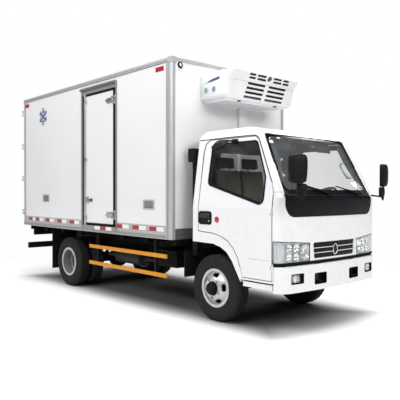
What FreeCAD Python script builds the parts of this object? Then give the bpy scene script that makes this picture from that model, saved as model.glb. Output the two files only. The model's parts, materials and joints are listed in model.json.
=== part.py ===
"""Refrigerated truck: a cab-over light truck with an insulated cargo body and a roof-height cooling unit.

Millimetres. +X points forwards, +Y to the driver's (left) side, +Z up; the ground is z = 0 and the
origin lies on the centre plane under the middle of the overall box. The driving sizes are the cells
of the sheet "sizes"; every sub-part is bound to them by expressions, or reads them through value().
"""
import FreeCAD, Part
import math
import os
import re
import Sketcher

Vector = FreeCAD.Vector
RIGHT = -1
LEFT = 1
SIDES = (("right", RIGHT), ("left", LEFT))

SIZES = (
    # alias, value, meaning
    ("front_axle_x", 1715, "front axle ahead of the origin"),
    ("wheelbase", 3308, "front axle to rear axle"),
    ("tyre_radius", 389, "outer radius of every tyre"),
    ("tyre_width", 200, "section width of a tyre"),
    ("bead_radius", 203, "bead seat of the rim"),
    ("flange_radius", 225, "outer radius of the rim flange"),
    ("rim_width", 172, "over the flanges"),
    ("disc_offset", 115, "wheel centre plane to the disc's mounting face"),
    ("disc_thickness", 10, "pressed disc of the wheel"),
    ("hand_hole_radius", 22, "half the width of a wheel's hand hole"),
    ("hand_hole_circle", 158, "wheel centre to its hand holes"),
    ("front_track", 1512, "between the centre planes of the front wheels"),
    ("dual_middle", 1456, "between the mounting faces of the rear twin wheels"),
    ("kingpin_track", 1280, "between the king pins"),
    ("kingpin_radius", 15, "king pin"),
    ("spindle_radius", 25, "front wheel spindle"),
    ("hub_radius", 68, "wheel hub"),
    ("bearing_clearance", 0.05, "radial, shafts in their bores"),
    ("seat_clearance", 0.3, "between pieces that seat on each other"),
    ("frame_top", 730, "top flange of the rails above ground"),
    ("rail_depth", 170, "height of a rail"),
    ("rail_flange", 60, "width of a rail's flange"),
    ("rail_web", 7, "thickness of a rail's web and flanges"),
    ("frame_width", 700, "over the rails"),
    ("frame_nose", 880, "rail ends ahead of the front axle"),
    ("frame_tail", 48, "rail ends ahead of the box's rear face"),
    ("sleeper_height", 110, "longitudinal runner on each rail"),
    ("box_bottom", 920, "underside of the insulated body"),
    ("box_height", 2218, "insulated body over all"),
    ("box_width", 2100, "insulated body over all"),
    ("box_length", 4192, "insulated body over all"),
    ("box_setback", 546, "front axle to the body's front face"),
    ("wall", 80, "side, front, roof and door panels"),
    ("floor_thickness", 120, "insulated floor"),
    ("deck_height", 12, "raised cargo deck on the floor"),
    ("deck_margin", 4, "deck short of the walls"),
    ("side_door_rear", 2600, "front axle to the side door's rear edge"),
    ("side_door_width", 785, "side door leaf"),
    ("side_door_bottom", 1056, "side door leaf's lower edge above ground"),
    ("side_door_height", 1848, "side door leaf"),
    ("side_frame_band", 82, "side door frame round the leaf"),
    ("side_frame_proud", 13, "door frame and leaf beyond the side wall"),
    ("door_gap", 5, "running gap round the cargo doors"),
    ("side_hinge_out", 40, "side hinge line beyond the side wall"),
    ("rear_post", 60, "width of the rear frame's posts"),
    ("rear_header", 88, "height of the rear frame's header"),
    ("rear_sill", 84, "height of the rear frame's sill"),
    ("rear_hinge_back", 18, "rear hinge line behind the rear face"),
    ("rear_hinge_out", 18, "rear hinge line beyond the side wall"),
    ("leaf_meeting_gap", 12, "between the rear door leaves"),
    ("leaf_taper", 8, "cargo door leaf's free edge, narrower inside"),
    ("hinge_pin_radius", 6.5, "cargo door hinge pins"),
    ("lock_rod_radius", 11, "locking bars"),
    ("lock_rod_out", 17, "axis of a locking bar beyond its leaf"),
    ("cab_width", 1860, "over the door skins"),
    ("cab_roof_width", 1640, "between the drip rails"),
    ("cab_rear", 290, "front axle back to the cab's rear panel"),
    ("cab_front", 1062, "front axle to the front panel at the centre"),
    ("cab_waist", 1330, "height where the sides start to lean in"),
    ("cab_eave", 2118, "drip rail height"),
    ("cab_crown", 2286, "roof's highest line"),
    ("front_bow_radius", 6800, "plan curvature of the front panel and windscreen"),
    ("cab_corner", 100, "plan corner radius of the cab"),
    ("cab_skin", 45, "cab wall and door thickness"),
    ("glass_thickness", 6, "all panes"),
    ("glass_inset", 4, "panes behind the outer skin"),
    ("cab_door_gap", 9, "running gap round the cab doors"),
    ("cab_door_front", 925, "front axle to the cab door's front edge"),
    ("cab_door_rear", 190, "front axle back to the cab door's rear edge"),
    ("cab_hinge_back", 7, "cab door hinge line behind the door's front edge"),
    ("cab_hinge_inset", 8, "cab door hinge line inside the cab's full half width"),
    ("footwell_floor", 800, "inside floor height ahead of the seats"),
    ("step_well_floor", 640, "entry step inside each cab door"),
    ("cab_hinge_radius", 4, "cab door hinge pins"),
    ("door_top_lean", 10, "cab door's rear edge, extra gap at its top"),
    ("seat_floor", 1030, "inside floor height under the seats"),
    ("tunnel_half_width", 430, "engine tunnel under the cab floor"),
    ("tunnel_top", 985, "underside of the engine tunnel"),
    ("bumper_front", 1104, "front axle to the bumper's face at the centre"),
    ("bumper_bottom", 462, "bumper's lower edge above ground"),
    ("bumper_height", 272, "bumper"),
    ("bumper_wall", 55, "bumper moulding depth"),
    ("tow_hole_y", 318, "tow hook opening from the centre plane"),
    ("plate_hole_spacing", 220, "number plate holes, hole to hole"),
    ("plate_hole_radius", 3.5, "number plate holes"),
    ("cooler_length", 451, "cooling unit along its underside"),
    ("cooler_width", 1254, "cooling unit"),
    ("cooler_middle_y", 40, "cooling unit's middle from the centre plane"),
    ("cooler_bottom", 2640, "cooling unit's underside above ground"),
    ("cooler_height", 375, "cooling unit at the box"),
    ("cooler_overhang", 150, "upper front edge ahead of the lower one"),
    ("nose_bottom", 758, "lower edge of the cab's front panel"),
    ("mirror_width", 174, "door mirror housing"),
    ("mirror_height", 272, "door mirror housing"),
    ("guard_bar_height", 50, "side guard bars"),
    ("guard_upper", 702, "middle of the upper bar above ground"),
    ("guard_lower", 460, "middle of the lower bar above ground"),
    ("guard_inset", 40, "side guard inside the body's side"),
    ("guard_front", 700, "front axle back to the guard's front end"),
    ("guard_rear", 2548, "front axle back to the guard's rear end"),
    ("spring_width", 70, "leaf springs"),
    ("spring_depth", 56, "leaf pack at the axle"),
    ("front_spring_half", 600, "front spring, eye to axle"),
    ("rear_spring_half", 640, "rear spring, eye to axle"),
    ("axle_tube_radius", 55, "rear axle tube"),
    ("steering_wheel_radius", 215, "rim's middle line"),
    ("column_tilt", 32, "steering column from the vertical, degrees"),
)

doc = FreeCAD.newDocument("refrigerated_truck")
sheet = doc.addObject("Spreadsheet::Sheet", "sizes")
ALIASES = set()
for row, (alias, amount, meaning) in enumerate(SIZES, start=1):
    sheet.set(f"A{row}", meaning)
    sheet.set(f"B{row}", str(amount))
    sheet.setAlias(f"B{row}", alias)
    ALIASES.add(alias)
doc.recompute()

pieces = {}


def cells(text):
    """Turn plain alias names into references to the sheet's cells."""
    return re.sub(r"[a-z_][a-z0-9_]*",
                  lambda m: "sizes." + m.group(0) if m.group(0) in ALIASES else m.group(0),
                  str(text))


def value(text):
    """The number that an expression in aliases gives now."""
    return float(sheet.evalExpression(cells(text)))


def bind(thing, prop, text):
    thing.setExpression(prop, cells(text))


def keep(label, thing):
    """Name a finished sub-part; its label is its file's name."""
    thing.Label = label
    pieces[label] = thing
    return thing


def block(name, x, y, z):
    """A box between two expressions along each axis."""
    thing = doc.addObject("Part::Box", name)
    for prop, axis, (low, high) in (("Length", "x", x), ("Width", "y", y), ("Height", "z", z)):
        bind(thing, prop, f"({high}) - ({low})")
        bind(thing, f"Placement.Base.{axis}", low)
    return thing


def mirrored(side, low, high):
    """The range from low to high away from the centre plane, on one side of the truck."""
    return (low, high) if side > 0 else (f"-({high})", f"-({low})")


TURNS = {"x": (Vector(0, 1, 0), 90), "y": (Vector(1, 0, 0), -90), "z": (Vector(0, 0, 1), 0)}


def rod(name, radius, length, start, axis="z"):
    """A round bar from its start point along +axis."""
    thing = doc.addObject("Part::Cylinder", name)
    thing.Placement = FreeCAD.Placement(Vector(), FreeCAD.Rotation(*TURNS[axis]))
    bind(thing, "Radius", radius)
    bind(thing, "Height", length)
    for letter, text in zip("xyz", start):
        bind(thing, f"Placement.Base.{letter}", text)
    return thing


def fuse(name, parts):
    thing = doc.addObject("Part::MultiFuse", name)
    thing.Shapes = parts
    return thing


def cut(name, base, tools):
    thing = doc.addObject("Part::Cut", name)
    thing.Base = base
    thing.Tool = tools[0] if len(tools) == 1 else fuse(name + "_tools", tools)
    return thing


def group(name, parts):
    """Like solids that do not touch, kept as one sub-part."""
    thing = doc.addObject("Part::Compound", name)
    thing.Links = parts
    return thing


PLANES = {"xy": "XY_Plane", "xz": "XZ_Plane", "yz": "YZ_Plane"}


def outline(body, plane, points):
    """A closed polygon sketch on one of the body's own origin planes, each corner bound to the sheet."""
    sketch = body.newObject("Sketcher::SketchObject", body.Name + "_outline")
    origin = [f for f in body.Origin.OriginFeatures if f.Role == PLANES[plane]][0]
    sketch.AttachmentSupport = [(origin, "")]
    sketch.MapMode = "FlatFace"
    corners = [Vector(value(u), value(v), 0) for u, v in points]
    for here, there in zip(corners, corners[1:] + corners[:1]):
        sketch.addGeometry(Part.LineSegment(here, there), False)
    for i, (u, v) in enumerate(points):
        sketch.addConstraint(Sketcher.Constraint("Coincident", i, 2, (i + 1) % len(points), 1))
    for i, (u, v) in enumerate(points):
        for kind, number, text in (("DistanceX", corners[i].x, u), ("DistanceY", corners[i].y, v)):
            index = sketch.addConstraint(Sketcher.Constraint(kind, -1, 1, i, 1, number))
            bind(sketch, f"Constraints[{index}]", text)
    return sketch


def prism(name, plane, points, length, middle="0"):
    """A polygon padded symmetrically about its plane, which then moves to middle along the plane's normal."""
    body = doc.addObject("PartDesign::Body", name)
    sketch = outline(body, plane, points)
    pad = body.newObject("PartDesign::Pad", name + "_pad")
    pad.Profile = sketch
    bind(pad, "Length", length)
    pad.Midplane = True
    bind(body, "Placement.Base." + {"xy": "z", "xz": "y", "yz": "x"}[plane], middle)
    return body


def turned(name, points, centre):
    """A polygon of (across, radius) corners turned about the axle line, which is parallel to Y."""
    body = doc.addObject("PartDesign::Body", name)
    sketch = outline(body, "yz", points)
    spin = body.newObject("PartDesign::Revolution", name + "_spin")
    spin.Profile = sketch
    spin.ReferenceAxis = (sketch, ["H_Axis"])
    spin.Angle = 360
    for letter, text in zip("xyz", centre):
        bind(body, f"Placement.Base.{letter}", text)
    return body


def feature(name, shape):
    """A shape worked out in code from the sheet's values."""
    thing = doc.addObject("Part::Feature", name)
    thing.Shape = shape
    return thing


# Stations along the truck and heights that many pieces share.
FRONT_AXLE = "front_axle_x"
REAR_AXLE = "(front_axle_x - wheelbase)"
BOX_FRONT = "(front_axle_x - box_setback)"
BOX_REAR = "(front_axle_x - box_setback - box_length)"
BOX_TOP = "(box_bottom + box_height)"
BOX_FLOOR = "(box_bottom + floor_thickness)"
BOX_CEILING = "(box_bottom + box_height - wall)"
BOX_HALF = "(box_width / 2)"
RAIL_BOTTOM = "(frame_top - rail_depth)"
RAIL_OUT = "(frame_width / 2)"
RAIL_IN = "(frame_width / 2 - rail_flange)"


def ahead(distance):
    """A place measured forwards from the front axle."""
    return f"(front_axle_x + ({distance}))"


# ---------------------------------------------------------------- chassis frame
def chassis_frame():
    """Two channel rails joined by cross members."""
    parts = []
    for name, side in SIDES:
        rail = block(f"rail_{name}", (f"{BOX_REAR} + frame_tail", ahead("frame_nose")),
                     mirrored(side, RAIL_IN, RAIL_OUT), (RAIL_BOTTOM, "frame_top"))
        hollow = block(f"rail_hollow_{name}", (f"{BOX_REAR} + frame_tail - 1", ahead("frame_nose + 1")),
                       mirrored(side, f"{RAIL_IN} - 1", f"{RAIL_OUT} - rail_web"),
                       (f"{RAIL_BOTTOM} + rail_web", "frame_top - rail_web"))
        parts.append(cut(f"channel_{name}", rail, [hollow]))
    # centre of each cross member ahead of the front axle
    stations = ("frame_nose - 40", "-900", "-1500", "-2100", "-2700", "-wheelbase - 500",
                "-box_setback - box_length + frame_tail + 40")
    for i, station in enumerate(stations):
        parts.append(block(f"cross_member_{i}", (f"{ahead(station)} - 35", f"{ahead(station)} + 35"),
                           (f"-({RAIL_OUT} - rail_web)", f"{RAIL_OUT} - rail_web"),
                           ("frame_top - 75", "frame_top - rail_web")))
    keep("frame", fuse("frame_all", parts))


def body_bearers():
    """Runners along the rails and cross bearers under the insulated floor."""
    top_of_runner = "(frame_top + sleeper_height)"
    parts = [block(f"runner_{name}", (f"{BOX_REAR} + 40", f"{BOX_FRONT} - 30"),
                   mirrored(side, RAIL_IN, RAIL_OUT), ("frame_top", top_of_runner))
             for name, side in SIDES]
    count = 8
    for i in range(count):
        middle = f"({BOX_REAR} + 60 + (box_length - 150) * {i} / {count - 1})"
        parts.append(block(f"bearer_{i}", (f"{middle} - 30", f"{middle} + 30"),
                           (f"-({BOX_HALF} - 110)", f"{BOX_HALF} - 110"), (top_of_runner, "box_bottom")))
    parts.append(block("rear_beam", (f"{BOX_REAR} + 30", f"{BOX_REAR} + 90"),
                       (f"-({BOX_HALF} - 160)", f"{BOX_HALF} - 160"),
                       ("frame_top + 5", top_of_runner)))
    keep("body_bearers", fuse("body_bearers_all", parts))


# ---------------------------------------------------------------- axles and springs
def front_axle():
    """Forged beam with an eye for each king pin."""
    half = "(kingpin_track / 2)"
    parts = [block("beam", (ahead("-35"), ahead("35")), (f"-({half} - 70)", f"{half} - 70"),
                   ("tyre_radius - 60", "tyre_radius + 10"))]
    for name, side in SIDES:
        parts.append(rod(f"beam_eye_{name}", "38", "80",
                         (FRONT_AXLE, f"{side} * {half}", "tyre_radius - 40")))
        parts.append(block(f"beam_neck_{name}", (ahead("-28"), ahead("28")),
                           mirrored(side, f"{half} - 75", f"{half} - 25"),
                           ("tyre_radius - 34", "tyre_radius + 10")))
    bores = [rod(f"beam_bore_{name}", "kingpin_radius + bearing_clearance", "100",
                 (FRONT_AXLE, f"{side} * {half}", "tyre_radius - 50")) for name, side in SIDES]
    keep("front_axle", cut("front_axle_all", fuse("front_beam", parts), bores))


def rear_axle():
    """Axle tube, differential and the spindles that carry the twin wheels."""
    tube_half = "(dual_middle / 2 - 90)"
    parts = [rod("axle_tube", "axle_tube_radius", f"2 * {tube_half}",
                 (REAR_AXLE, f"-{tube_half}", "tyre_radius"), "y"),
             rod("axle_spindles", "35", "dual_middle + 60",
                 (REAR_AXLE, "-(dual_middle / 2 + 30)", "tyre_radius"), "y")]
    ball = doc.addObject("Part::Sphere", "differential")
    ball.Radius = 165
    for letter, text in zip("xyz", (REAR_AXLE, "0", "tyre_radius")):
        bind(ball, f"Placement.Base.{letter}", text)
    nose = rod("pinion_nose", "60", "230", (REAR_AXLE, "0", "tyre_radius"), "x")
    keep("rear_axle", fuse("rear_axle_all", parts + [ball, nose]))


def leaf_spring(name, side, station, half_length, axle_top):
    """One curved pack with its eyes held by hangers on the rail's side."""
    eye_drop = 45
    hanger = 60
    depth = "spring_depth"
    inner = RAIL_OUT
    end_top = f"({RAIL_BOTTOM} - {eye_drop} + 20)"
    points = ((f"-{half_length}", f"{end_top} - 22"), (f"-{half_length} * 0.55", f"{axle_top} + 14"),
              ("-70", axle_top), ("70", axle_top), (f"{half_length} * 0.55", f"{axle_top} + 14"),
              (half_length, f"{end_top} - 22"), (half_length, end_top),
              (f"{half_length} * 0.55", f"{axle_top} + {depth} - 6"), ("90", f"{axle_top} + {depth}"),
              ("-90", f"{axle_top} + {depth}"), (f"-{half_length} * 0.55", f"{axle_top} + {depth} - 6"),
              (f"-{half_length}", end_top))
    pack = prism(f"{name}_pack", "xz", points, "spring_width", f"{side} * ({inner} + spring_width / 2)")
    bind(pack, "Placement.Base.x", station)
    parts = [pack]
    for end, sign in (("rear", -1), ("front", 1)):
        middle = f"({station} + {sign} * {half_length})"
        parts.append(block(f"{name}_hanger_{end}", (f"{middle} - {hanger} / 2", f"{middle} + {hanger} / 2"),
                           mirrored(side, inner, f"{inner} + spring_width"),
                           (f"{end_top} - 45", f"{RAIL_BOTTOM} + 70")))
    return fuse(name, parts)


def leaf_springs():
    packs = []
    for name, side in SIDES:
        packs.append(leaf_spring(f"front_spring_{name}", side, FRONT_AXLE, "front_spring_half",
                                 "(tyre_radius + 10)"))
        packs.append(leaf_spring(f"rear_spring_{name}", side, REAR_AXLE, "rear_spring_half",
                                 "(tyre_radius + axle_tube_radius)"))
    keep("leaf_springs", group("leaf_springs_all", packs))


# ---------------------------------------------------------------- wheels
def tyre(name, side, station, middle):
    """A tyre turned from its section; across counts outwards from its own middle."""
    half = "tyre_width / 2"
    # across as an expression, radius as an expression
    flank = (("rim_width / 2 - 8", "bead_radius + seat_clearance"),
             ("rim_width / 2 - 8", "flange_radius + 3"),
             (f"{half} - 3", "bead_radius + 52"), (half, "bead_radius + 92"),
             (f"{half} - 6", "tyre_radius - 42"),
             (f"{half} - 18", "tyre_radius - 12"), (f"{half} - 34", "tyre_radius"))
    points = [(f"-({a})", r) for a, r in flank] + [(a, r) for a, r in reversed(flank)]
    return turned(name, points, (station, f"{side} * {middle}", "tyre_radius"))


def rim_section(outward):
    """Corners of a rim and its disc; outward is +1 when the disc bulges towards the truck's outside."""
    half = "rim_width / 2"
    corners = ((f"-({half})", "bead_radius - 12"), (f"-({half})", "flange_radius"),
               (f"-({half} - 7)", "flange_radius"),
               (f"-({half} - 7)", "bead_radius"), (f"{half} - 7", "bead_radius"),
               (f"{half} - 7", "flange_radius"),
               (half, "flange_radius"), (half, "bead_radius - 10"), (f"{half} - 14", "bead_radius - 12"),
               ("disc_offset - 8", "bead_radius - 52"),
               ("disc_offset + disc_thickness", "bead_radius - 84"),
               ("disc_offset + disc_thickness", "hub_radius"), ("disc_offset", "hub_radius"),
               ("disc_offset", "bead_radius - 88"), ("disc_offset - 18", "bead_radius - 58"),
               (f"{half} - 26", "bead_radius - 12"))
    return [(f"{outward} * ({a})", r) for a, r in corners]


HAND_HOLES = 5


def rim(name, side, outward, station, middle):
    """A disc wheel with oval hand holes, each bored three times along its arc."""
    wheel = turned(name + "_section", rim_section(side * outward),
                   (station, f"{side} * {middle}", "tyre_radius"))
    holes = []
    for i in range(HAND_HOLES):
        for j, spread in enumerate((-8, 0, 8)):
            angle = math.radians(8 + 360 * i / HAND_HOLES + spread)
            holes.append(rod(f"{name}_hole_{i}_{j}", "hand_hole_radius", "300",
                             (f"{station} + hand_hole_circle * {math.cos(angle):.5f}",
                              f"{side} * {middle} - 150",
                              f"tyre_radius + hand_hole_circle * {math.sin(angle):.5f}"), "y"))
    return cut(name, wheel, holes)


def hub(name, side, station, inner, outer, flange, bore):
    """A hub bored for its spindle; inner, outer and flange's inner face count out from the centre plane."""
    low, high = mirrored(side, inner, outer)
    shell = rod(name + "_shell", "hub_radius", f"({high}) - ({low})", (station, low, "tyre_radius"), "y")
    flange_low, flange_high = mirrored(side, flange, f"{flange} + 12")
    plate = rod(name + "_flange", "100", "12", (station, flange_low, "tyre_radius"), "y")
    bore_low, bore_high = mirrored(side, f"{inner} - 1", f"{outer} - 20")
    hole = rod(name + "_bore", f"{bore} + bearing_clearance", f"({bore_high}) - ({bore_low})",
               (station, bore_low, "tyre_radius"), "y")
    return cut(name, fuse(name + "_solid", [shell, plate]), [hole])


def front_wheel(name, side):
    middle = "(front_track / 2)"
    keep(f"front_tyre_{name}", tyre(f"tyre_front_{name}", side, FRONT_AXLE, middle))
    disc = rim(f"disc_front_{name}", side, 1, FRONT_AXLE, middle)
    face = f"({middle} + disc_offset)"
    centre = hub(f"hub_front_{name}", side, FRONT_AXLE, f"{face} - 95", f"{face} + 50", f"{face} - 12",
                 "spindle_radius")
    keep(f"front_rim_{name}", fuse(f"rim_front_{name}", [disc, centre]))


def rear_wheels(name, side):
    face = "(dual_middle / 2)"
    outer = f"({face} + disc_offset + disc_thickness)"
    inner = f"({face} - disc_offset - disc_thickness)"
    tyres = [tyre(f"tyre_outer_{name}", side, REAR_AXLE, outer),
             tyre(f"tyre_inner_{name}", side, REAR_AXLE, inner)]
    keep(f"rear_tyres_{name}", group(f"tyres_rear_{name}", tyres))
    discs = [rim(f"disc_outer_{name}", side, -1, REAR_AXLE, outer),
             rim(f"disc_inner_{name}", side, 1, REAR_AXLE, inner)]
    centre = hub(f"hub_rear_{name}", side, REAR_AXLE, f"{face} - 80", f"{face} + 62",
                 f"{face} - disc_thickness - 12", "35")
    keep(f"rear_rims_{name}", fuse(f"rims_rear_{name}", discs + [centre]))


def knuckle(name, side):
    """Steering knuckle: a fork round the axle's eye, its king pin, the spindle and the steering arm."""
    pin_y = f"{side} * kingpin_track / 2"
    out = "(kingpin_track / 2)"
    wheel_face = "(front_track / 2 + disc_offset)"
    parts = []
    for level, low in (("upper", "tyre_radius + 44"), ("lower", "tyre_radius - 72")):
        parts.append(rod(f"fork_{level}_{name}", "36", "28", (FRONT_AXLE, pin_y, low)))
        parts.append(block(f"fork_arm_{level}_{name}", (ahead("-32"), ahead("32")),
                           mirrored(side, out, f"{out} + 62"), (low, f"{low} + 28")))
    parts.append(rod(f"king_pin_{name}", "kingpin_radius", "150", (FRONT_AXLE, pin_y, "tyre_radius - 75")))
    parts.append(block(f"fork_back_{name}", (ahead("-32"), ahead("32")),
                       mirrored(side, f"{out} + 46", f"{out} + 70"),
                       ("tyre_radius - 72", "tyre_radius + 72")))
    low, high = mirrored(side, f"{out} + 60", f"{wheel_face} + 20")
    parts.append(rod(f"spindle_{name}", "spindle_radius", f"({high}) - ({low})",
                     (FRONT_AXLE, low, "tyre_radius"), "y"))
    low, high = mirrored(side, f"{out} + 66", f"{wheel_face} - 95 - seat_clearance")
    parts.append(rod(f"backing_plate_{name}", "150", "8",
                     (FRONT_AXLE, f"{low} + 20" if side > 0 else f"{high} - 28", "tyre_radius"), "y"))
    parts.append(rod(f"stub_{name}", "45", f"({high}) - ({low})", (FRONT_AXLE, low, "tyre_radius"), "y"))
    parts.append(block(f"steering_arm_{name}", (ahead("-190"), ahead("-20")),
                       mirrored(side, f"{out} - 22", f"{out} + 8"),
                       ("tyre_radius - 72", "tyre_radius - 52")))
    keep(f"knuckle_{name}", fuse(f"knuckle_all_{name}", parts))


# ---------------------------------------------------------------- driveline and tanks
def power_unit():
    """Engine and gearbox as one plain block between the rails, under the cab's tunnel."""
    engine = block("engine", (ahead("-180"), ahead("560")), (f"-({RAIL_IN} - 12)", f"{RAIL_IN} - 12"),
                   (f"{RAIL_BOTTOM} - 60", "tunnel_top - 40"))
    sump = block("sump", (ahead("60"), ahead("480")), ("-170", "170"),
                 (f"{RAIL_BOTTOM} - 130", f"{RAIL_BOTTOM} - 50"))
    gearbox = block("gearbox", (ahead("-760"), ahead("-180")), ("-160", "160"),
                    (f"{RAIL_BOTTOM} - 70", "frame_top - 10"))
    mounts = [block(f"engine_mount_{name}", (ahead("150"), ahead("260")),
                    mirrored(side, f"{RAIL_IN} - 20", f"{RAIL_OUT} - rail_web"),
                    (f"{RAIL_BOTTOM} + rail_web", f"{RAIL_BOTTOM} + 60")) for name, side in SIDES]
    keep("power_unit", fuse("power_unit_all", [engine, sump, gearbox] + mounts))


def drive_shaft():
    """Shaft from the gearbox to the differential's nose, sloping down to the rear."""
    start = Vector(value(ahead("-760")), 0, value(f"{RAIL_BOTTOM} + 40"))
    end = Vector(value(f"{REAR_AXLE} + 230"), 0, value("tyre_radius"))
    along = end - start
    length = along.Length
    along.normalize()
    # the flanges stand off so that their tilted rims just clear the faces they bolt to
    yoke_radius = 52
    stand_off = yoke_radius * (start.z - end.z) / length + value("seat_clearance")
    shaft = Part.makeCylinder(38, length - 120, start + along * 60, along)
    for point in (start + along * stand_off, end - along * (stand_off + 61)):
        shaft = shaft.fuse(Part.makeCylinder(yoke_radius, 61, point, along))
    keep("drive_shaft", feature("drive_shaft_all", shaft))


def exhaust():
    """Silencer slung on the right rail with its pipes."""
    middle_y = f"-({RAIL_OUT} + 150)"
    level = f"({RAIL_BOTTOM} - 30)"
    parts = [rod("silencer", "105", "620", (ahead("-2480"), middle_y, level), "x"),
             rod("tail_pipe", "28", "330", (ahead("-2800"), middle_y, level), "x"),
             rod("front_pipe", "28", "420", (ahead("-1870"), middle_y, level), "x")]
    for i, station in enumerate(("-2380", "-1980")):
        parts.append(block(f"silencer_strap_{i}", (f"{ahead(station)} - 20", f"{ahead(station)} + 20"),
                           (f"-({RAIL_OUT} + 150)", f"-{RAIL_OUT}"), (f"{level} - 20", f"{level} + 90")))
    keep("exhaust", fuse("exhaust_all", parts))


def fuel_tank():
    """Tank on the left rail with its straps' saddles."""
    corner = 60
    y_low = value(f"{RAIL_OUT} + 40")
    y_high = y_low + 420
    z_low = value(f"{RAIL_BOTTOM} - 130")
    z_high = value("frame_top - 20")
    tank = Part.makeBox(900, y_high - y_low, z_high - z_low, Vector(value(ahead("-2250")), y_low, z_low))
    long_edges = [e for e in tank.Edges if abs(e.Vertexes[0].X - e.Vertexes[1].X) > 100]
    tank = tank.makeFillet(corner, long_edges)
    for station in (-2100, -1500):
        x = value(ahead(station))
        tank = tank.fuse(Part.makeBox(50, 60, 180, Vector(x - 25, y_low - 40, z_low + 60)))
    keep("fuel_tank", feature("fuel_tank_all", tank))


def battery_box():
    """Battery box with its lid, and the air reservoir behind it, on the right rail."""
    box = block("battery_case", (ahead("-1420"), ahead("-930")), (f"-({RAIL_OUT} + 300)", f"-{RAIL_OUT}"),
                (f"{RAIL_BOTTOM} - 60", "frame_top - 30"))
    lid = block("battery_lid", (ahead("-1430"), ahead("-920")),
                (f"-({RAIL_OUT} + 310)", f"-({RAIL_OUT} + 10)"),
                ("frame_top - 30", "frame_top - 8"))
    keep("battery_box", fuse("battery_box_all", [box, lid]))


# ---------------------------------------------------------------- guards, bumpers and lamps below
def side_guards():
    """Two bars a side on posts that hang from the floor."""
    outer = f"({BOX_HALF} - guard_inset)"
    guards = []
    for name, side in SIDES:
        parts = []
        for level in ("guard_upper", "guard_lower"):
            parts.append(block(f"{level}_bar_{name}", (ahead("-guard_rear"), ahead("-guard_front")),
                               mirrored(side, f"{outer} - 25", outer),
                               (f"{level} - guard_bar_height / 2", f"{level} + guard_bar_height / 2")))
        for i, station in enumerate(("-guard_rear + 190", "-guard_front - 260")):
            parts.append(block(f"guard_post_{name}_{i}",
                               (f"{ahead(station)} - 22", f"{ahead(station)} + 22"),
                               mirrored(side, f"{outer} - 60", f"{outer} - 25"),
                               ("guard_lower - guard_bar_height / 2", "box_bottom")))
        guards.append(fuse(f"guard_{name}", parts))
    keep("side_guards", group("side_guards_all", guards))


def underride_bar():
    """Rear guard bar on two stays from the rails."""
    rear = f"({BOX_REAR} - 8)"
    bar = block("underride_tube", (rear, f"{rear} + 50"), (f"-({BOX_HALF} - 70)", f"{BOX_HALF} - 70"),
                ("501", "601"))
    stays = [block(f"underride_stay_{name}", (f"{rear} + 50", f"{rear} + 120"),
                   mirrored(side, RAIL_IN, RAIL_OUT), ("501", RAIL_BOTTOM)) for name, side in SIDES]
    feet = [block(f"underride_foot_{name}", (f"{rear} + 30", f"{rear} + 160"),
                  mirrored(side, RAIL_OUT, f"{RAIL_OUT} + 12"), ("501", "frame_top - 20")) for name,
            side in SIDES]
    keep("underride_bar", fuse("underride_all", [bar] + stays + feet))


def mud_flaps():
    """Flaps behind the wheels, each on its bracket."""
    flaps = []
    for name, side in SIDES:
        sheet_part = block(f"front_flap_{name}", (ahead("-486"), ahead("-474")),
                           mirrored(side, f"{RAIL_OUT} + spring_width + 12", "900"),
                           ("465", "frame_top + 60"))
        stay = block(f"front_flap_stay_{name}", (ahead("-510"), ahead("-486")),
                     mirrored(side, RAIL_OUT, "880"),
                     ("frame_top - 40", "frame_top - 12"))
        flaps.append(fuse(f"front_flap_all_{name}", [sheet_part, stay]))
        flaps.append(block(f"rear_flap_{name}", (f"{REAR_AXLE} - 482", f"{REAR_AXLE} - 470"),
                           mirrored(side, "540", "985"), ("235", "box_bottom")))
    keep("mud_flaps", group("mud_flaps_all", flaps))


def tail_lamps():
    """A lamp cluster each side, hung from the rear beam."""
    lamps = [block(f"tail_lamp_{name}", (f"{BOX_REAR} + 5", f"{BOX_REAR} + 30"),
                   mirrored(side, "520", "870"),
                   ("frame_top + 10", "frame_top + 105")) for name, side in SIDES]
    keep("tail_lamps", group("tail_lamps_all", lamps))


# ---------------------------------------------------------------- insulated body
def box_panels():
    inside_front = f"({BOX_FRONT} - wall)"
    inside_rear = f"({BOX_REAR} + wall)"
    across = (f"-{BOX_HALF}", BOX_HALF)
    panel = block("box_floor_panel", (inside_rear, BOX_FRONT), across, ("box_bottom", BOX_FLOOR))
    deck = block("box_floor_deck", (f"{inside_rear} + deck_margin", f"{inside_front} - deck_margin"),
                 (f"-({BOX_HALF} - wall - deck_margin)", f"{BOX_HALF} - wall - deck_margin"),
                 (BOX_FLOOR, f"{BOX_FLOOR} + deck_height"))
    keep("box_floor", fuse("box_floor_all", [panel, deck]))
    keep("box_roof", block("box_roof_panel", (inside_rear, BOX_FRONT), across, (BOX_CEILING, BOX_TOP)))
    keep("box_front_wall",
         block("box_front_panel", (inside_front, BOX_FRONT), across, (BOX_FLOOR, BOX_CEILING)))
    keep("box_left_wall", block("box_left_panel", (inside_rear, inside_front),
                                (f"{BOX_HALF} - wall", BOX_HALF), (BOX_FLOOR, BOX_CEILING)))


SIDE_LEAF_X = (ahead("-side_door_rear"), ahead("-side_door_rear + side_door_width"))
SIDE_LEAF_Z = ("side_door_bottom", "(side_door_bottom + side_door_height)")


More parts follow.
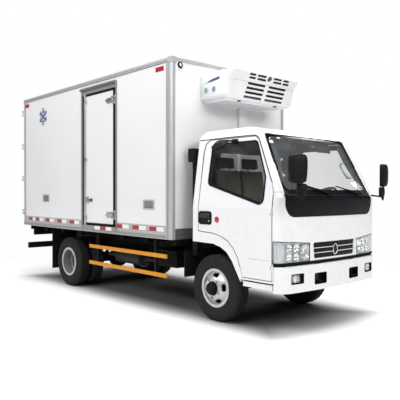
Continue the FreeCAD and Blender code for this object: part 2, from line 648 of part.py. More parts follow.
def box_right_wall():
    """Right wall with the side door's opening, its proud frame, rain hood and hinge blocks."""
    panel = block("right_panel", (f"{BOX_REAR} + wall", f"{BOX_FRONT} - wall"),
                  (f"-{BOX_HALF}", f"-({BOX_HALF} - wall)"),
                  (BOX_FLOOR, BOX_CEILING))
    band = "side_frame_band"
    frame = block("side_frame", (f"{SIDE_LEAF_X[0]} - {band}", f"{SIDE_LEAF_X[1]} + {band}"),
                  (f"-({BOX_HALF} + side_frame_proud)", f"-{BOX_HALF}"),
                  ("box_bottom + 30", f"{SIDE_LEAF_Z[1]} + {band} + 50"))
    hood = block("rain_hood", (f"{SIDE_LEAF_X[0]} - {band}", f"{SIDE_LEAF_X[1]} + {band}"),
                 (f"-({BOX_HALF} + side_frame_proud + 24)", f"-{BOX_HALF}"),
                 (f"{SIDE_LEAF_Z[1]} + {band} + 12", f"{SIDE_LEAF_Z[1]} + {band} + 50"))
    opening = block("side_opening", (f"{SIDE_LEAF_X[0]} - door_gap", f"{SIDE_LEAF_X[1]} + door_gap"),
                    (f"-({BOX_HALF} + 60)", f"-({BOX_HALF} - wall - 10)"),
                    (f"{SIDE_LEAF_Z[0]} - door_gap", f"{SIDE_LEAF_Z[1]} + door_gap"))
    wall = cut("right_wall_cut", fuse("right_wall_solid", [panel, frame, hood]), [opening])
    parts = [wall]
    axis_x = f"({SIDE_LEAF_X[1]} + door_gap + 12)"
    axis_out = f"({BOX_HALF} + side_hinge_out)"
    for i, level in enumerate(SIDE_HINGE_LEVELS):
        for end, shift in (("low", -46), ("high", 26)):
            parts.append(block(f"side_hinge_fixed_{i}_{end}", (f"{axis_x} - 11", f"{axis_x} + 40"),
                               (f"-({axis_out} + 11)", f"-({BOX_HALF} + side_frame_proud)"),
                               (f"{level} + {shift}", f"{level} + {shift + 20}")))
        parts.append(rod(f"side_hinge_pin_{i}", "hinge_pin_radius", "92",
                         (axis_x, f"-{axis_out}", f"{level} - 46")))
    keep("box_right_wall", fuse("box_right_all", parts))


# heights of the side door's hinges
SIDE_HINGE_LEVELS = ("(side_door_bottom + 130)", "(side_door_bottom + side_door_height - 130)")


def side_door():
    """Insulated leaf with hinge straps at its front edge and a locking bar near its rear edge."""
    leaf_out = f"({BOX_HALF} + side_frame_proud)"
    inside = f"-({BOX_HALF} - wall)"
    leaf = prism("side_leaf", "xy", ((SIDE_LEAF_X[0], f"-{leaf_out}"), (SIDE_LEAF_X[1], f"-{leaf_out}"),
                                     (SIDE_LEAF_X[1], inside),
                                     (f"{SIDE_LEAF_X[0]} + leaf_taper * 1.5", inside)),
                 "side_door_height", f"({SIDE_LEAF_Z[0]} + side_door_height / 2)")
    axis_x = f"({SIDE_LEAF_X[1]} + door_gap + 12)"
    axis_out = f"({BOX_HALF} + side_hinge_out)"
    parts = [leaf]
    bores = []
    for i, level in enumerate(SIDE_HINGE_LEVELS):
        parts.append(block(f"side_strap_{i}", (f"{SIDE_LEAF_X[1]} - 150", f"{SIDE_LEAF_X[1]} - 10"),
                           (f"-({axis_out} - 2)", f"-{leaf_out}"), (f"{level} - 18", f"{level} + 18")))
        parts.append(block(f"side_strap_tongue_{i}", (f"{SIDE_LEAF_X[1]} - 12", axis_x),
                           (f"-({axis_out} + 6)", f"-({axis_out} - 8)"),
                           (f"{level} - 18", f"{level} + 18")))
        parts.append(rod(f"side_strap_eye_{i}", "13", "36", (axis_x, f"-{axis_out}", f"{level} - 18")))
        bores.append(rod(f"side_strap_bore_{i}", "hinge_pin_radius + bearing_clearance", "60",
                         (axis_x, f"-{axis_out}", f"{level} - 30")))
    bar_x = f"({SIDE_LEAF_X[0]} + 55)"
    bar_y = f"-({leaf_out} + lock_rod_out)"
    parts.append(rod("side_lock_bar", "lock_rod_radius", f"{SIDE_LEAF_Z[1]} - {SIDE_LEAF_Z[0]} + 40",
                     (bar_x, bar_y, f"{SIDE_LEAF_Z[0]} - 20")))
    for i, share in enumerate((0.04, 0.5, 0.96)):
        level = f"({SIDE_LEAF_Z[0]} + side_door_height * {share})"
        parts.append(block(f"side_lock_guide_{i}", (f"{bar_x} - 34", f"{bar_x} + 34"),
                           (f"-({leaf_out} + lock_rod_out)", f"-{leaf_out}"),
                           (f"{level} - 25", f"{level} + 25")))
    lever = f"({SIDE_LEAF_Z[0]} + 330)"
    parts.append(block("side_lever", (f"{bar_x} - 10", f"{bar_x} + 190"),
                       (f"-({leaf_out} + lock_rod_out + 6)", f"-({leaf_out} + lock_rod_out - 8)"),
                       (f"{lever} - 14", f"{lever} + 14")))
    parts.append(block("side_lever_catch", (f"{bar_x} + 140", f"{bar_x} + 180"),
                       (f"-({leaf_out} + lock_rod_out - 8)", f"-{leaf_out}"),
                       (f"{lever} - 30", f"{lever} + 30")))
    keep("side_door", cut("side_door_all", fuse("side_door_solid", parts), bores))


# heights of the rear doors' hinges, as shares of the leaf's height
REAR_HINGE_SHARES = (0.07, 0.36, 0.64, 0.93)
REAR_LEAF_Z = ("(box_bottom + rear_sill + door_gap)", "(box_bottom + box_height - rear_header - door_gap)")
REAR_AXIS_X = f"({BOX_REAR} - rear_hinge_back)"
REAR_AXIS_OUT = f"({BOX_HALF} + rear_hinge_out)"


def rear_hinge_level(share):
    low, high = REAR_LEAF_Z
    return f"({low} + ({high} - {low}) * {share})"


def box_rear_frame():
    """Rear portal with the fixed halves of the rear door hinges."""
    portal = block("portal", (BOX_REAR, f"{BOX_REAR} + wall"), (f"-{BOX_HALF}", BOX_HALF),
                   ("box_bottom", BOX_TOP))
    opening = block("portal_opening", (f"{BOX_REAR} - 5", f"{BOX_REAR} + wall + 5"),
                    (f"-({BOX_HALF} - rear_post)", f"{BOX_HALF} - rear_post"),
                    ("box_bottom + rear_sill", f"{BOX_TOP} - rear_header"))
    parts = [cut("portal_cut", portal, [opening])]
    for name, side in SIDES:
        for i, share in enumerate(REAR_HINGE_SHARES):
            level = rear_hinge_level(share)
            for end, shift in (("low", -46), ("high", 26)):
                parts.append(block(f"rear_hinge_fixed_{name}_{i}_{end}", (f"{REAR_AXIS_X} - 10", BOX_REAR),
                                   mirrored(side, f"{BOX_HALF} - 30", f"{REAR_AXIS_OUT} + 10"),
                                   (f"{level} + {shift}", f"{level} + {shift + 20}")))
            parts.append(rod(f"rear_hinge_pin_{name}_{i}", "hinge_pin_radius", "92",
                             (REAR_AXIS_X, f"{side} * {REAR_AXIS_OUT}", f"{level} - 46")))
    keep("box_rear_frame", fuse("box_rear_all", parts))


def rear_door(name, side):
    """Rear leaf with four hinge straps and a pair of locking bars."""
    low, high = REAR_LEAF_Z
    hinge_edge = f"({BOX_HALF} - rear_post - door_gap)"
    meeting = "leaf_meeting_gap / 2"
    plan = ((BOX_REAR, meeting), (f"{BOX_REAR} + wall", f"{meeting} + leaf_taper"),
            (f"{BOX_REAR} + wall", hinge_edge),
            (BOX_REAR, hinge_edge))
    leaf = prism(f"rear_leaf_{name}", "xy", [(x, f"{side} * ({y})") for x, y in plan], f"{high} - {low}",
                 f"(({high} + {low}) / 2)")
    parts = [leaf]
    bores = []
    for i, share in enumerate(REAR_HINGE_SHARES):
        level = rear_hinge_level(share)
        parts.append(block(f"rear_strap_{name}_{i}", (f"{BOX_REAR} - 12", BOX_REAR),
                           mirrored(side, f"{hinge_edge} - 220", f"{hinge_edge} - 6"),
                           (f"{level} - 18", f"{level} + 18")))
        parts.append(block(f"rear_tongue_{name}_{i}", (f"{BOX_REAR} - 16", f"{BOX_REAR} - 6"),
                           mirrored(side, f"{hinge_edge} - 30", REAR_AXIS_OUT),
                           (f"{level} - 18", f"{level} + 18")))
        parts.append(rod(f"rear_eye_{name}_{i}", "13", "36",
                         (REAR_AXIS_X, f"{side} * {REAR_AXIS_OUT}", f"{level} - 18")))
        bores.append(rod(f"rear_eye_bore_{name}_{i}", "hinge_pin_radius + bearing_clearance", "60",
                         (REAR_AXIS_X, f"{side} * {REAR_AXIS_OUT}", f"{level} - 30")))
    bar_x = f"({BOX_REAR} - lock_rod_out)"
    for i, inset in enumerate(("120", "520")):
        bar_y = f"{side} * (leaf_meeting_gap / 2 + {inset})"
        parts.append(rod(f"rear_lock_bar_{name}_{i}", "lock_rod_radius", f"{high} - {low} + 60",
                         (bar_x, bar_y, f"{low} - 30")))
        for j, share in enumerate((0.05, 0.35, 0.65, 0.95)):
            level = rear_hinge_level(share)
            parts.append(block(f"rear_guide_{name}_{i}_{j}", (bar_x, BOX_REAR),
                               (f"{bar_y} - 32", f"{bar_y} + 32"),
                               (f"{level} - 22", f"{level} + 22")))
        lever = rear_hinge_level(0.22)
        parts.append(block(f"rear_lever_{name}_{i}", (f"{bar_x} - 6", f"{bar_x} + 8"),
                           mirrored(side, f"leaf_meeting_gap / 2 + {inset} - 12",
                                    f"leaf_meeting_gap / 2 + {inset} + 210"),
                           (f"{lever} - 14", f"{lever} + 14")))
    keep(f"rear_door_{name}", cut(f"rear_door_all_{name}", fuse(f"rear_door_solid_{name}", parts), bores))


def refrigeration_unit():
    """Cooling unit on the front wall: its face leans forwards and its underside is flat."""
    back = BOX_FRONT
    points = (("0", "cooler_bottom"), ("cooler_length", "cooler_bottom"),
              ("cooler_length + cooler_overhang * 0.4", "cooler_bottom + 222"),
              ("cooler_length + cooler_overhang", "cooler_bottom + cooler_height - 36"),
              ("0", "cooler_bottom + cooler_height"))
    unit = prism("cooler_case", "xz", points, "cooler_width", "cooler_middle_y")
    bind(unit, "Placement.Base.x", back)
    line_cover = block("line_cover", (back, f"{back} + 46"), ("85", "225"),
                       ("box_bottom + 180", "cooler_bottom + 30"))
    keep("refrigeration_unit", fuse("refrigeration_all", [unit, line_cover]))


# ---------------------------------------------------------------- cab
def arc_through(a, b, c):
    return Part.Arc(a, b, c).toShape()


def cab_plan(inset, bottom, top, lean):
    """The cab's plan outline as a prism that leans back by lean for each unit of height."""
    half = value("cab_width") / 2 - inset
    front = value(ahead("cab_front")) - inset
    rear = value(ahead("-cab_rear")) + inset
    bow = value("front_bow_radius")
    corner = max(value("cab_corner") - inset, 5)
    edge = half - corner
    centre_x = front - bow
    edge_x = centre_x + math.sqrt(bow * bow - edge * edge)
    mid = Vector(edge_x - corner + corner * math.sin(math.radians(45)),
                 edge + corner * math.cos(math.radians(45)), 0)
    side_x = edge_x - corner
    right_mid = Vector(mid.x, -mid.y, 0)
    edges = [arc_through(Vector(edge_x, -edge, 0), Vector(front, 0, 0), Vector(edge_x, edge, 0)),
             arc_through(Vector(edge_x, edge, 0), mid, Vector(side_x, half, 0)),
             Part.LineSegment(Vector(side_x, half, 0), Vector(rear, half, 0)).toShape(),
             Part.LineSegment(Vector(rear, half, 0), Vector(rear, -half, 0)).toShape(),
             Part.LineSegment(Vector(rear, -half, 0), Vector(side_x, -half, 0)).toShape(),
             arc_through(Vector(side_x, -half, 0), right_mid, Vector(edge_x, -edge, 0))]
    face = Part.Face(Part.Wire(edges))
    face.translate(Vector(0, 0, bottom))
    return face.extrude(Vector(-lean * (top - bottom), 0, top - bottom))


def extruded(points, direction, start):
    """A polygon given as vectors, extruded along a direction from a shifted start."""
    wire = Part.makePolygon(list(points) + [points[0]])
    face = Part.Face(wire)
    face.translate(start)
    return face.extrude(direction)


# height where the front stops standing upright and starts to lean back, and its lean per unit of height
SCREEN_FOOT = 1440
SCREEN_LEAN = 326 / 612


def cab_solid(inset):
    """The cab's outer form, or the same form shrunk on every side by inset."""
    low = 300
    high = 2600
    lower = cab_plan(inset, low, SCREEN_FOOT, 0)
    # the leaning part keeps its rear panel upright: its own rear is trimmed by the side profile
    upper = cab_plan(inset, SCREEN_FOOT, high, SCREEN_LEAN)
    rear_fill = Part.makeBox(700, value("cab_width") - 2 * inset, high - SCREEN_FOOT,
                             Vector(value(ahead("-cab_rear")) + inset, -(value("cab_width") / 2 - inset),
                                    SCREEN_FOOT))
    body = lower.fuse([upper, rear_fill])
    # side profile: rear panel, roof crown and header
    rear = value(ahead("-cab_rear")) + inset
    roof = [Vector(value(ahead(x)), 0, level - inset)
            for x, level in ((1400, 1750), (640, 2150), (600, 2185), (520, 2214), (205, 2262),
                             (-100, value("cab_crown")), (-220, 2268))]
    roof_outline = [Vector(rear, 0, low), Vector(value(ahead(1400)), 0, low)] + roof + \
                   [Vector(rear + 18, 0, 2215 - inset), Vector(rear, 0, 2120 - inset)]
    side_prism = extruded(roof_outline, Vector(0, 2400, 0), Vector(0, -1200, 0))
    # front view: upright to the waist, leaning in to the eaves, then a rounded roof
    half = value("cab_width") / 2 - inset
    eave = value("cab_roof_width") / 2 - inset
    waist = value("cab_waist")
    eave_z = value("cab_eave") - inset
    crown = value("cab_crown") - inset
    outer = [Vector(0, half, low), Vector(0, half, waist), Vector(0, eave, eave_z)]
    shoulder = Vector(0, eave - 40, eave_z + 62)
    brow = Vector(0, eave - 150, eave_z + 118)
    edges = [Part.LineSegment(outer[0], outer[1]).toShape(), Part.LineSegment(outer[1], outer[2]).toShape(),
             arc_through(outer[2], shoulder, brow),
             arc_through(brow, Vector(0, 0, crown + 12), Vector(0, -brow.y, brow.z)),
             arc_through(Vector(0, -brow.y, brow.z), Vector(0, -shoulder.y, shoulder.z),
                         Vector(0, -eave, eave_z)),
             Part.LineSegment(Vector(0, -eave, eave_z), Vector(0, -half, waist)).toShape(),
             Part.LineSegment(Vector(0, -half, waist), Vector(0, -half, low)).toShape(),
             Part.LineSegment(Vector(0, -half, low), Vector(0, half, low)).toShape()]
    face = Part.Face(Part.Wire(edges))
    face.translate(Vector(value(ahead(-400)), 0, 0))
    front_prism = face.extrude(Vector(1900, 0, 0))
    return body.common(side_prism).common(front_prism)


def rounded_face(corners, radius):
    """A flat polygon whose corners are arcs of about the given radius, less where its sides are short."""
    count = len(corners)
    edges = []
    ends = []
    for i, corner in enumerate(corners):
        back = corners[i - 1] - corner
        on = corners[(i + 1) % count] - corner
        half = back.getAngle(on) / 2
        reach = min(radius / math.tan(half), back.Length * 0.45, on.Length * 0.45)
        bend = reach * math.tan(half)
        back.normalize()
        on.normalize()
        middle = back + on
        middle.normalize()
        depth = bend / math.sin(half) - bend
        ends.append((corner + back * reach, corner + middle * depth, corner + on * reach))
    for i, (start, middle, end) in enumerate(ends):
        edges.append(arc_through(start, middle, end))
        edges.append(Part.LineSegment(end, ends[(i + 1) % count][0]).toShape())
    return Part.Face(Part.Wire(edges))


def side_outline(points, half_low, half_high, radius=0):
    """A side-view outline of (ahead of the front axle, height) pairs, extruded between two +Y distances."""
    corners = [Vector(value(ahead(x)), half_low, z) for x, z in points]
    along = Vector(0, half_high - half_low, 0)
    return rounded_face(corners, radius).extrude(along) if radius else extruded(corners, along, Vector())


def front_outline(points, x_low, x_high, radius=0):
    """A front-view outline of (y, height) pairs, extruded along X between two places ahead of the axle."""
    corners = [Vector(value(ahead(x_low)), y, z) for y, z in points]
    along = Vector(x_high - x_low, 0, 0)
    return rounded_face(corners, radius).extrude(along) if radius else extruded(corners, along, Vector())


def both_sides(shape):
    return [shape, shape.mirror(Vector(), Vector(0, 1, 0))]


def grown(points, margin):
    """Move each corner of a convex-ish outline away from its neighbours' chord by margin."""
    result = []
    count = len(points)
    following = points[1:] + points[:1]
    area = sum(x * next_z - next_x * z for (x, z), (next_x, next_z) in zip(points, following))
    turn = 1 if area > 0 else -1
    for i in range(count):
        ax, az = points[i - 1]
        bx, bz = points[i]
        cx, cz = points[(i + 1) % count]
        n1 = ((bz - az) * turn, -(bx - ax) * turn)
        n2 = ((cz - bz) * turn, -(cx - bx) * turn)
        l1 = math.hypot(*n1)
        l2 = math.hypot(*n2)
        n1 = (n1[0] / l1, n1[1] / l1)
        n2 = (n2[0] / l2, n2[1] / l2)
        scale = margin / (1 + n1[0] * n2[0] + n1[1] * n2[1])
        result.append((bx + (n1[0] + n2[0]) * scale, bz + (n1[1] + n2[1]) * scale))
    return result


def door_points(lean):
    """Cab door in side view: arch curve at the rear foot, raked front edge along the screen pillar.

    lean moves the rear edge forwards at the top, where the leaning door swings back as it opens.
    """
    front = value("cab_door_front")
    rear = -value("cab_door_rear")
    return [(rear, 1052), (60, 1036), (190, 1008), (300, 962), (390, 880), (450, 790), (490, 690),
            (522, 590),
            (front, 590), (front, 1500), (896, 1600), (672, 2050), (610, 2100), (rear + 90 + lean, 2104),
            (rear + 20 + lean, 2060), (rear + lean, 1960), (rear, value("cab_waist"))]


WINDOW_POINTS = [(-66, 1590), (802, 1358), (806, 1660), (640, 2052), (-50, 2052)]
WINDOW_CORNER = 60
SCREEN_POINTS = [(-806, 1462), (806, 1462), (724, 2134), (-724, 2134)]
SCREEN_CORNER = 30
REAR_LIGHT_POINTS = [(-520, 1560), (520, 1560), (520, 2000), (-520, 2000)]
REAR_LIGHT_CORNER = 70
GRILLE_POINTS = [(-376, 792), (376, 792), (392, 962), (-392, 962)]
GRILLE_CORNER = 22
LAMP_POINTS = [(446, 766), (1200, 766), (1200, 1020), (446, 964)]
LAMP_CORNER = 10
# heights of the cab doors' hinges
CAB_HINGE_LEVELS = (720, 1270)
# wheel arch and underside of the cab in side view
ARCH_POINTS = [(-600, 925), (60, 914), (180, 884), (276, 835), (360, 745), (434, 625), (491, 532),
               (491, 200), (-600, 200)]


def cab_cavity():
    """The room inside the cab: footwells, seat platform and the space above."""
    skin = value("cab_skin")
    inner = cab_solid(skin)
    low = value("seat_floor")
    foot = value("footwell_floor")
    room = [(-800, low), (500, low), (575, foot), (1500, foot), (1500, 2700), (-800, 2700)]
    corners = [Vector(value(ahead(x)), -1200, z) for x, z in room]
    profile = extruded(corners, Vector(0, 2400, 0), Vector())
    step_floor = value("step_well_floor")
    wells = both_sides(Part.makeBox(325, 400, foot - step_floor + 1,
                                    Vector(value(ahead(565)), 620, step_floor)))
    return inner.common(profile.fuse(wells))


def hinge_cuts(side):
    """Notches and pin bores in a cab door's front edge."""
    axis_x = value(ahead("cab_door_front - cab_hinge_back"))
    axis_y = value("cab_width / 2 - cab_hinge_inset")
    cuts = []
    for level in CAB_HINGE_LEVELS:
        cuts.append(Part.makeBox(60, 120, 36, Vector(axis_x - 13, axis_y - 60, level - 18)))
        cuts.append(Part.makeCylinder(value("cab_hinge_radius + bearing_clearance"), 94,
                                      Vector(axis_x, axis_y, level - 47)))
    return cuts if side == LEFT else [c.mirror(Vector(), Vector(0, 1, 0)) for c in cuts]


def cab_parts():
    skin = value("cab_skin")
    outer = cab_solid(0)
    cavity = cab_cavity()
    gap = value("cab_door_gap")
    doors = door_points(value("door_top_lean"))
    shell = outer.cut(cavity)
    under = side_outline(ARCH_POINTS, -1200, 1200)
    sill = side_outline([(491, 562), (1200, 562), (1200, 100), (491, 100)], -1200, 1200)
    nose_back = value("cab_door_front") + gap + 4
    chin = value("nose_bottom")
    nose = side_outline([(nose_back, chin), (1400, chin), (1400, 100), (nose_back, 100)], -1200, 1200)
    tunnel = Part.makeBox(1300, 2 * value("tunnel_half_width"), value("tunnel_top") - 100,
                          Vector(value(ahead("-cab_rear")) - 10, -value("tunnel_half_width"), 100))
    door_holes = both_sides(side_outline(grown(door_points(0), gap), 700, 1300))
    seat = value("seat_clearance")
    screen_hole = front_outline(grown(SCREEN_POINTS, seat), 500, 1500, SCREEN_CORNER)
    light_hole = front_outline(grown(REAR_LIGHT_POINTS, seat), -500, -200, REAR_LIGHT_CORNER)
    lamp_back = nose_back + 4
    grille_hole = front_outline(grown(GRILLE_POINTS, seat), 900, 1300, GRILLE_CORNER)
    lamp_holes = both_sides(front_outline(grown(LAMP_POINTS, seat), lamp_back, 1300, LAMP_CORNER))
    for tool in [under, sill, nose, tunnel] + door_holes + [screen_hole, light_hole,
                                                            grille_hole] + lamp_holes:
        shell = shell.cut(tool)
    # hinge lugs reach across the gap into notches in the doors; steps hang under the sills
    axis_x = value(ahead("cab_door_front - cab_hinge_back"))
    axis_y = value("cab_width / 2 - cab_hinge_inset")
    fixed = []
    for level in CAB_HINGE_LEVELS:
        lug = Part.makeBox(value(ahead(nose_back)) - axis_x + 5, 10, 30,
                           Vector(axis_x - 5, axis_y - 5, level - 15))
        pin = Part.makeCylinder(value("cab_hinge_radius"), 90, Vector(axis_x, axis_y, level - 45))
        fixed += both_sides(lug) + both_sides(pin)
    step = Part.makeBox(400, value("cab_width") / 2 - 706, 54, Vector(value(ahead(526)), 700, 492))
    hangers = [Part.makeBox(60, 40, 20, Vector(value(ahead(x)), 700, 544)) for x in (540, 850)]
    for piece in [step] + hangers:
        fixed += both_sides(piece)
    keep("cab_shell", feature("cab_shell_all", shell.fuse(fixed).removeSplitter()))
    # doors are the cab's own skin, as thick as the whole door
    skin_layer = outer.cut(cab_solid(skin))
    glass_in = value("glass_inset")
    pane_layer = cab_solid(glass_in).cut(cab_solid(glass_in + value("glass_thickness")))
    for name, side in SIDES:
        leaf = side_outline(doors, 600, 1300)
        window = side_outline(WINDOW_POINTS, 600, 1300, WINDOW_CORNER)
        pane = side_outline(grown(WINDOW_POINTS, -seat), 600, 1300, WINDOW_CORNER)
        if side == RIGHT:
            leaf, window, pane = [s.mirror(Vector(), Vector(0, 1, 0)) for s in (leaf, window, pane)]
        door = skin_layer.common(leaf).cut([window] + hinge_cuts(side))
        keep(f"cab_door_{name}", feature(f"cab_door_all_{name}", door))
        keep(f"door_glass_{name}", feature(f"door_glass_all_{name}", pane_layer.common(pane)))
    screen = pane_layer.common(front_outline(SCREEN_POINTS, 300, 1500, SCREEN_CORNER))
    light = pane_layer.common(front_outline(REAR_LIGHT_POINTS, -500, -100, REAR_LIGHT_CORNER))
    keep("cab_glass", feature("cab_glass_all", Part.makeCompound([screen, light])))
    lamp_layer = cab_solid(1).cut(cab_solid(90))
    lamp_zone = front_outline(LAMP_POINTS, lamp_back + seat, 1300, LAMP_CORNER)
    lamps = [lamp_layer.common(zone) for zone in both_sides(lamp_zone)]
    keep("headlamps", feature("headlamps_all", Part.makeCompound(lamps)))
    grille_zone = front_outline(GRILLE_POINTS, 900, 1300, GRILLE_CORNER)
    keep("grille", feature("grille_all", cab_solid(12).cut(cab_solid(40)).common(grille_zone)))


def steering_line():
    """The steering wheel's centre and the direction of its column, up and back towards the driver."""
    tilt = math.radians(value("column_tilt"))
    centre = Vector(value(ahead(560)), 400, 1440)
    return centre, Vector(-math.sin(tilt), 0, math.cos(tilt))


def dashboard():
    """Dashboard across the cab under the windscreen, with the steering column down to the floor."""
    points = [(1010, 1100), (1010, 1410), (930, 1440), (800, 1400), (740, 1290), (760, 1180), (850, 1100)]
    half = value("cab_width") / 2 - value("cab_skin") - 40
    body = side_outline(points, -half, half)
    room = cab_solid(value("cab_skin") + value("seat_clearance"))
    centre, axis = steering_line()
    top = centre - axis * (50 + value("seat_clearance"))
    floor = value("footwell_floor") + value("seat_clearance")
    column = Part.makeCylinder(28, 900, top - axis * 900, axis)
    column = column.cut(Part.makeBox(2000, 400, 600,
                                     Vector(value(FRONT_AXLE), centre.y - 200, floor - 600)))
    console = Part.makeBox(200, 150, 160, Vector(value(ahead(650)), centre.y - 75, 1160))
    keep("dashboard", feature("dashboard_all", body.common(room).fuse([column, console])))


def steering_wheel():
    """Steering wheel on the end of its column."""
    centre, axis = steering_line()
    ring = Part.makeTorus(value("steering_wheel_radius"), 15, centre, axis)
    boss = Part.makeCylinder(45, 60, centre - axis * 50, axis)
    spokes = []
    for angle in (0, 180, 270):
        arm = Part.makeBox(value("steering_wheel_radius"), 36, 12, Vector(0, -18, -6))
        turn = FreeCAD.Rotation(Vector(0, 0, 1), angle)
        lean = FreeCAD.Rotation(Vector(0, 0, 1), axis)
        arm.Placement = FreeCAD.Placement(centre, lean.multiply(turn))
        spokes.append(arm)
    keep("steering_wheel", feature("steering_wheel_all", ring.fuse([boss] + spokes)))


def seats():
    """Driver's seat and the double passenger seat, each a cushion and a back."""
    rows = []
    # middle from the centre plane, width
    for middle, width in ((470, 480), (-290, 900)):
        base = Part.makeBox(500, width, 190,
                            Vector(value(ahead(-170)), middle - width / 2, value("seat_floor")))
        back = extruded([Vector(value(ahead(x)), middle - width / 2, z)
                         for x, z in ((-120, 1200), (-40, 1200), (-130, 1830), (-215, 1830))],
                        Vector(0, width, 0), Vector())
        rows.append(base.fuse(back))
    keep("seats", feature("seats_all", Part.makeCompound(rows)))


def front_bumper():
    """Bow-fronted bumper wrapping round the cab's corners, with tow and lamp openings."""
    def plan(inset):
        half = value("cab_width") / 2 - 3 - inset
        front = value(ahead("bumper_front")) - inset
        bow = 6200
        corner = 180 - inset
        edge = half - corner
        edge_x = front - bow + math.sqrt(bow * bow - edge * edge)
        side_x = edge_x - corner
        slant = math.radians(45)
        mid_x = side_x + corner * math.sin(slant)
        mid_y = edge + corner * math.cos(slant)
        back = side_x - 60
        edges = [arc_through(Vector(edge_x, -edge, 0), Vector(front, 0, 0), Vector(edge_x, edge, 0)),
                 arc_through(Vector(edge_x, edge, 0), Vector(mid_x, mid_y, 0), Vector(side_x, half, 0)),
                 Part.LineSegment(Vector(side_x, half, 0), Vector(back, half, 0)).toShape(),
                 Part.LineSegment(Vector(back, half, 0), Vector(back, -half, 0)).toShape(),
                 Part.LineSegment(Vector(back, -half, 0), Vector(side_x, -half, 0)).toShape(),
                 arc_through(Vector(side_x, -half, 0), Vector(mid_x, -mid_y, 0), Vector(edge_x, -edge, 0))]
        return Part.Face(Part.Wire(edges))
    low = value("bumper_bottom")
    tall = value("bumper_height")
    outer = plan(0)
    outer.translate(Vector(0, 0, low))
    outer = outer.extrude(Vector(0, 0, tall))
    inner = plan(value("bumper_wall"))
    inner.translate(Vector(0, 0, low - 10))
    inner = inner.extrude(Vector(0, 0, tall + 20))
    behind = Part.makeBox(500, 2400, tall + 40,
                          Vector(value(ahead("cab_door_front + 17")) - 500, -1200, low - 20))
    bumper = outer.cut([inner, behind])
    tow = value("tow_hole_y")
    holes = both_sides(front_outline([(tow - 102, 520), (tow + 102, 520), (tow + 102, 644),
                                      (tow - 102, 644)],
                                     900, 1300, 22))
    fogs = both_sides(front_outline([(584, 550), (774, 550), (774, 658), (584, 658)], 1030, 1300, 18))
    plate = []
    for side in (RIGHT, LEFT):
        y = side * value("plate_hole_spacing") / 2
        plate.append(Part.makeCylinder(value("plate_hole_radius"), 400, Vector(value(ahead(900)), y, 600),
                                       Vector(1, 0, 0)))
    bumper = bumper.cut(holes + fogs + plate)
    stays = []
    for name, side in SIDES:
        y = side * (value(RAIL_OUT) - 30)
        start = value(ahead("frame_nose"))
        reach = value(ahead("bumper_front")) - 36 - start
        stays.append(Part.makeBox(reach, 60, 56, Vector(start, y - 30, 666)))
        # a rest for the cab's front panel
        rest_back = value(ahead("cab_front - 60"))
        rest_top = value("nose_bottom - seat_clearance")
        stays.append(Part.makeBox(start + reach - rest_back, 60, rest_top - 700,
                                  Vector(rest_back, y - 30, 700)))
    keep("front_bumper", feature("front_bumper_all", bumper.fuse(stays)))


def mirror_head(centre, face_turn, width, height, depth):
    """A mirror housing standing upright, its back turned from straight ahead by face_turn degrees."""
    half_w = width / 2
    half_h = height / 2
    face = rounded_face([Vector(-depth / 2, -half_w, -half_h), Vector(-depth / 2, half_w, -half_h),
                         Vector(-depth / 2, half_w, half_h), Vector(-depth / 2, -half_w, half_h)],
                        width * 0.16)
    head = face.extrude(Vector(depth, 0, 0))
    front_rim = [e for e in head.Edges if all(abs(v.X - depth / 2) < 1e-6 for v in e.Vertexes)]
    head = head.makeFillet(depth * 0.4, front_rim)
    head.Placement = FreeCAD.Placement(centre, FreeCAD.Rotation(Vector(0, 0, 1), face_turn))
    return head


def tube_through(points, radius):
    """A bent tube: straight runs with slightly larger ball joints at the bends."""
    shape = None
    for here, there in zip(points, points[1:]):
        run = Part.makeCylinder(radius, (there - here).Length, here, there - here)
        shape = run if shape is None else shape.fuse(run)
    for point in points[1:-1]:
        shape = shape.fuse(Part.makeSphere(radius * 1.05, point))
    return shape


# side, head centre ahead of the axle, head centre out, its height, turn of its back,
# root of its arm ahead of the axle
MIRRORS = ((RIGHT, 1294, 976, 1728, -25, 925), (LEFT, 1057, 1046, 1713, 18, 925))


def mirrors():
    """Door mirrors on tube arms ahead of the pillars: the kerb-side one reaches further forward."""
    width = value("mirror_width")
    height = value("mirror_height")
    heads = []
    for side, x, out, level, turn, root_x in MIRRORS:
        centre = Vector(value(ahead(x)), side * out, level)
        angle = math.radians(turn)
        inboard = Vector(-math.sin(angle), math.cos(angle), 0) * -side
        head = mirror_head(centre, turn, width, height, 62)
        spot = mirror_head(centre + inboard * 58 + Vector(-16, 0, -height / 2 - 70), turn, 96, 114, 44)
        root = Vector(value(ahead(root_x)), side * 780, 1478)
        arm = tube_through([centre + Vector(0, 0, -height / 2 + 20),
                            centre + Vector(0, 0, -height / 2 - 110),
                            centre + inboard * 34 + Vector(0, 0, -height / 2 - 166),
                            centre + inboard * 74 + Vector(-10, 0, -height / 2 - 128), root], 10)
        clamp = tube_through([centre + Vector(0, 0, -height / 2 - 70),
                              centre + inboard * 58 + Vector(-16, 0, -height / 2 - 70)], 9)
        arm = arm.cut(cab_solid(-value("seat_clearance")))
        heads.append(head.fuse([spot, arm, clamp]))
    keep("mirrors", feature("mirrors_all", Part.makeCompound(heads)))


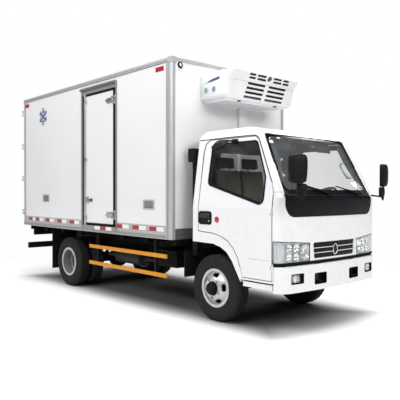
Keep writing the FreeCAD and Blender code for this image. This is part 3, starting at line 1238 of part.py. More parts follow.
def kerb_mirror():
    """Round down-view mirror over the kerb-side door's window, on a bracket on the door's upper frame."""
    centre = Vector(value(ahead(205)), -962, 2016)
    back = Vector(0, -0.56, 0.83)
    back.normalize()
    dish = Part.makeCylinder(100, 20, centre, back)
    dome = Part.makeCone(100, 44, 30, centre + back * 20, back)
    foot = Part.makeBox(54, 62, 58, Vector(value(ahead(300)), -874, 2030))
    arm = tube_through([centre + back * 30, Vector(value(ahead(290)), -930, 2068),
                        Vector(value(ahead(325)), -850, 2066)], 11)
    fixing = arm.fuse(foot).cut(cab_solid(-value("seat_clearance")))
    keep("kerb_mirror", feature("kerb_mirror_all", dish.fuse([dome, fixing])))


def air_intake():
    """Raised intake behind the cab's right side, on its own duct down to the frame."""
    x_low = value(ahead(-460))
    head = Part.makeBox(110, 175, 165, Vector(x_low, -865, 1865))
    duct = Part.makeBox(80, 110, 1865 - 740, Vector(x_low + 12, -800, 740))
    bend = Part.makeBox(80, 800 - value(RAIL_IN), 90, Vector(x_low + 12, -800, value("frame_top")))
    keep("air_intake", feature("air_intake_all", head.fuse([duct, bend])))


# ---------------------------------------------------------------- build
chassis_frame()
body_bearers()
front_axle()
rear_axle()
leaf_springs()
power_unit()
drive_shaft()
exhaust()
fuel_tank()
battery_box()
side_guards()
underride_bar()
mud_flaps()
tail_lamps()
box_panels()
box_right_wall()
side_door()
box_rear_frame()
refrigeration_unit()
cab_parts()
dashboard()
steering_wheel()
seats()
front_bumper()
mirrors()
kerb_mirror()
air_intake()
for side_name, side_sign in SIDES:
    front_wheel(side_name, side_sign)
    rear_wheels(side_name, side_sign)
    knuckle(side_name, side_sign)
    rear_door(side_name, side_sign)

doc.recompute()
for thing in doc.Objects:
    if "Invalid" in thing.State or "Error" in thing.State:
        raise RuntimeError(f"{thing.Name} ({thing.Label}) failed: {thing.State}")
for label, thing in pieces.items():
    if thing.Shape.isNull() or not thing.Shape.isValid():
        raise RuntimeError(f"{label} has no valid shape")
    if not thing.Shape.Solids:
        raise RuntimeError(f"{label} has no solid")

os.makedirs("parts", exist_ok=True)
for label, thing in pieces.items():
    thing.Shape.exportStep(f"parts/{label}.step")
print(len(pieces), "sub-parts written")
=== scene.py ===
"""Looks for a refrigerated box truck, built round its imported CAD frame."""
import json
import math
from itertools import product

import bmesh
import bpy
from mathutils import Matrix, Vector
from mathutils.bvhtree import BVHTree

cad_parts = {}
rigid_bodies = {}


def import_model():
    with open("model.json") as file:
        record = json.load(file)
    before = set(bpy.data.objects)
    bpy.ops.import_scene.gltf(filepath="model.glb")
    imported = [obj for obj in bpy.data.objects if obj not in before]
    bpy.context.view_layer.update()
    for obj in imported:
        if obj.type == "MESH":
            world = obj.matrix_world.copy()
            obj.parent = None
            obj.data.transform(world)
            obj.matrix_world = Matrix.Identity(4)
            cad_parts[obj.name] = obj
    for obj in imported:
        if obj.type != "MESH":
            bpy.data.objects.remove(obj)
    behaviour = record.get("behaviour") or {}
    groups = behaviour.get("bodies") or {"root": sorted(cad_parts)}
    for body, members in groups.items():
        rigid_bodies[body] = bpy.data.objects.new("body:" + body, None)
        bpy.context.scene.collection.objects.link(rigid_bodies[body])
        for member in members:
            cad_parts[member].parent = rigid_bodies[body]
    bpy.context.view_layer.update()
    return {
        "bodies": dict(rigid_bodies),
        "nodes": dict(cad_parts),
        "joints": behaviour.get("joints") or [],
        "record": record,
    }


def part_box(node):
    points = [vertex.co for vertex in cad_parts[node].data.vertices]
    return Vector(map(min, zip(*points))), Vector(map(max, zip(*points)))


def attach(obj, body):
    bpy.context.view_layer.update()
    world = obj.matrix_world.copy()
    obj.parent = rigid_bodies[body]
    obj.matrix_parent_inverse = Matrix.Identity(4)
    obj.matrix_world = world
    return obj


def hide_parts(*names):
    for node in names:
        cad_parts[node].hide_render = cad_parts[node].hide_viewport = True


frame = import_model()
NODES = frame["nodes"]
scene = bpy.context.scene

RIGHT, LEFT = -1, 1
SIDES = (("right", RIGHT), ("left", LEFT))


def middle_of(node):
    """The middle of a CAD node, in metres."""
    low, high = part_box(node)
    return (low + high) / 2


# Every length below is in mm; x counts ahead of the front axle, y to the left, z above the ground.
AXLE = middle_of("front_tyre_right").x
REAR_AXLE = (middle_of("rear_tyres_right").x - AXLE) * 1000
# the height of the wheels' middles
HUB = 389


def place(p):
    """A place in metres in the row frame."""
    return Vector((AXLE + p[0] / 1000, p[1] / 1000, p[2] / 1000))


def upright(angle):
    """The direction at an angle in the truck's side view, from ahead towards the top."""
    return Vector((math.cos(angle), 0, math.sin(angle)))


def node_box(node):
    """A CAD node's corners in mm ahead of the front axle."""
    low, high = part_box(node)
    return [Vector(((v.x - AXLE) * 1000, v.y * 1000, v.z * 1000)) for v in (low, high)]


# ---------------------------------------------------------------- materials
MATERIALS = {}
DUST_COLOUR = (0.30, 0.27, 0.23, 1)
HAZE_COLOUR = (0.86, 0.90, 0.95, 1)


class Tree:
    """A node tree begun afresh, with short calls that add nodes and join them."""

    def __init__(self, owner):
        owner.use_nodes = True
        self.tree = owner.node_tree
        self.tree.nodes.clear()

    def set(self, node, *plugs, **settings):
        """Capitals name a node's inputs and lower case its own settings; plugs fill its inputs in order."""
        for key, value in list(settings.items()) + list(enumerate(plugs)):
            if isinstance(key, str) and key[0].islower():
                setattr(node, key, value)
                continue
            socket = node.inputs[key.replace("_", " ") if isinstance(key, str) else key]
            if isinstance(value, bpy.types.Node):
                value = value.outputs[0]
            if isinstance(value, bpy.types.NodeSocket):
                self.tree.links.new(value, socket)
            else:
                socket.default_value = value
        return node

    def add(self, kind, *plugs, **settings):
        return self.set(self.tree.nodes.new("ShaderNode" + kind), *plugs, **settings)

    def ramp(self, value, low, high, start=0.0, end=1.0):
        """A drift from one colour to another."""
        tone = self.add("ValToRGB", value)
        for element, colour, position in zip(tone.color_ramp.elements, (low, high), (start, end)):
            element.position = position
            element.color = (*colour, 1)
        return tone


def material(name, colour, other=None, scale=6.0, rough=(0.35, 0.5), metal=0.0, bump=0.0, bump_scale=300.0,
             stretch=(1, 1, 1), coat=0.0, dust=0.0, glow=0.0, sheen=0.0, spec=0.5, pattern="voronoi",
             pattern_scale=100.0, pattern_bump=0.0):
    """A surface whose colour drifts between two tones, with uneven gloss, a fine grain and dust low down."""
    mat = bpy.data.materials.new(name)
    tree = Tree(mat)
    out = tree.add("OutputMaterial")
    skin = tree.add("BsdfPrincipled", Metallic=metal, Specular_IOR_Level=spec)
    tree.set(out, Surface=skin)
    where = tree.add("TexCoord").outputs["Object"]
    stretched = tree.add("Mapping", Vector=where, Scale=stretch)
    drift = tree.add("TexNoise", Vector=stretched, Scale=scale, Detail=6)
    shade = tree.ramp(drift, other or [c * 0.9 for c in colour], colour, 0.3, 0.7).outputs[0]
    if dust:
        height = tree.add("SeparateXYZ", where).outputs["Z"]
        low = tree.add("MapRange", Value=height, From_Min=1.0, From_Max=0.15, To_Max=dust)
        cloud = tree.add("TexNoise", Vector=where, Scale=14, Detail=8)
        much = tree.add("Math", low, cloud, operation="MULTIPLY")
        shade = tree.add("Mix", data_type="RGBA", Factor=much, A=shade, B=DUST_COLOUR).outputs["Result"]
    gloss = tree.add("TexNoise", Vector=stretched, Scale=scale * 5, Detail=5)
    spread = tree.add("MapRange", Value=gloss, From_Min=0.3, From_Max=0.7, To_Min=rough[0], To_Max=rough[1])
    tree.set(skin, Base_Color=shade, Roughness=spread)
    relief = None
    if pattern_bump:
        if pattern == "voronoi":
            height = tree.add("TexVoronoi", Vector=where, Scale=pattern_scale)
        else:
            bands = tree.add("TexWave", bands_direction=pattern, Vector=where, Scale=pattern_scale,
                             Distortion=0.4)
            height = bands.outputs["Fac"]
        relief = tree.add("Bump", Height=height, Strength=pattern_bump, Distance=0.002)
    if bump:
        grain = tree.add("TexNoise", Vector=where, Scale=bump_scale, Detail=4)
        below = {"Normal": relief} if relief else {}
        relief = tree.add("Bump", Height=grain, Strength=bump, Distance=0.001, **below)
    if relief:
        tree.set(skin, Normal=relief)
    if coat:
        tree.set(skin, Coat_Weight=coat, Coat_Roughness=0.06)
    if sheen:
        tree.set(skin, Sheen_Weight=sheen, Sheen_Roughness=0.5)
    # glow is painted light: an emission in the surface's own colour
    if glow:
        tree.set(skin, Emission_Color=shade, Emission_Strength=glow)
    MATERIALS[name] = mat


def pane(name, tint, mirror, rough=0.02, ripple=0.0, haze=0.0):
    """Thin glass or clear plastic: what is behind it shows through a tint, under a mirror-like sheen."""
    mat = bpy.data.materials.new(name)
    tree = Tree(mat)
    out = tree.add("OutputMaterial")
    blend = tree.add("MixShader")
    clear = tree.add("BsdfTransparent")
    shine = tree.add("BsdfGlossy", Roughness=rough)
    angle = tree.add("LayerWeight", Blend=0.5)
    steep = tree.add("Math", angle.outputs["Facing"], 4.0, operation="POWER")
    facing = tree.add("MapRange", Value=steep, To_Min=mirror, To_Max=0.7)
    where = tree.add("TexCoord").outputs["Object"]
    film = tree.add("TexNoise", Vector=where, Scale=3, Detail=5)
    tree.set(clear, tree.ramp(film, [t * 0.96 for t in tint], tint))
    if ripple:
        bands = tree.add("TexWave", bands_direction="Y", Vector=where, Scale=22)
        lift = tree.add("Bump", Height=bands.outputs["Fac"], Strength=ripple, Distance=0.002)
        tree.set(shine, Normal=lift)
    seen = clear
    if haze:
        film_dust = tree.add("BsdfDiffuse", HAZE_COLOUR)
        patchy = tree.add("Math", film, haze, operation="MULTIPLY")
        seen = tree.add("MixShader", patchy, clear, film_dust)
    tree.set(blend, facing, seen, shine)
    tree.set(out, Surface=blend)
    MATERIALS[name] = mat


material("cab_paint", (0.84, 0.845, 0.855), (0.836, 0.841, 0.851), 0.8, (0.27, 0.28), coat=0.3, dust=0.02)
material("box_panel", (0.81, 0.81, 0.82), (0.79, 0.79, 0.80), 1.2, (0.3, 0.42), bump=0.02, bump_scale=60,
         coat=0.25, dust=0.05)
material("box_inner", (0.78, 0.79, 0.80), (0.74, 0.75, 0.76), 3, (0.4, 0.55), bump=0.05, bump_scale=90)
material("unit_shell", (0.80, 0.80, 0.81), (0.77, 0.77, 0.78), 4, (0.3, 0.42), bump=0.03, bump_scale=150,
         coat=0.2)
material("alloy", (0.52, 0.525, 0.53), (0.43, 0.435, 0.44), 30, (0.36, 0.5), metal=0.3, stretch=(0.6, 5, 5),
         bump=0.04, bump_scale=400, dust=0.15)
material("alloy_mid", (0.34, 0.335, 0.33), (0.26, 0.257, 0.25), 30, (0.36, 0.5), metal=0.3,
         stretch=(0.6, 5, 5), bump=0.05, bump_scale=400, dust=0.1)
material("alloy_dark", (0.17, 0.168, 0.165), (0.12, 0.118, 0.115), 30, (0.38, 0.52), metal=0.3,
         stretch=(0.6, 5, 5), bump=0.05, bump_scale=400)
material("alloy_floor", (0.50, 0.51, 0.52), (0.38, 0.39, 0.40), 12, (0.35, 0.55), metal=0.7,
         stretch=(0.4, 4, 4), bump=0.08, bump_scale=200)
material("stainless", (0.62, 0.62, 0.61), (0.50, 0.50, 0.49), 40, (0.18, 0.32), metal=0.9,
         stretch=(4, 4, 0.6), bump=0.03, bump_scale=500)
material("chrome", (0.78, 0.79, 0.80), (0.70, 0.71, 0.72), 10, (0.06, 0.14), metal=1.0)
material("reflector", (0.90, 0.90, 0.89), (0.82, 0.82, 0.81), 10, (0.10, 0.2), metal=0.45,
         pattern_scale=45, pattern_bump=0.6)
material("lamp_bright", (0.92, 0.92, 0.90), (0.84, 0.84, 0.82), 20, (0.10, 0.2), metal=0.5, coat=0.4)
material("lamp_bowl", (0.97, 0.97, 0.95), (0.92, 0.92, 0.90), 20, (0.08, 0.16), metal=0.85)
# painted light: the unit's underside glows faintly in its own colour
material("unit_under_painted_glow", (0.80, 0.80, 0.81), (0.77, 0.77, 0.78), 4, (0.35, 0.45), glow=0.22)
# painted shade: near-black for the recessed discs of the rear rims, with dust
material("rim_disc_painted_shade", (0.05, 0.05, 0.05), (0.03, 0.03, 0.03), 8, (0.35, 0.5), metal=0.4, bump=0.05,
         bump_scale=220, dust=0.2)
material("chassis", (0.008, 0.008, 0.009), (0.014, 0.013, 0.012), 9, (0.45, 0.7), bump=0.12,
         bump_scale=180, dust=0.02, spec=0.06)
material("engine_grey", (0.022, 0.023, 0.024), (0.038, 0.037, 0.035), 14, (0.4, 0.7), metal=0.2, bump=0.25,
         bump_scale=120, dust=0.12, spec=0.25)
material("guard_orange", (0.74, 0.31, 0.016), (0.66, 0.26, 0.012), 6, (0.35, 0.5), bump=0.04,
         bump_scale=250, dust=0.1, spec=0.3)
material("rubber", (0.008, 0.008, 0.009), (0.013, 0.013, 0.013), 20, (0.55, 0.75), bump=0.15,
         bump_scale=350, spec=0.06)
material("gloss_black", (0.004, 0.0045, 0.006), (0.006, 0.007, 0.008), 5, (0.16, 0.26), coat=0.04,
         spec=0.14)
material("grain_black", (0.006, 0.006, 0.0065), (0.010, 0.010, 0.011), 20, (0.42, 0.6), bump=0.3,
         bump_scale=700, spec=0.1)
material("tyre", (0.011, 0.011, 0.011), (0.018, 0.0175, 0.017), 12, (0.62, 0.82), bump=0.12, bump_scale=260,
         dust=0.03, spec=0.2)
material("wheel_paint", (0.60, 0.61, 0.62), (0.50, 0.505, 0.51), 8, (0.28, 0.42), metal=0.45, bump=0.03,
         bump_scale=220, dust=0.3)
material("nut_steel", (0.42, 0.42, 0.41), (0.26, 0.25, 0.24), 60, (0.3, 0.5), metal=0.9, bump=0.1,
         bump_scale=400)
# the red and amber lenses glow faintly: painted light
material("lens_red", (0.50, 0.012, 0.016), (0.36, 0.008, 0.012), 12, (0.1, 0.2), coat=0.7, pattern="Y",
         pattern_scale=40, pattern_bump=0.5, glow=0.12)
material("lens_amber", (0.75, 0.24, 0.015), (0.62, 0.17, 0.01), 12, (0.1, 0.2), coat=0.7, pattern="Y",
         pattern_scale=40, pattern_bump=0.5, glow=0.12)
material("tape_red", (0.42, 0.008, 0.015), (0.35, 0.006, 0.012), 30, (0.3, 0.42), coat=0.15,
         pattern_scale=120, pattern_bump=0.15, dust=0.1)
material("tape_white", (0.88, 0.88, 0.86), (0.80, 0.80, 0.79), 30, (0.22, 0.35), coat=0.5,
         pattern_scale=120, pattern_bump=0.4, dust=0.1)
material("mark_blue", (0.020, 0.040, 0.17), (0.030, 0.060, 0.22), 18, (0.3, 0.42), coat=0.3)
material("mark_sky", (0.10, 0.30, 0.52), (0.07, 0.24, 0.44), 18, (0.3, 0.42), coat=0.3)
material("mark_green", (0.20, 0.42, 0.26), (0.15, 0.34, 0.20), 18, (0.3, 0.42), coat=0.3)
material("sticker", (0.80, 0.82, 0.82), (0.70, 0.76, 0.76), 40, (0.4, 0.5))
material("dash_grey", (0.055, 0.056, 0.060), (0.075, 0.076, 0.080), 15, (0.5, 0.68), bump=0.35,
         bump_scale=800, spec=0.25)
material("trim_beige", (0.24, 0.23, 0.21), (0.19, 0.18, 0.165), 10, (0.6, 0.8), bump=0.25, bump_scale=500)
material("headliner", (0.30, 0.30, 0.30), (0.24, 0.24, 0.24), 10, (0.75, 0.9), bump=0.3, bump_scale=600,
         sheen=0.3)
material("seat_cloth", (0.085, 0.074, 0.062), (0.13, 0.115, 0.095), 30, (0.8, 0.95), bump=0.5,
         bump_scale=900, sheen=0.4, pattern="Z", pattern_scale=60, pattern_bump=0.5)
material("seat_side", (0.035, 0.034, 0.034), (0.05, 0.049, 0.048), 25, (0.55, 0.75), bump=0.35,
         bump_scale=900)
material("screen_dark", (0.006, 0.008, 0.010), (0.010, 0.012, 0.014), 10, (0.08, 0.16), coat=0.6)
# the dial marks glow faintly: painted light
material("dial_face", (0.35, 0.36, 0.37), (0.22, 0.23, 0.24), 120, (0.3, 0.4), glow=0.05)
pane("glass_clear", (0.99, 0.994, 0.995), 0.05, haze=0.06)
pane("glass_side", (0.978, 0.982, 0.975), 0.04)
pane("lens_clear", (0.96, 0.97, 0.98), 0.06, 0.03, 0.25)


# ---------------------------------------------------------------- shapes
def round_section(radius, sides=10):
    """A round bar's section, as (across, out) pairs."""
    return [(radius * math.cos(math.tau * i / sides),
             radius * math.sin(math.tau * i / sides)) for i in range(sides)]


def flat_section(wide, low, high, chamfer=0.0):
    """A flat strip's section between two heights off the surface, its top edges taken off."""
    w = wide / 2
    c = min(chamfer, (high - low) * 0.9)
    if not c:
        return [(-w, low), (w, low), (w, high), (-w, high)]
    return [(-w, low), (w, low), (w, high - c), (w - c, high), (-w + c, high), (-w, high - c)]


def rounded(corners, radius, steps=5):
    """A flat polygon's corners, as 3-D points, with each turned into an arc."""
    points = []
    count = len(corners)
    radii = radius if isinstance(radius, (list, tuple)) else [radius] * count
    for i, corner in enumerate(corners):
        corner = Vector(corner)
        back = Vector(corners[i - 1]) - corner
        on = Vector(corners[(i + 1) % count]) - corner
        half = back.angle(on) / 2
        reach = min(radii[i] / math.tan(half), back.length * 0.49, on.length * 0.49)
        bend = reach * math.tan(half)
        start = corner + back.normalized() * reach
        end = corner + on.normalized() * reach
        hub = corner + (back.normalized() + on.normalized()).normalized() * (bend / math.sin(half))
        a = start - hub
        b = end - hub
        turn = a.angle(b) if a.length and b.length else 0
        axis = a.cross(b).normalized() if a.cross(b).length else Vector((0, 0, 1))
        for k in range(steps + 1):
            points.append(hub + Matrix.Rotation(turn * k / steps, 3, axis) @ a)
    return points


def moved(points, *by):
    """Every point shifted by as many distances as it has coordinates."""
    return [tuple(a + b for a, b in zip(p, by)) for p in points]


def mirrored(right):
    """A section from its right half: bottom first, then up the right, over the top and down the left."""
    return [(-right[0][0], right[0][1])] + right + [(-across, out) for across, out in right[:0:-1]]


def facing_x(x, y, z):
    """The corners of an upright rectangle across the truck, from its pairs of limits."""
    return [(x, y[0], z[0]), (x, y[1], z[0]), (x, y[1], z[1]), (x, y[0], z[1])]


def facing_y(y, x, z):
    """The corners of an upright rectangle along the truck."""
    return [(x[0], y, z[0]), (x[1], y, z[0]), (x[1], y, z[1]), (x[0], y, z[1])]


def facing_z(z, x, y):
    """The corners of a level rectangle."""
    return [(x[0], y[0], z), (x[1], y[0], z), (x[1], y[1], z), (x[0], y[1], z)]


def quads(rings, n, wrap=True, slit=False):
    """Faces between rings of n points; wrap joins the last ring to the first, a slit leaves rings open."""
    faces = []
    for a in range(rings if wrap else rings - 1):
        b = (a + 1) % rings
        faces += [(a * n + i, a * n + (i + 1) % n, b * n + (i + 1) % n, b * n + i) for i in range(n - slit)]
    return faces


def lids(rings, n):
    """The two end faces of a run of rings."""
    return [list(range(n))[::-1], list(range((rings - 1) * n, rings * n))]


# a profile that starts at this radius is closed along its axis
ON_AXIS = 0.1


class Shape:
    """Gathers closed solids, in truck mm, and makes one piece of them."""

    def __init__(self):
        self.verts = []
        self.faces = []

    def add(self, verts, faces):
        start = len(self.verts)
        self.verts += [Vector(v) for v in verts]
        self.faces += [[start + i for i in f] for f in faces]
        return self

    def box(self, x, y, z):
        """A block between pairs of limits."""
        faces = [(0, 1, 3, 2), (4, 6, 7, 5), (0, 4, 5, 1), (2, 3, 7, 6), (0, 2, 6, 4), (1, 5, 7, 3)]
        return self.add(product(sorted(x), sorted(y), sorted(z)), faces)

    def tube(self, rings):
        """Rings of points joined each to the next and the last to the first."""
        return self.add([p for ring in rings for p in ring], quads(len(rings), len(rings[0])))

    def loft(self, rings):
        """Rings of points joined each to the next, with a face over each end."""
        n = len(rings[0])
        faces = quads(len(rings), n, wrap=False) + lids(len(rings), n)
        return self.add([p for ring in rings for p in ring], faces)

    def prism(self, outline, along):
        """A flat outline pushed along a vector."""
        outline = [Vector(p) for p in outline]
        n = len(outline)
        return self.add(outline + [p + Vector(along) for p in outline],
                        lids(2, n) + quads(2, n, wrap=False))

    def frame_prism(self, outer, inner, along):
        """A flat frame between two outlines with as many points, pushed along a vector."""
        outer, inner = [[Vector(p) for p in outline] for outline in (outer, inner)]
        far = [[p + Vector(along) for p in outline] for outline in (inner, outer)]
        return self.tube([outer, inner] + far)

    def rod(self, start, end, radius, sides=20, end_radius=None):
        """A round bar, or a tapered one."""
        start, end = Vector(start), Vector(end)
        along = (end - start).normalized()
        side = along.orthogonal().normalized()
        other = along.cross(side)
        verts = []
        for centre, r in ((start, radius), (end, radius if end_radius is None else end_radius)):
            verts += [centre + (side * math.cos(a) + other * math.sin(a)) * r
                      for a in (math.tau * i / sides for i in range(sides))]
        return self.add(verts, lids(2, sides) + quads(2, sides, wrap=False))

    def lathe(self, profile, centre, axis, sides=48, closed=None):
        """A section of (along, radius) pairs turned about an axis; its ends meet each other or the axis."""
        if closed is None:
            closed = profile[0][1] > ON_AXIS
        axis = Vector(axis).normalized()
        side = axis.orthogonal().normalized()
        other = axis.cross(side)
        centre = Vector(centre)
        n = len(profile)
        verts = []
        for i in range(sides):
            a = math.tau * i / sides
            out = side * math.cos(a) + other * math.sin(a)
            verts += [centre + axis * along + out * r for along, r in profile]
        faces = quads(sides, n, slit=not closed)
        if not closed:
            faces += [[i * n for i in range(sides)], [i * n + n - 1 for i in range(sides)][::-1]]
        return self.add(verts, faces)

    def sweep(self, path, section, out, closed=False):
        """A section of (across, out) pairs carried along a path; out is one direction or one a point."""
        path = [Vector(p) for p in path]
        count = len(path)
        rings = []
        outs = out if isinstance(out, list) else [Vector(out)] * count
        for i, point in enumerate(path):
            before = path[i - 1] if closed or i else path[0]
            after = path[(i + 1) % count] if closed or i + 1 < count else path[-1]
            here = (after - before).normalized()
            up = (outs[i] - here * outs[i].dot(here)).normalized()
            across = here.cross(up)
            # a mitre keeps the strip's width through a corner
            stretch = 1.0
            if (closed or 0 < i < count - 1) and (point - before).length and (after - point).length:
                stretch = 1 / max(0.5, (point - before).normalized().dot(here))
            rings.append([point + across * (u * stretch) + up * v for u, v in section])
        return self.tube(rings) if closed else self.loft(rings)

    def sheet(self, rows, thick):
        """A closed plate over a grid of points; thick is one vector or one for each point."""
        high, wide = len(rows), len(rows[0])
        front = [Vector(p) for row in rows for p in row]
        if isinstance(thick, list):
            back = [p + t for p, t in zip(front, [t for row in thick for t in row])]
        else:
            back = [p + Vector(thick) for p in front]
        size = high * wide
        faces = []
        for r in range(high - 1):
            for c in range(wide - 1):
                a, b, d, e = r * wide + c, r * wide + c + 1, (r + 1) * wide + c + 1, (r + 1) * wide + c
                faces += [(a, b, d, e), (size + a, size + e, size + d, size + b)]
        rim = [c for c in range(wide)] + [r * wide + wide - 1 for r in range(1, high)]
        rim += [(high - 1) * wide + c for c in range(wide - 2, -1,
                                                     -1)] + [r * wide for r in range(high - 2, 0, -1)]
        for i, a in enumerate(rim):
            b = rim[(i + 1) % len(rim)]
            faces.append((b, a, size + a, size + b))
        return self.add(front + back, faces)

    def bolt(self, at, normal, radius=9, tall=7, sides=6):
        """A hexagon head on its washer."""
        at, normal = Vector(at), Vector(normal).normalized()
        self.rod(at - normal, at + normal * 1.8, radius * 1.45, 16)
        return self.rod(at + normal * 1.5, at + normal * tall, radius, sides, radius * 0.94)

    def bolts(self, xs, ys, zs, normal, radius=9, tall=7):
        """A bolt wherever the given distances cross."""
        for at in product(xs, ys, zs):
            self.bolt(at, normal, radius, tall)

    def rivet(self, at, normal, radius=4.5, tall=2.2):
        """A low domed head."""
        at, normal = Vector(at), Vector(normal).normalized()
        profile = [(-0.5, radius), (0, radius), (tall * 0.6, radius * 0.72), (tall, radius * 0.25)]
        return self.lathe(profile, at, normal, 8, closed=False)

    def make(self, name, mat, body="truck", slot=None, bevel=0.0, segments=2, smooth=38, replaces=()):
        """The piece as one Blender object riding on a CAD body."""
        mesh = bpy.data.meshes.new(name)
        mesh.from_pydata([place(v) for v in self.verts], [], self.faces)
        mesh.validate()
        tidy(mesh)
        mesh.materials.append(MATERIALS[mat])
        piece = bpy.data.objects.new(name, mesh)
        scene.collection.objects.link(piece)
        mesh.shade_smooth()
        mesh.set_sharp_from_angle(angle=math.radians(smooth))
        if bevel:
            soften(piece, bevel, segments)
        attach(piece, body)
        if replaces:
            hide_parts(*replaces)
        return piece


def tidy(mesh):
    """Faces turned outwards on every closed solid of a mesh."""
    work = bmesh.new()
    work.from_mesh(mesh)
    bmesh.ops.recalc_face_normals(work, faces=work.faces)
    work.to_mesh(mesh)
    work.free()


def soften(piece, width, segments=2, angle=35, weld=False):
    """Rounded edges."""
    if weld:
        join = piece.modifiers.new("weld", "WELD")
        join.merge_threshold = 0.00001
    edge = piece.modifiers.new("bevel", "BEVEL")
    edge.width = width / 1000
    edge.segments = segments
    edge.limit_method = "ANGLE"
    edge.angle_limit = math.radians(angle)
    edge.use_clamp_overlap = True
    if weld:
        even = piece.modifiers.new("even", "WEIGHTED_NORMAL")
        even.keep_sharp = True


# ---------------------------------------------------------------- the cab's skin, for pieces that lie on it
def tree_of(names):
    """The faces of CAD nodes, for finding where lines meet them."""
    verts, faces = [], []
    for name in names:
        start = len(verts)
        mesh = NODES[name].data
        verts += [v.co.copy() for v in mesh.vertices]
        faces += [[start + i for i in p.vertices] for p in mesh.polygons]
    return BVHTree.FromPolygons(verts, faces)


CAB = tree_of(["cab_shell", "cab_glass", "cab_door_right", "cab_door_left", "door_glass_right",
               "door_glass_left", "headlamps", "grille"])


def on_skin(origin, direction, lift=0.0, tree=None):
    """Where a line meets the outer skin, in truck mm, lifted off it, and the skin's normal there."""
    start = place(origin)
    hit, normal, _, _ = (tree or CAB).ray_cast(start, Vector(direction))
    if hit is None:
        return None, None
    if normal.dot(Vector(direction)) > 0:
        normal = -normal
    found = Vector(((hit.x - AXLE) * 1000, hit.y * 1000, hit.z * 1000))
    return found + normal * lift, normal


# a line that slips through the joint round a pane is tried again a little to each side
NUDGES = ((0, 0), (0, 5), (0, -5), (5, 0), (-5, 0), (0, 10), (0, -10), (10, 0), (-10, 0))


def skin_at(start, way, lift, good):
    """The cab's skin ahead of a point, if it passes a test."""
    for a, b in NUDGES:
        aside = (0, a, b) if way[0] else (a, 0, b)
        p, n = on_skin([s + d for s, d in zip(start, aside)], way, lift)
        if p is not None and good(p, n):
            return p - Vector(aside), n
    return None, None


def front_skin(y, z, lift=0.0):
    """The cab's front at a distance across and up."""
    return skin_at((2500, y, z), (-1, 0, 0), lift, lambda p, n: p.x > 560 and n.x > 0.45)


def side_skin(side, x, z, lift=0.0):
    """The cab's side at a distance along and up."""
    return skin_at((x, side * 1700, z), (0, -side, 0), lift,
                   lambda p, n: abs(p.y) > 780 and n.y * side > 0.7)


def back_skin(y, z, lift=0.0):
    """The cab's back at a distance across and up."""
    return skin_at((-1500, y, z), (1, 0, 0), lift, lambda p, n: p.x < -240 and n.x < -0.8)


def draped(points, finder):
    """Points found on the skin with their normals, leaving out misses."""
    found = [finder(*p) for p in points]
    found = [f for f in found if f[0] is not None]
    return [f[0] for f in found], [f[1] for f in found]


# ---------------------------------------------------------------- CAD pieces: their paint and softened edges
# each paint's nodes, with the rounding of their edges in mm
CARRIED = {
    "chassis": {"frame": 1.5, "body_bearers": 2, "front_axle": 2, "rear_axle": 2, "leaf_springs": 2,
                "drive_shaft": 1.5, "fuel_tank": 0, "battery_box": 4, "underride_bar": 4,
                "knuckle_right": 1.5, "knuckle_left": 1.5},
    "engine_grey": {"power_unit": 5, "exhaust": 3},
    "guard_orange": {"side_guards": 4},
    "rubber": {"mud_flaps": 1.5},
    "gloss_black": {"tail_lamps": 3, "grille": 1},
    "alloy_floor": {"box_floor": 0},
    "box_panel": {"box_roof": 4, "box_front_wall": 0, "box_left_wall": 0, "box_right_wall": 1.5,
                  "side_door": 2, "rear_door_right": 2, "rear_door_left": 2},
    "alloy": {"box_rear_frame": 2},
    "unit_shell": {"refrigeration_unit": 0},
    "cab_paint": {"cab_shell": 3, "front_bumper": 5, "cab_door_right": 3, "cab_door_left": 3},
    "glass_clear": {"cab_glass": 0},
    "glass_side": {"door_glass_right": 0, "door_glass_left": 0},
    "dash_grey": {"dashboard": 14},
    "grain_black": {"mirrors": 8, "air_intake": 12, "steering_wheel": 3, "kerb_mirror": 3},
    "wheel_paint": {"front_rim_right": 2, "front_rim_left": 2, "rear_rims_right": 2, "rear_rims_left": 2},
}
for mat_name, painted in CARRIED.items():
    for node, edge in painted.items():
        piece = NODES[node]
        piece.data.materials.clear()
        piece.data.materials.append(MATERIALS[mat_name])
        if edge:
            soften(piece, edge, 2, 40, weld=True)


# ---------------------------------------------------------------- insulated body: trims, marks and doors
WALL = 80
BOX_REAR = node_box("box_floor")[0].x - WALL
BOX_FRONT = node_box("box_floor")[1].x
BOX_HALF = node_box("box_roof")[1].y
BOX_LOW = node_box("box_floor")[0].z
BOX_TOP = node_box("box_roof")[1].z
DOOR_WIDE, DOOR_TALL = 785, 1848
DOOR_REAR = -2600
DOOR_FRONT = DOOR_REAR + DOOR_WIDE
DOOR_BASE = 1056
DOOR_TOP = DOOR_BASE + DOOR_TALL
# the side door's frame: its width, and how far it stands proud of the wall
FRAME_BAND = 82
FRAME_OUT = 13
FRAME_FACE = -(BOX_HALF + FRAME_OUT)
# the side door's locking bar stands up the leaf's rear edge; its lever is low on the leaf
BAR_X = DOOR_REAR + 55
BAR_Y = FRAME_FACE - 17
LEVER = DOOR_BASE + 330


def rail(shape, profile, side, x0, x1):
    """A lengthwise extrusion on the body's side; its profile is (out, height) pairs."""
    shape.prism([(x0, side * (BOX_HALF + out), z) for out, z in profile], (x1 - x0, 0, 0))


def post(shape, profile, z0, z1):
    """An upright extrusion; its profile is (x, y) pairs."""
    shape.prism([(x, y, z0) for x, y in profile], (0, 0, z1 - z0))


# the ribbed angle round a front corner, as distances ahead of the front wall and out from the side
FRONT_CORNER = [(-100, -0.5), (-100, 2), (-92, 5), (-74, 5), (-70, 2.4), (-44, 2.4), (-40, 6), (-6, 6),
                (3, 1), (6, -6), (6, -26), (2.4, -30), (2.4, -58), (-0.5, -60), (-0.5, -0.5)]


def cross_rail(shape, profile, base):
    """An extrusion across the front wall; its profile is (ahead, height above a base) pairs."""
    shape.prism([(BOX_FRONT + ahead, -BOX_HALF + 60, base + z) for ahead, z in profile],
                (0, 2 * BOX_HALF - 120, 0))


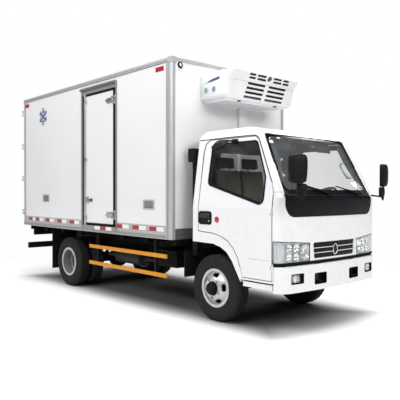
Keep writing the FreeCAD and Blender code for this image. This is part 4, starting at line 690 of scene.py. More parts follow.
def body_trims():
    """Rails at the foot and the roof's edge, posts round the front corners and a band."""
    lower, roof, posts, grooves, flange = (Shape() for _ in range(5))
    low_profile = moved([(-0.5, 1), (4.0, 1), (6.0, 8), (6.0, 52), (3.0, 58), (3.0, 66), (6.0, 72),
                         (2.4, 80), (2.4, 154), (6.0, 157), (6.0, 164), (-0.5, 166)], 0, BOX_LOW)
    roof_profile = moved([(-0.5, -53), (2.5, -53), (5.0, -47), (5.0, -30), (8.0, -26), (8.0, -8), (3.0, 3),
                          (-60, 3), (-60, -0.5), (-0.5, -0.5)], 0, BOX_TOP)
    for side in (RIGHT, LEFT):
        spans = [(BOX_REAR + 2, BOX_FRONT - 100)]
        if side == RIGHT:
            spans = [(BOX_REAR + 2, DOOR_REAR - FRAME_BAND), (DOOR_FRONT + FRAME_BAND, BOX_FRONT - 100)]
        for x0, x1 in spans:
            rail(lower, low_profile, side, x0, x1)
            rail(flange, moved([(5.6, 10), (7, 11), (7, 49), (5.6, 50)], 0, BOX_LOW), side, x0, x1)
        rail(roof, roof_profile, side, BOX_REAR + 2, BOX_FRONT + 3)
        y = side * BOX_HALF
        post(posts, [(BOX_FRONT + x, y + side * out) for x, out in FRONT_CORNER], BOX_LOW + 1, BOX_TOP - 50)
        # dark lines along the roof rail and down the corner, painted shade, then caps over the roof's
        # corners
        for short, groove in ((8, [(0, -60), (4, -60), (4, -52), (0, -52)]),
                              (70, [(3, -31), (7, -31), (7, -25), (3, -25)])):
            grooves.prism([(BOX_REAR + 2, y + side * out, BOX_TOP + z) for out, z in groove],
                          (BOX_FRONT - BOX_REAR - short, 0, 0))
        grooves.box((BOX_FRONT - 68, BOX_FRONT - 62), (y + side * 1, y + side * 6),
                    (BOX_LOW + 2, BOX_TOP - 60))
        grooves.box((BOX_FRONT - 104, BOX_FRONT - 99), (y - side * 0.5, y + side * 3),
                    (BOX_LOW + 2, BOX_TOP - 60))
        grooves.box((BOX_FRONT - 0.5, BOX_FRONT + 4), (y - side * 33, y - side * 27),
                    (BOX_LOW + 2, BOX_TOP - 60))
        roof.box((BOX_FRONT - 66, BOX_FRONT + 9), (y - side * 66, y + side * 9),
                 (BOX_TOP - 66, BOX_TOP + 4))
        roof.box((BOX_REAR + 1, BOX_REAR + 62), (y - side * 60, y + side * 9), (BOX_TOP - 60, BOX_TOP + 4))
        # thin dark bead down the rear corner
        bead = [(30, -0.5), (30, 3), (2, 3), (2, -0.5)]
        post(posts, [(BOX_REAR + x, y + side * out) for x, out in bead], BOX_LOW + 1, BOX_TOP - 53)
    # roof rail across the front and its lower edge
    cross_rail(roof, [(-0.5, -50), (3, -50), (6, -44), (6, -6), (2, 3), (-56, 3), (-56, -0.5), (-0.5, -0.5)],
               BOX_TOP)
    lower.make("box_lower_rails", "alloy", bevel=0.8)
    roof.make("box_roof_rails", "alloy", bevel=1.2)
    posts.make("box_corner_posts", "alloy", bevel=0.8)
    grooves.make("box_trim_shade_lines", "alloy_dark")
    flange.make("box_lower_flange", "alloy_mid", bevel=0.6)
    # a dark ribbed band lies across the foot of the front wall
    band = Shape()
    cross_rail(band, [(-0.5, 1), (4, 1), (6, 6), (6, 34), (3, 40), (3, 48), (6, 54), (6, 84), (3, 90),
                      (3, 98), (6, 104), (6, 130), (-0.5, 134)], BOX_LOW)
    band.make("box_front_band", "alloy_dark", bevel=0.8)


def trim_rivets():
    """Rivet heads down the corner posts and along the rails."""
    heads = Shape()
    for side in (RIGHT, LEFT):
        y = side * BOX_HALF
        for i in range(27):
            z = BOX_LOW + 60 + i * 76
            heads.rivet((BOX_FRONT + 2.4, y - side * 44, z), (1, 0, 0))
            heads.rivet((BOX_FRONT - 57, y + side * 2.4, z), (0, side, 0))
        for i in range(42):
            x = BOX_REAR + 50 + i * 98
            if side == RIGHT and DOOR_REAR - FRAME_BAND - 6 < x < DOOR_FRONT + FRAME_BAND + 6:
                continue
            heads.rivet((x, y + side * 3, BOX_LOW + 62), (0, side, 0), 4)
            heads.rivet((x, y + side * 5, BOX_TOP - 38), (0, side, 0), 4)
    heads.make("box_rivets", "stainless", smooth=60)


def tapes():
    """Red and white marker tape along the sides, on the side door's frame and on the rear frame."""
    red, white = Shape(), Shape()
    starts = (-4540, -4273, -3895, -3475, -3070, -1748, -1363, -989)
    z = (BOX_LOW + 92, BOX_LOW + 145)
    for side in (RIGHT, LEFT):
        out = (side * (BOX_HALF + 2.2), side * (BOX_HALF + 3.4))
        row = starts if side == RIGHT else tuple(-4540 + i * 445 for i in range(9))
        for x in row:
            red.box((x, x + 146), out, z)
            white.box((x + 148, min(x + 298, BOX_FRONT - 104)), out, z)
        top = (BOX_TOP - 148, BOX_TOP - 88)
        out = (side * (BOX_HALF - 0.4), side * (BOX_HALF + 1.0))
        red.box((BOX_FRONT - 320, BOX_FRONT - 152), out, top)
        white.box((BOX_FRONT - 474, BOX_FRONT - 322), out, top)
        red.box((BOX_REAR + 56, BOX_REAR + 206), out, top)
        white.box((BOX_REAR + 208, BOX_REAR + 348), out, top)
    # on the side door's lower frame
    out = (-(BOX_HALF + FRAME_OUT + 3.8), -(BOX_HALF + FRAME_OUT + 2.4))
    white.box((-2300, -2152), out, (962, 1012))
    red.box((-2150, -2004), out, (962, 1012))
    white.box((-2002, -1854), out, (962, 1012))
    # rear frame
    back = (BOX_REAR - 1.2, BOX_REAR + 0.4)
    for side in (RIGHT, LEFT):
        for k, shape in enumerate((red, white)):
            y = side * (BOX_HALF - 40 - 150 * k)
            shape.box(back, (y, y - side * 146), (BOX_TOP - 70, BOX_TOP - 18))
        for k in range(4):
            shape = (red, white)[k % 2]
            y = side * (BOX_HALF - 60 - 220 * k)
            shape.box(back, (y, y - side * 146), (BOX_LOW + 16, BOX_LOW + 66))
    red.make("marker_tape_red", "tape_red", bevel=0.4, segments=1)
    white.make("marker_tape_white", "tape_white", bevel=0.4, segments=1)


def top_lamps():
    """Clearance lamps at the body's front corners and red lamps over the rear doors."""
    lamps, bases = Shape(), Shape()
    for side in (RIGHT, LEFT):
        y = side * 918
        at = (BOX_FRONT + 1, y, 3051)
        bases.lathe([(-1.5, 0.1), (-1.5, 40), (6, 40), (8, 36), (8, 0.1)], at, (1, 0, 0), 32)
        lamps.lathe([(5, 0.1), (5, 20), (13, 19), (18, 12), (20, 0.1)], at, (1, 0, 0), 32)
        bases.rod((BOX_FRONT + 4, y, 3036), (BOX_FRONT + 22, y, 3006), 7, 12)
    bases.make("clearance_lamp_bases", "grain_black", bevel=0.8)
    lamps.make("clearance_lamps", "chrome")
    rear_lamps = Shape()
    for y in (-880, -120, 0, 120, 880):
        rear_lamps.prism(rounded(facing_x(BOX_REAR + 1, (y - 42, y + 42), (BOX_TOP - 60, BOX_TOP - 28)),
                                 12), (-13, 0, 0))
    rear_lamps.make("rear_header_lamps", "lens_red", bevel=3)


def side_vents():
    """Louvred pressure vents, one behind and one ahead of the side door, on both sides."""
    plates, slats, dark = Shape(), Shape(), Shape()
    for x, level in ((-3878, 1401), (-1005, 1342)):
        for side in (RIGHT, LEFT):
            y = side * BOX_HALF
            plates.frame_prism(rounded(facing_y(y, (x - 122, x + 122), (level - 64, level + 64)), 14),
                               rounded(facing_y(y, (x - 92, x + 92), (level - 44, level + 44)), 6),
                               (0, side * 4.4, 0))
            # the black backs and the slats' darker alloy are painted shade of the louvres
            dark.prism(facing_y(y, (x - 93, x + 93), (level - 45, level + 45)),
                       (0, side * 0.7, 0))
            for k in range(5):
                h = level - 34 + k * 16
                slats.prism(moved([(-92, y + side * 0.5, 8), (-92, y + side * 3.8, -3),
                                   (-92, y + side * 4.4, -1), (-92, y + side * 0.5, 11)], x, 0, h),
                            (184, 0, 0))
    plates.make("side_vent_frames", "alloy", bevel=1)
    slats.make("side_vent_slats", "alloy_mid", bevel=0.3, segments=1)
    dark.make("side_vent_shade_backs", "grain_black")


def generic_mark():
    """A plain snowflake, drawn from bars, in the place of the lettering on both sides."""
    flake = Shape()
    for side in (RIGHT, LEFT):
        centre = Vector((-3985, side * (BOX_HALF + 0.9), 2770))
        for k in range(6):
            a = math.radians(60 * k + 30)
            arm = upright(a)
            flat = flat_section(24, -1.2, 0.3)
            flake.sweep([centre, centre + arm * 148], flat, (0, side, 0))
            for share, twig in ((0.42, 54), (0.72, 42)):
                for turn in (-55, 55):
                    b = a + math.radians(turn)
                    start = centre + arm * 148 * share
                    tip = start + upright(b) * twig
                    flake.sweep([start, tip], flat_section(18, -1.1, 0.2), (0, side, 0))
    flake.make("side_mark", "mark_blue")


def gasket(shape, x0, x1, z0, z1, y, side, wide=16, tall=9, radius=8):
    """A hollow-looking rubber seal round a rectangle on the body's side."""
    path = rounded(facing_y(y, (x0, x1), (z0, z1)), radius, 4)
    half = wide / 2
    section = [(-half, -2), (half, -2), (half, tall * 0.5), (half * 0.5, tall), (-half * 0.5, tall),
               (-half, tall * 0.5)]
    shape.sweep(path, section, (0, side, 0), closed=True)


def side_door_frame():
    """The side door's frame profile, jamb, seal and rain hood."""
    y = FRAME_FACE
    frame = Shape()
    outer = facing_y(y, (DOOR_REAR - FRAME_BAND, DOOR_FRONT + FRAME_BAND),
                     (BOX_LOW + 30, DOOR_TOP + FRAME_BAND + 12))
    inner = facing_y(y, (DOOR_REAR - 40, DOOR_FRONT + 40), (DOOR_BASE - 42, DOOR_TOP + 40))
    frame.frame_prism(outer, inner, (0, -2.6, 0))
    lip = [(p[0] + dx, y, p[2] + dz) for p, dx, dz in zip(outer, (6, -6, -6, 6), (6, 6, -6, -6))]
    frame.frame_prism(outer, lip, (0, -6, 0))
    frame.make("side_door_frame_trim", "alloy_mid", bevel=0.8)
    jamb = Shape()
    for x0, x1, z0, z1 in ((DOOR_FRONT + 6, DOOR_FRONT + 64, DOOR_BASE - 34, DOOR_TOP + 30),
                           (DOOR_REAR - 44, DOOR_REAR - 14, DOOR_BASE - 34, DOOR_TOP + 30),
                           (DOOR_REAR - 44, DOOR_FRONT + 64, DOOR_TOP + 8, DOOR_TOP + 34),
                           (DOOR_REAR - 44, DOOR_FRONT + 64, DOOR_BASE - 40, DOOR_BASE - 8)):
        jamb.box((x0, x1), (y - 4.2, y - 0.5), (z0, z1))
    jamb.make("side_door_jamb", "rubber", bevel=1)
    seal = Shape()
    edge = facing_y(y, (DOOR_REAR - 38, DOOR_FRONT + 38), (DOOR_BASE - 40, DOOR_TOP + 38))
    mouth = facing_y(y, (DOOR_REAR - 6, DOOR_FRONT + 6), (DOOR_BASE - 6, DOOR_TOP + 6))
    seal.frame_prism(edge, mouth, (0, -2.2, 0))
    for grow in (12, 22, 31):
        gasket(seal, DOOR_REAR - grow, DOOR_FRONT + grow, DOOR_BASE - grow, DOOR_TOP + grow, y - 2, RIGHT,
               5, 2.4, 2)
    seal.make("side_door_seal", "rubber", bevel=0.6)
    hood = Shape()
    top = DOOR_TOP + FRAME_BAND + 50
    hood.prism(moved([(DOOR_REAR - FRAME_BAND - 2, 2, -3), (DOOR_REAR - FRAME_BAND - 2, -30, -12),
                      (DOOR_REAR - FRAME_BAND - 2, -36, -34), (DOOR_REAR - FRAME_BAND - 2, -33, -34),
                      (DOOR_REAR - FRAME_BAND - 2, -27, -15), (DOOR_REAR - FRAME_BAND - 2, 2, -7)], 0, y,
                     top), (DOOR_FRONT - DOOR_REAR + 2 * FRAME_BAND + 4, 0, 0))
    hood.make("side_door_rain_hood", "alloy_dark", bevel=0.6)


def side_door_furniture():
    """Hinges, bar guides, cams and keepers, the lever's plate and grip, and the lining of the side door."""
    y = FRAME_FACE
    steel = Shape()
    hinges = Shape()
    for level in (DOOR_BASE + 130, DOOR_TOP - 130):
        steel.box((DOOR_FRONT - 148, DOOR_FRONT - 12), (y - 9, y - 0.5), (level - 38, level + 38))
        steel.bolts((DOOR_FRONT - 132, DOOR_FRONT - 80, DOOR_FRONT - 28), (y - 9,),
                    (level - 28, level + 28), (0, -1, 0), 5, 5)
        steel.sweep([(DOOR_FRONT - 150, -(BOX_HALF + 38), level), (DOOR_FRONT - 12, -(BOX_HALF + 38),
                                                                   level)], flat_section(40, -0.5, 2.4, 1),
                    (0, -1, 0))
        hinges.box((DOOR_FRONT + 24, DOOR_FRONT + 78), (y - 8, y - 0.5), (level - 62, level + 62))
        hinges.bolts((DOOR_FRONT + 62,), (y - 8,), (level - 52, level + 52), (0, -1, 0), 5, 4)
    hinges.make("side_door_hinge_plates", "stainless", bevel=1.2)
    for share in (0.04, 0.5, 0.96):
        level = DOOR_BASE + DOOR_TALL * share
        steel.bolts((BAR_X - 26, BAR_X + 26), (BAR_Y,), (level - 16, level + 16), (0, -1, 0), 4, 3.4)
        steel.rod((BAR_X, BAR_Y, level - 30), (BAR_X, BAR_Y, level + 30), 14.5, 24)
    for level in (DOOR_BASE - 8, DOOR_TOP + 8):
        steel.lathe([(-12, 0.1), (-12, 15), (-8, 17), (8, 17), (12, 15), (12, 0.1)], (BAR_X, BAR_Y, level),
                    (0, 0, 1), 20)
        steel.rod((BAR_X, BAR_Y, level), (BAR_X + 22, BAR_Y, level), 7, 12)
    steel.rod((BAR_X - 4, BAR_Y, LEVER - 26), (BAR_X - 4, BAR_Y, LEVER + 26), 15, 20)
    steel.box((BAR_X + 22, BAR_X + 96), (y - 16, y - 0.5), (LEVER - 40, LEVER + 46))
    steel.box((BAR_X + 40, BAR_X + 76), (y - 30, y - 15), (LEVER + 14, LEVER + 40))
    for level in (LEVER - 30, LEVER + 34):
        steel.bolts((BAR_X + 32, BAR_X + 86), (y - 16,), (level,), (0, -1, 0), 4.5, 4)
    steel.rod((BAR_X + 150, BAR_Y - 6, LEVER), (BAR_X + 150, BAR_Y - 12, LEVER), 11, 16)
    steel.make("side_door_steel", "stainless", body="side_door", bevel=0.8)
    grip = Shape()
    grip.lathe([(0, 0.1), (0, 10), (8, 13), (60, 14), (74, 12), (80, 0.1)],
               (BAR_X + 118, BAR_Y - 1, LEVER), (1, 0, 0), 18)
    grip.make("side_door_grip", "grain_black", body="side_door")
    keepers = Shape()
    for level in (DOOR_BASE - 30, DOOR_TOP + 30):
        keepers.box((BAR_X - 28, BAR_X + 30), (y - 16, y - 1), (level - 9, level + 9))
        keepers.bolts((BAR_X - 18, BAR_X + 20), (y - 16,), (level,), (0, -1, 0), 4, 3)
    keepers.make("side_door_keepers", "stainless", bevel=1)
    inside = Shape()
    inside.box((DOOR_REAR + 40, DOOR_FRONT - 40), (-(BOX_HALF - 80), -(BOX_HALF - 83)),
               (DOOR_BASE + 40, DOOR_TOP - 40))
    inside.make("side_door_liner", "box_inner", body="side_door", bevel=1)


REAR_LOW = BOX_LOW + 84 + 5
REAR_HIGH = BOX_TOP - 88 - 5


def rear_level(share):
    """A height on the rear doors, as a share of theirs."""
    return REAR_LOW + (REAR_HIGH - REAR_LOW) * share


def rear_door_furniture():
    """Seals, steel fittings, grips, linings and marker tape on both rear leaves."""
    for name, side in SIDES:
        seal, steel, liner = Shape(), Shape(), Shape()
        inner_edge, outer_edge = 6, BOX_HALF - 65
        # the seal lies on the leaf round its edge
        y0, y1 = side * (inner_edge + 9), side * (outer_edge - 9)
        path = rounded(facing_x(BOX_REAR, (y0, y1), (REAR_LOW + 9, REAR_HIGH - 9)), 8, 4)
        seal.sweep(path, mirrored([(8, -1), (8, 3), (4, 5)]), (-1, 0, 0), closed=True)
        seal.make(f"rear_door_seal_{name}", "rubber", body=f"rear_door_{name}")
        for share in (0.07, 0.36, 0.64, 0.93):
            level = rear_level(share)
            across = [side * (outer_edge - 40 - 52 * k) for k in range(4)]
            steel.bolts((BOX_REAR - 12,), across, (level,), (-1, 0, 0), 6, 5)
        bar_x = BOX_REAR - 17
        for inset in (120, 520):
            y = side * (6 + inset)
            for share in (0.05, 0.35, 0.65, 0.95):
                level = rear_level(share)
                steel.rod((bar_x, y, level - 26), (bar_x, y, level + 26), 12.4, 24)
                steel.bolts((bar_x,), (y - 24, y + 24), (level - 14, level + 14), (-1, 0, 0), 4, 3)
            for level in (REAR_LOW - 22, REAR_HIGH + 22):
                steel.lathe([(-10, 0.1), (-10, 11.6), (-6, 12.4), (6, 12.4), (10, 11.6), (10, 0.1)],
                            (bar_x, y, level), (0, 0, 1), 20)
            lever = rear_level(0.22)
            steel.rod((bar_x, y, lever - 24), (bar_x, y, lever + 24), 12.4, 20)
            # keeper plate and catch at the lever's end
            tip = side * (6 + inset + 180)
            steel.box((BOX_REAR - 10, BOX_REAR + 0.5), (tip - 26, tip + 26), (lever - 36, lever + 36))
            steel.bolts((BOX_REAR - 10,), (tip,), (lever - 26, lever + 26), (-1, 0, 0), 5, 4)
        steel.make(f"rear_door_steel_{name}", "stainless", body=f"rear_door_{name}", bevel=0.8)
        grips = Shape()
        for inset in (120, 520):
            y = side * (6 + inset + 112)
            grips.lathe([(0, 0.1), (0, 10), (8, 12.5), (84, 13), (94, 11), (100, 0.1)],
                        (bar_x, y, rear_level(0.22)), (0, side, 0), 18)
        grips.make(f"rear_door_grips_{name}", "grain_black", body=f"rear_door_{name}")
        y0, y1 = side * 60, side * (outer_edge - 50)
        liner.box((BOX_REAR + 80, BOX_REAR + 83), (y0, y1), (REAR_LOW + 60, REAR_HIGH - 60))
        liner.make(f"rear_door_liner_{name}", "box_inner", body=f"rear_door_{name}", bevel=1)
        # marker tape across the leaf
        red, white = Shape(), Shape()
        for k in range(4):
            y = side * (60 + k * 220)
            (red, white)[k % 2].box((BOX_REAR - 1.4, BOX_REAR + 0.4), (y, y + side * 100),
                                    (REAR_LOW + 60, REAR_LOW + 110))
        red.make(f"rear_door_tape_red_{name}", "tape_red", body=f"rear_door_{name}", bevel=0.4, segments=1)
        white.make(f"rear_door_tape_white_{name}", "tape_white", body=f"rear_door_{name}", bevel=0.4,
                   segments=1)


def cargo_room():
    """Ribbed alloy floor, kick strips and a lamp inside the load space."""
    floor = node_box("box_floor")[1].z
    ribs = Shape()
    for i in range(37):
        y = -918 + i * 51
        ribs.prism(moved([(92, -7, -0.5), (92, -7, 5), (92, -13, 7), (92, -13, 10), (92, 13, 10),
                          (92, 13, 7), (92, 7, 5), (92, 7, -0.5)], BOX_REAR, y, floor),
                   (BOX_FRONT - BOX_REAR - 190, 0, 0))
    ribs.make("cargo_floor_ribs", "alloy_floor")
    kick = Shape()
    inside = BOX_HALF - 80
    kick.box((BOX_REAR + 90, BOX_FRONT - 82), (inside - 4, inside + 0.4), (floor + 2, floor + 300))
    kick.box((BOX_REAR + 90, DOOR_REAR - 8), (-inside - 0.4, -inside + 4), (floor + 2, floor + 300))
    kick.box((DOOR_FRONT + 8, BOX_FRONT - 82), (-inside - 0.4, -inside + 4), (floor + 2, floor + 300))
    kick.box((BOX_FRONT - 84.5, BOX_FRONT - 79.6), (-inside + 5, inside - 5), (floor + 2, floor + 300))
    kick.make("cargo_kick_strips", "alloy", bevel=1)
    lamp = Shape()
    lamp.prism(rounded(facing_z(BOX_TOP - 80, (-2500, -2100), (-90, 90)), 30), (0, 0, -28))
    lamp.make("cargo_lamp", "sticker", bevel=8)


body_trims()
trim_rivets()
tapes()
top_lamps()
side_vents()
generic_mark()
side_door_frame()
side_door_furniture()
rear_door_furniture()
cargo_room()


# ---------------------------------------------------------------- second coats on CAD pieces
def second_coat(node, mat, test):
    """A second paint on the faces of a CAD piece that pass a test of their middle (truck mm) and normal."""
    mesh = NODES[node].data
    mesh.materials.append(MATERIALS[mat])
    index = len(mesh.materials) - 1
    for face in mesh.polygons:
        c = face.center
        if test(Vector(((c.x - AXLE) * 1000, c.y * 1000, c.z * 1000)), face.normal):
            face.material_index = index


CABIN = Vector((380, 0, 1500))


def faces_cabin(c, n):
    """Whether a face of the cab looks into its room."""
    inside = -284 < c.x < 1010 and abs(c.y) < 915 and 700 < c.z < 2262
    return inside and n.dot((CABIN - c).normalized()) > 0.15


def faces_floor(c, n):
    """Whether a face is low in the cab's room or under its floor."""
    return faces_cabin(c, n) and c.z <= 1000 or (c.z < 1050 and abs(c.y) < 690 and n.z < -0.5)


def faces_window(c, n):
    """Whether a face of a door looks into its window's opening."""
    inside = -90 < c.x < 830 and 1335 < c.z < 2072
    return inside and abs(n.y) < 0.6 and n.dot((Vector((370, c.y, 1750)) - c).normalized()) > 0.15


def faces_frame(c, n):
    """Whether a face belongs to a door's frame above its sill, inside or round the glass."""
    inward = n.dot((CABIN - c).normalized()) > 0.1
    return c.z > 1460 and (abs(c.y) < 862 and inward or abs(c.y) < 800)


second_coat("cab_shell", "trim_beige", lambda c, n: faces_cabin(c, n) and 1000 < c.z < 1990)
second_coat("cab_shell", "headliner", lambda c, n: faces_cabin(c, n) and c.z >= 1990)
second_coat("cab_shell", "rubber", faces_floor)
for name, side in SIDES:
    second_coat(f"cab_door_{name}", "trim_beige", lambda c, n, side=side: n.y * side < -0.5)
    second_coat(f"cab_door_{name}", "rubber", faces_window)
    second_coat(f"rear_door_{name}", "stainless", lambda c, n: c.x < BOX_REAR - 0.5)
    second_coat(f"rear_door_{name}", "box_inner", lambda c, n: n.x > 0.5)
# pillars beside the glass are dark inside; the doors' frames round the glass are painted dark grey as
# painted shade
second_coat("cab_shell", "dash_grey", lambda c, n: c.x > 500 and c.z > 1460 and faces_cabin(c, n))
for name, side in SIDES:
    second_coat(f"cab_door_{name}", "dash_grey", faces_frame)
second_coat("side_door", "stainless", lambda c, n: c.y < -(BOX_HALF + FRAME_OUT + 0.5))
second_coat("side_door", "box_inner", lambda c, n: n.y > 0.5)
second_coat("box_right_wall", "alloy_mid", lambda c, n: c.y < -(BOX_HALF + 0.5))
# the guards' uprights are dark
second_coat("side_guards", "chassis",
            lambda c, n: abs(c.y) < 985.6 and min(abs(c.x + 2358), abs(c.x + 960)) < 23.5)
second_coat("tail_lamps", "lens_red", lambda c, n: n.x < -0.5)
# the bumper's top is painted black as painted shade of the gap below the nose
second_coat("front_bumper", "grain_black", lambda c, n: c.z > 734.5)


# ---------------------------------------------------------------- cab: glass surrounds, cowl and seams
def outline_points(corners, radius, steps=6, spacing=45):
    """A rounded flat outline, as pairs, with extra points on its straight runs."""
    turned = [(p.x, p.z) for p in rounded([(a, 0, b) for a, b in corners], radius, steps)]
    points = []
    for i, (a, b) in enumerate(turned):
        c, d = turned[(i + 1) % len(turned)]
        n = max(1, int(math.hypot(c - a, d - b) / spacing))
        points += [(a + (c - a) * k / n, b + (d - b) * k / n) for k in range(n)]
    return points


def steady(path, outs, closed):
    """A draped run lifted over the joints it crosses, so that it stays one even line."""
    n = len(path)

    def near(k, reach):
        return [(k + j) % n if closed else min(max(k + j, 0), n - 1) for j in range(-reach, reach + 1)]

    outs = [sum((outs[j] for j in near(k, 3)), Vector()).normalized() for k in range(n)]
    path = [p + outs[k] * max((path[j] - p).dot(outs[k]) for j in near(k, 1)) for k, p in enumerate(path)]
    even = [sum((path[j] - p).dot(outs[k]) for j in near(k, 3)) / 7 for k, p in enumerate(path)]
    path = [p + outs[k] * even[k] for k, p in enumerate(path)]
    return path, outs


def trim_ring(shape, points, finder, section):
    """A closed moulding laid on the skin along an outline."""
    path, outs = steady(*draped(points, finder), True)
    shape.sweep(path, section, outs, closed=True)


def trim_run(shape, points, finder, section):
    """An open moulding laid on the skin."""
    path, outs = draped(points, finder)
    shape.sweep(path, section, outs)


SCREEN = mirrored([(806, 1462), (724, 2134)])
WINDOW = [(-66, 1590), (802, 1358), (806, 1660), (640, 2052), (-50, 2052)]
LIGHT = mirrored([(520, 1560), (520, 2000)])
RUBBER_EDGE = mirrored([(11, -3), (11, 2.5), (6, 5.5)])


def corner_skin(side, angle, z, lift=0.0):
    """The skin round the cab's front corner; the angle runs from straight ahead towards the side."""
    a = math.radians(angle)
    way = Vector((math.cos(a), side * math.sin(a), 0))
    return on_skin(Vector((700, side * 500, z)) + way * 900, -way, lift)


def glass_surrounds():
    """Rubber round the panes, and the weather strips at the foot of the side windows."""
    rubber = Shape()
    trim_ring(rubber, outline_points(SCREEN, 30), front_skin, RUBBER_EDGE)
    trim_ring(rubber, outline_points(LIGHT, 70), back_skin, RUBBER_EDGE)
    rubber.make("screen_rubber", "rubber")
    for name, side in SIDES:
        edge = Shape()
        band = mirrored([(9, -3), (9, 2), (5, 4.2)])
        trim_ring(edge, outline_points(WINDOW, 60), lambda x, z: side_skin(side, x, z), band)
        edge.make(f"window_rubber_{name}", "rubber", body=f"cab_door_{name}")
        # weather strip at the foot of the glass
        sill = Shape()
        run = [(-50 + k * 41, 1604 - k * 10.9) for k in range(21)]
        trim_run(sill, run, lambda x, z: side_skin(side, x, z), [(-7, -2), (7, -2), (7, 5), (3, 7),
                                                                 (-7, 5)])
        sill.make(f"window_sill_{name}", "grain_black", body=f"cab_door_{name}")


def cowl():
    """Black panel under the windscreen, its lower corners drawn in a wide arc."""
    panel = Shape()
    low, high, half, arc = 1248, 1474, 812, 142
    rows, backs = [], []
    for i in range(17):
        z = low + (high - low) * (i / 16) ** 1.3
        reach = half
        if z < low + arc:
            reach = half - arc * 0.9 + arc * 0.9 * math.sqrt(max(0.0, 1 - ((low + arc - z) / arc) ** 2))
        row, back = [], []
        for k in range(41):
            y = -reach + 2 * reach * k / 40
            p, n = front_skin(y, z, 2.6)
            row.append(p)
            back.append(-n * 6)
        rows.append(row)
        backs.append(back)
    panel.sheet(rows, backs)
    panel.make("cowl_panel", "gloss_black", smooth=50)
    grille = Shape()
    for k in range(24):
        y = -690 + k * 60
        path, outs = draped([(y + t, 1432) for t in (-22, 0, 22)], lambda a, b: front_skin(a, b, 2))
        grille.sweep(path, flat_section(7, -0.5, 3, 1.5), outs)
    grille.make("cowl_louvres", "grain_black", bevel=0.5)
    edge = Shape()
    ring = []
    for k in range(13):
        a = math.pi / 2 * k / 12
        ring.append((half - arc * 0.9 + arc * 0.9 * math.cos(a), low + arc - arc * math.sin(a)))
    outline = [(half, high - 4)] + ring + [(-y, z) for y, z in ring[::-1]] + [(-half, high - 4)]
    full = []
    for a, b in zip(outline[:-1], outline[1:]):
        n = max(1, int(math.hypot(b[0] - a[0], b[1] - a[1]) / 40))
        full += [(a[0] + (b[0] - a[0]) * k / n, a[1] + (b[1] - a[1]) * k / n) for k in range(n)]
    trim_run(edge, full + [outline[-1]], front_skin, mirrored([(7, -2), (7, 3), (3, 5)]))
    edge.make("cowl_edge", "grain_black")


def seams():
    """Dark joints between body panels, a crease line drawn dark as painted shade, drip rails over the doors.
    """
    dark, rails = Shape(), Shape()
    thin = mirrored([(1.6, -2), (1.6, 0.5)])
    for side in (RIGHT, LEFT):
        trim_run(dark, [(side, a, 1502 - (a - 17) * 0.02) for a in range(19, 63, 2)], corner_skin, thin)
        run = [(-278 + k * 40, 2117 + 1.5 * math.sin(k / 22 * math.pi)) for k in range(22)]
        run += [(604, 2114), (640, 2098), (664, 2072)]
        run += [(664 + k * 22.8, 2072 - k * 45.5) for k in range(1, 11)]
        trim_run(rails, run, lambda x, z: side_skin(side, x, z), [(-4, -2), (4, -2), (5, 4), (2, 8),
                                                                  (-3, 6)])
        # pressed line ahead of the arch, drawn dark: painted shade of the crease
        trim_run(dark, [(600 + 15 * k, 795) for k in range(21)], lambda x, z: side_skin(side, x, z),
                 mirrored([(1.2, -2), (1.2, 0.3)]))
        # arch lip
        lip = [(-286, 925), (60, 914), (180, 884), (276, 835), (360, 745), (434, 625), (488, 540)]
        full = []
        for a, b in zip(lip[:-1], lip[1:]):
            full += [(a[0] + (b[0] - a[0]) * k / 5, a[1] + (b[1] - a[1]) * k / 5) for k in range(5)]
        path = [Vector((x + 2, side * 916, z + 7)) for x, z in full]
        rails_out = [Vector((0, side, 0))] * len(path)
        dark.sweep(path, [(-9, -26), (3, -26), (3, 6), (-9, 6)], rails_out)
        trim_run(dark, [(932, z) for z in range(775, 1500, 29)], lambda x, z: side_skin(side, x, z),
                 mirrored([(5, -2), (5, 0.6)]))
    dark.make("cab_seams_and_crease_shade", "grain_black")
    rails.make("cab_drip_rails", "grain_black")


def wipers():
    """Two wipers parked towards the kerb, and the washers' nozzles."""
    arms, blades = Shape(), Shape()
    for (py, pz), (ty, tz) in (((-50, 1449), (-471, 1556)), ((579, 1446), (105, 1544))):
        root, normal = front_skin(py, pz, 4)
        arms.lathe([(-6, 0.1), (-6, 17), (8, 17), (14, 13), (16, 0.1)], root, normal, 20)
        points = []
        for k in range(15):
            share = k / 14
            y = py + (ty - py) * share * 0.62
            z = pz + 34 * share + (tz - pz) * share * 0.45
            p, n = front_skin(y, z, 18 + 22 * math.sin(math.pi * share))
            points.append(p)
        arms.sweep(points, mirrored([(7, -3), (5, 4)]), normal)
        edge, spine, outs = [], [], []
        for k in range(25):
            share = k / 24
            y = py + (ty - py) * (0.10 + share * 0.92)
            z = pz + 22 + (tz - pz) * (0.05 + share * 0.95)
            p, n = front_skin(y, z, 0)
            edge.append(p + n * 5)
            spine.append(p + n * (13 + 5 * math.sin(math.pi * share)))
            outs.append(n)
        blades.sweep(edge, mirrored([(1.5, -4), (4, 3)]), outs)
        blades.sweep(spine, mirrored([(4, -3), (2.5, 3)]), outs)
        for k in (2, 8, 16, 22):
            blades.box((edge[k].x - 3, spine[k].x + 4), (edge[k].y - 5, edge[k].y + 5),
                       (edge[k].z - 3, spine[k].z + 3))
    arms.make("wiper_arms", "grain_black", bevel=1.5)
    blades.make("wiper_blades", "grain_black", bevel=0.6)
    nozzles = Shape()
    for y in (-300, 300):
        p, n = front_skin(y, 1405, 2)
        nozzles.lathe([(-3, 0.1), (-3, 11), (4, 10), (8, 6), (9, 0.1)], p, n, 16)
    nozzles.make("washer_nozzles", "grain_black")


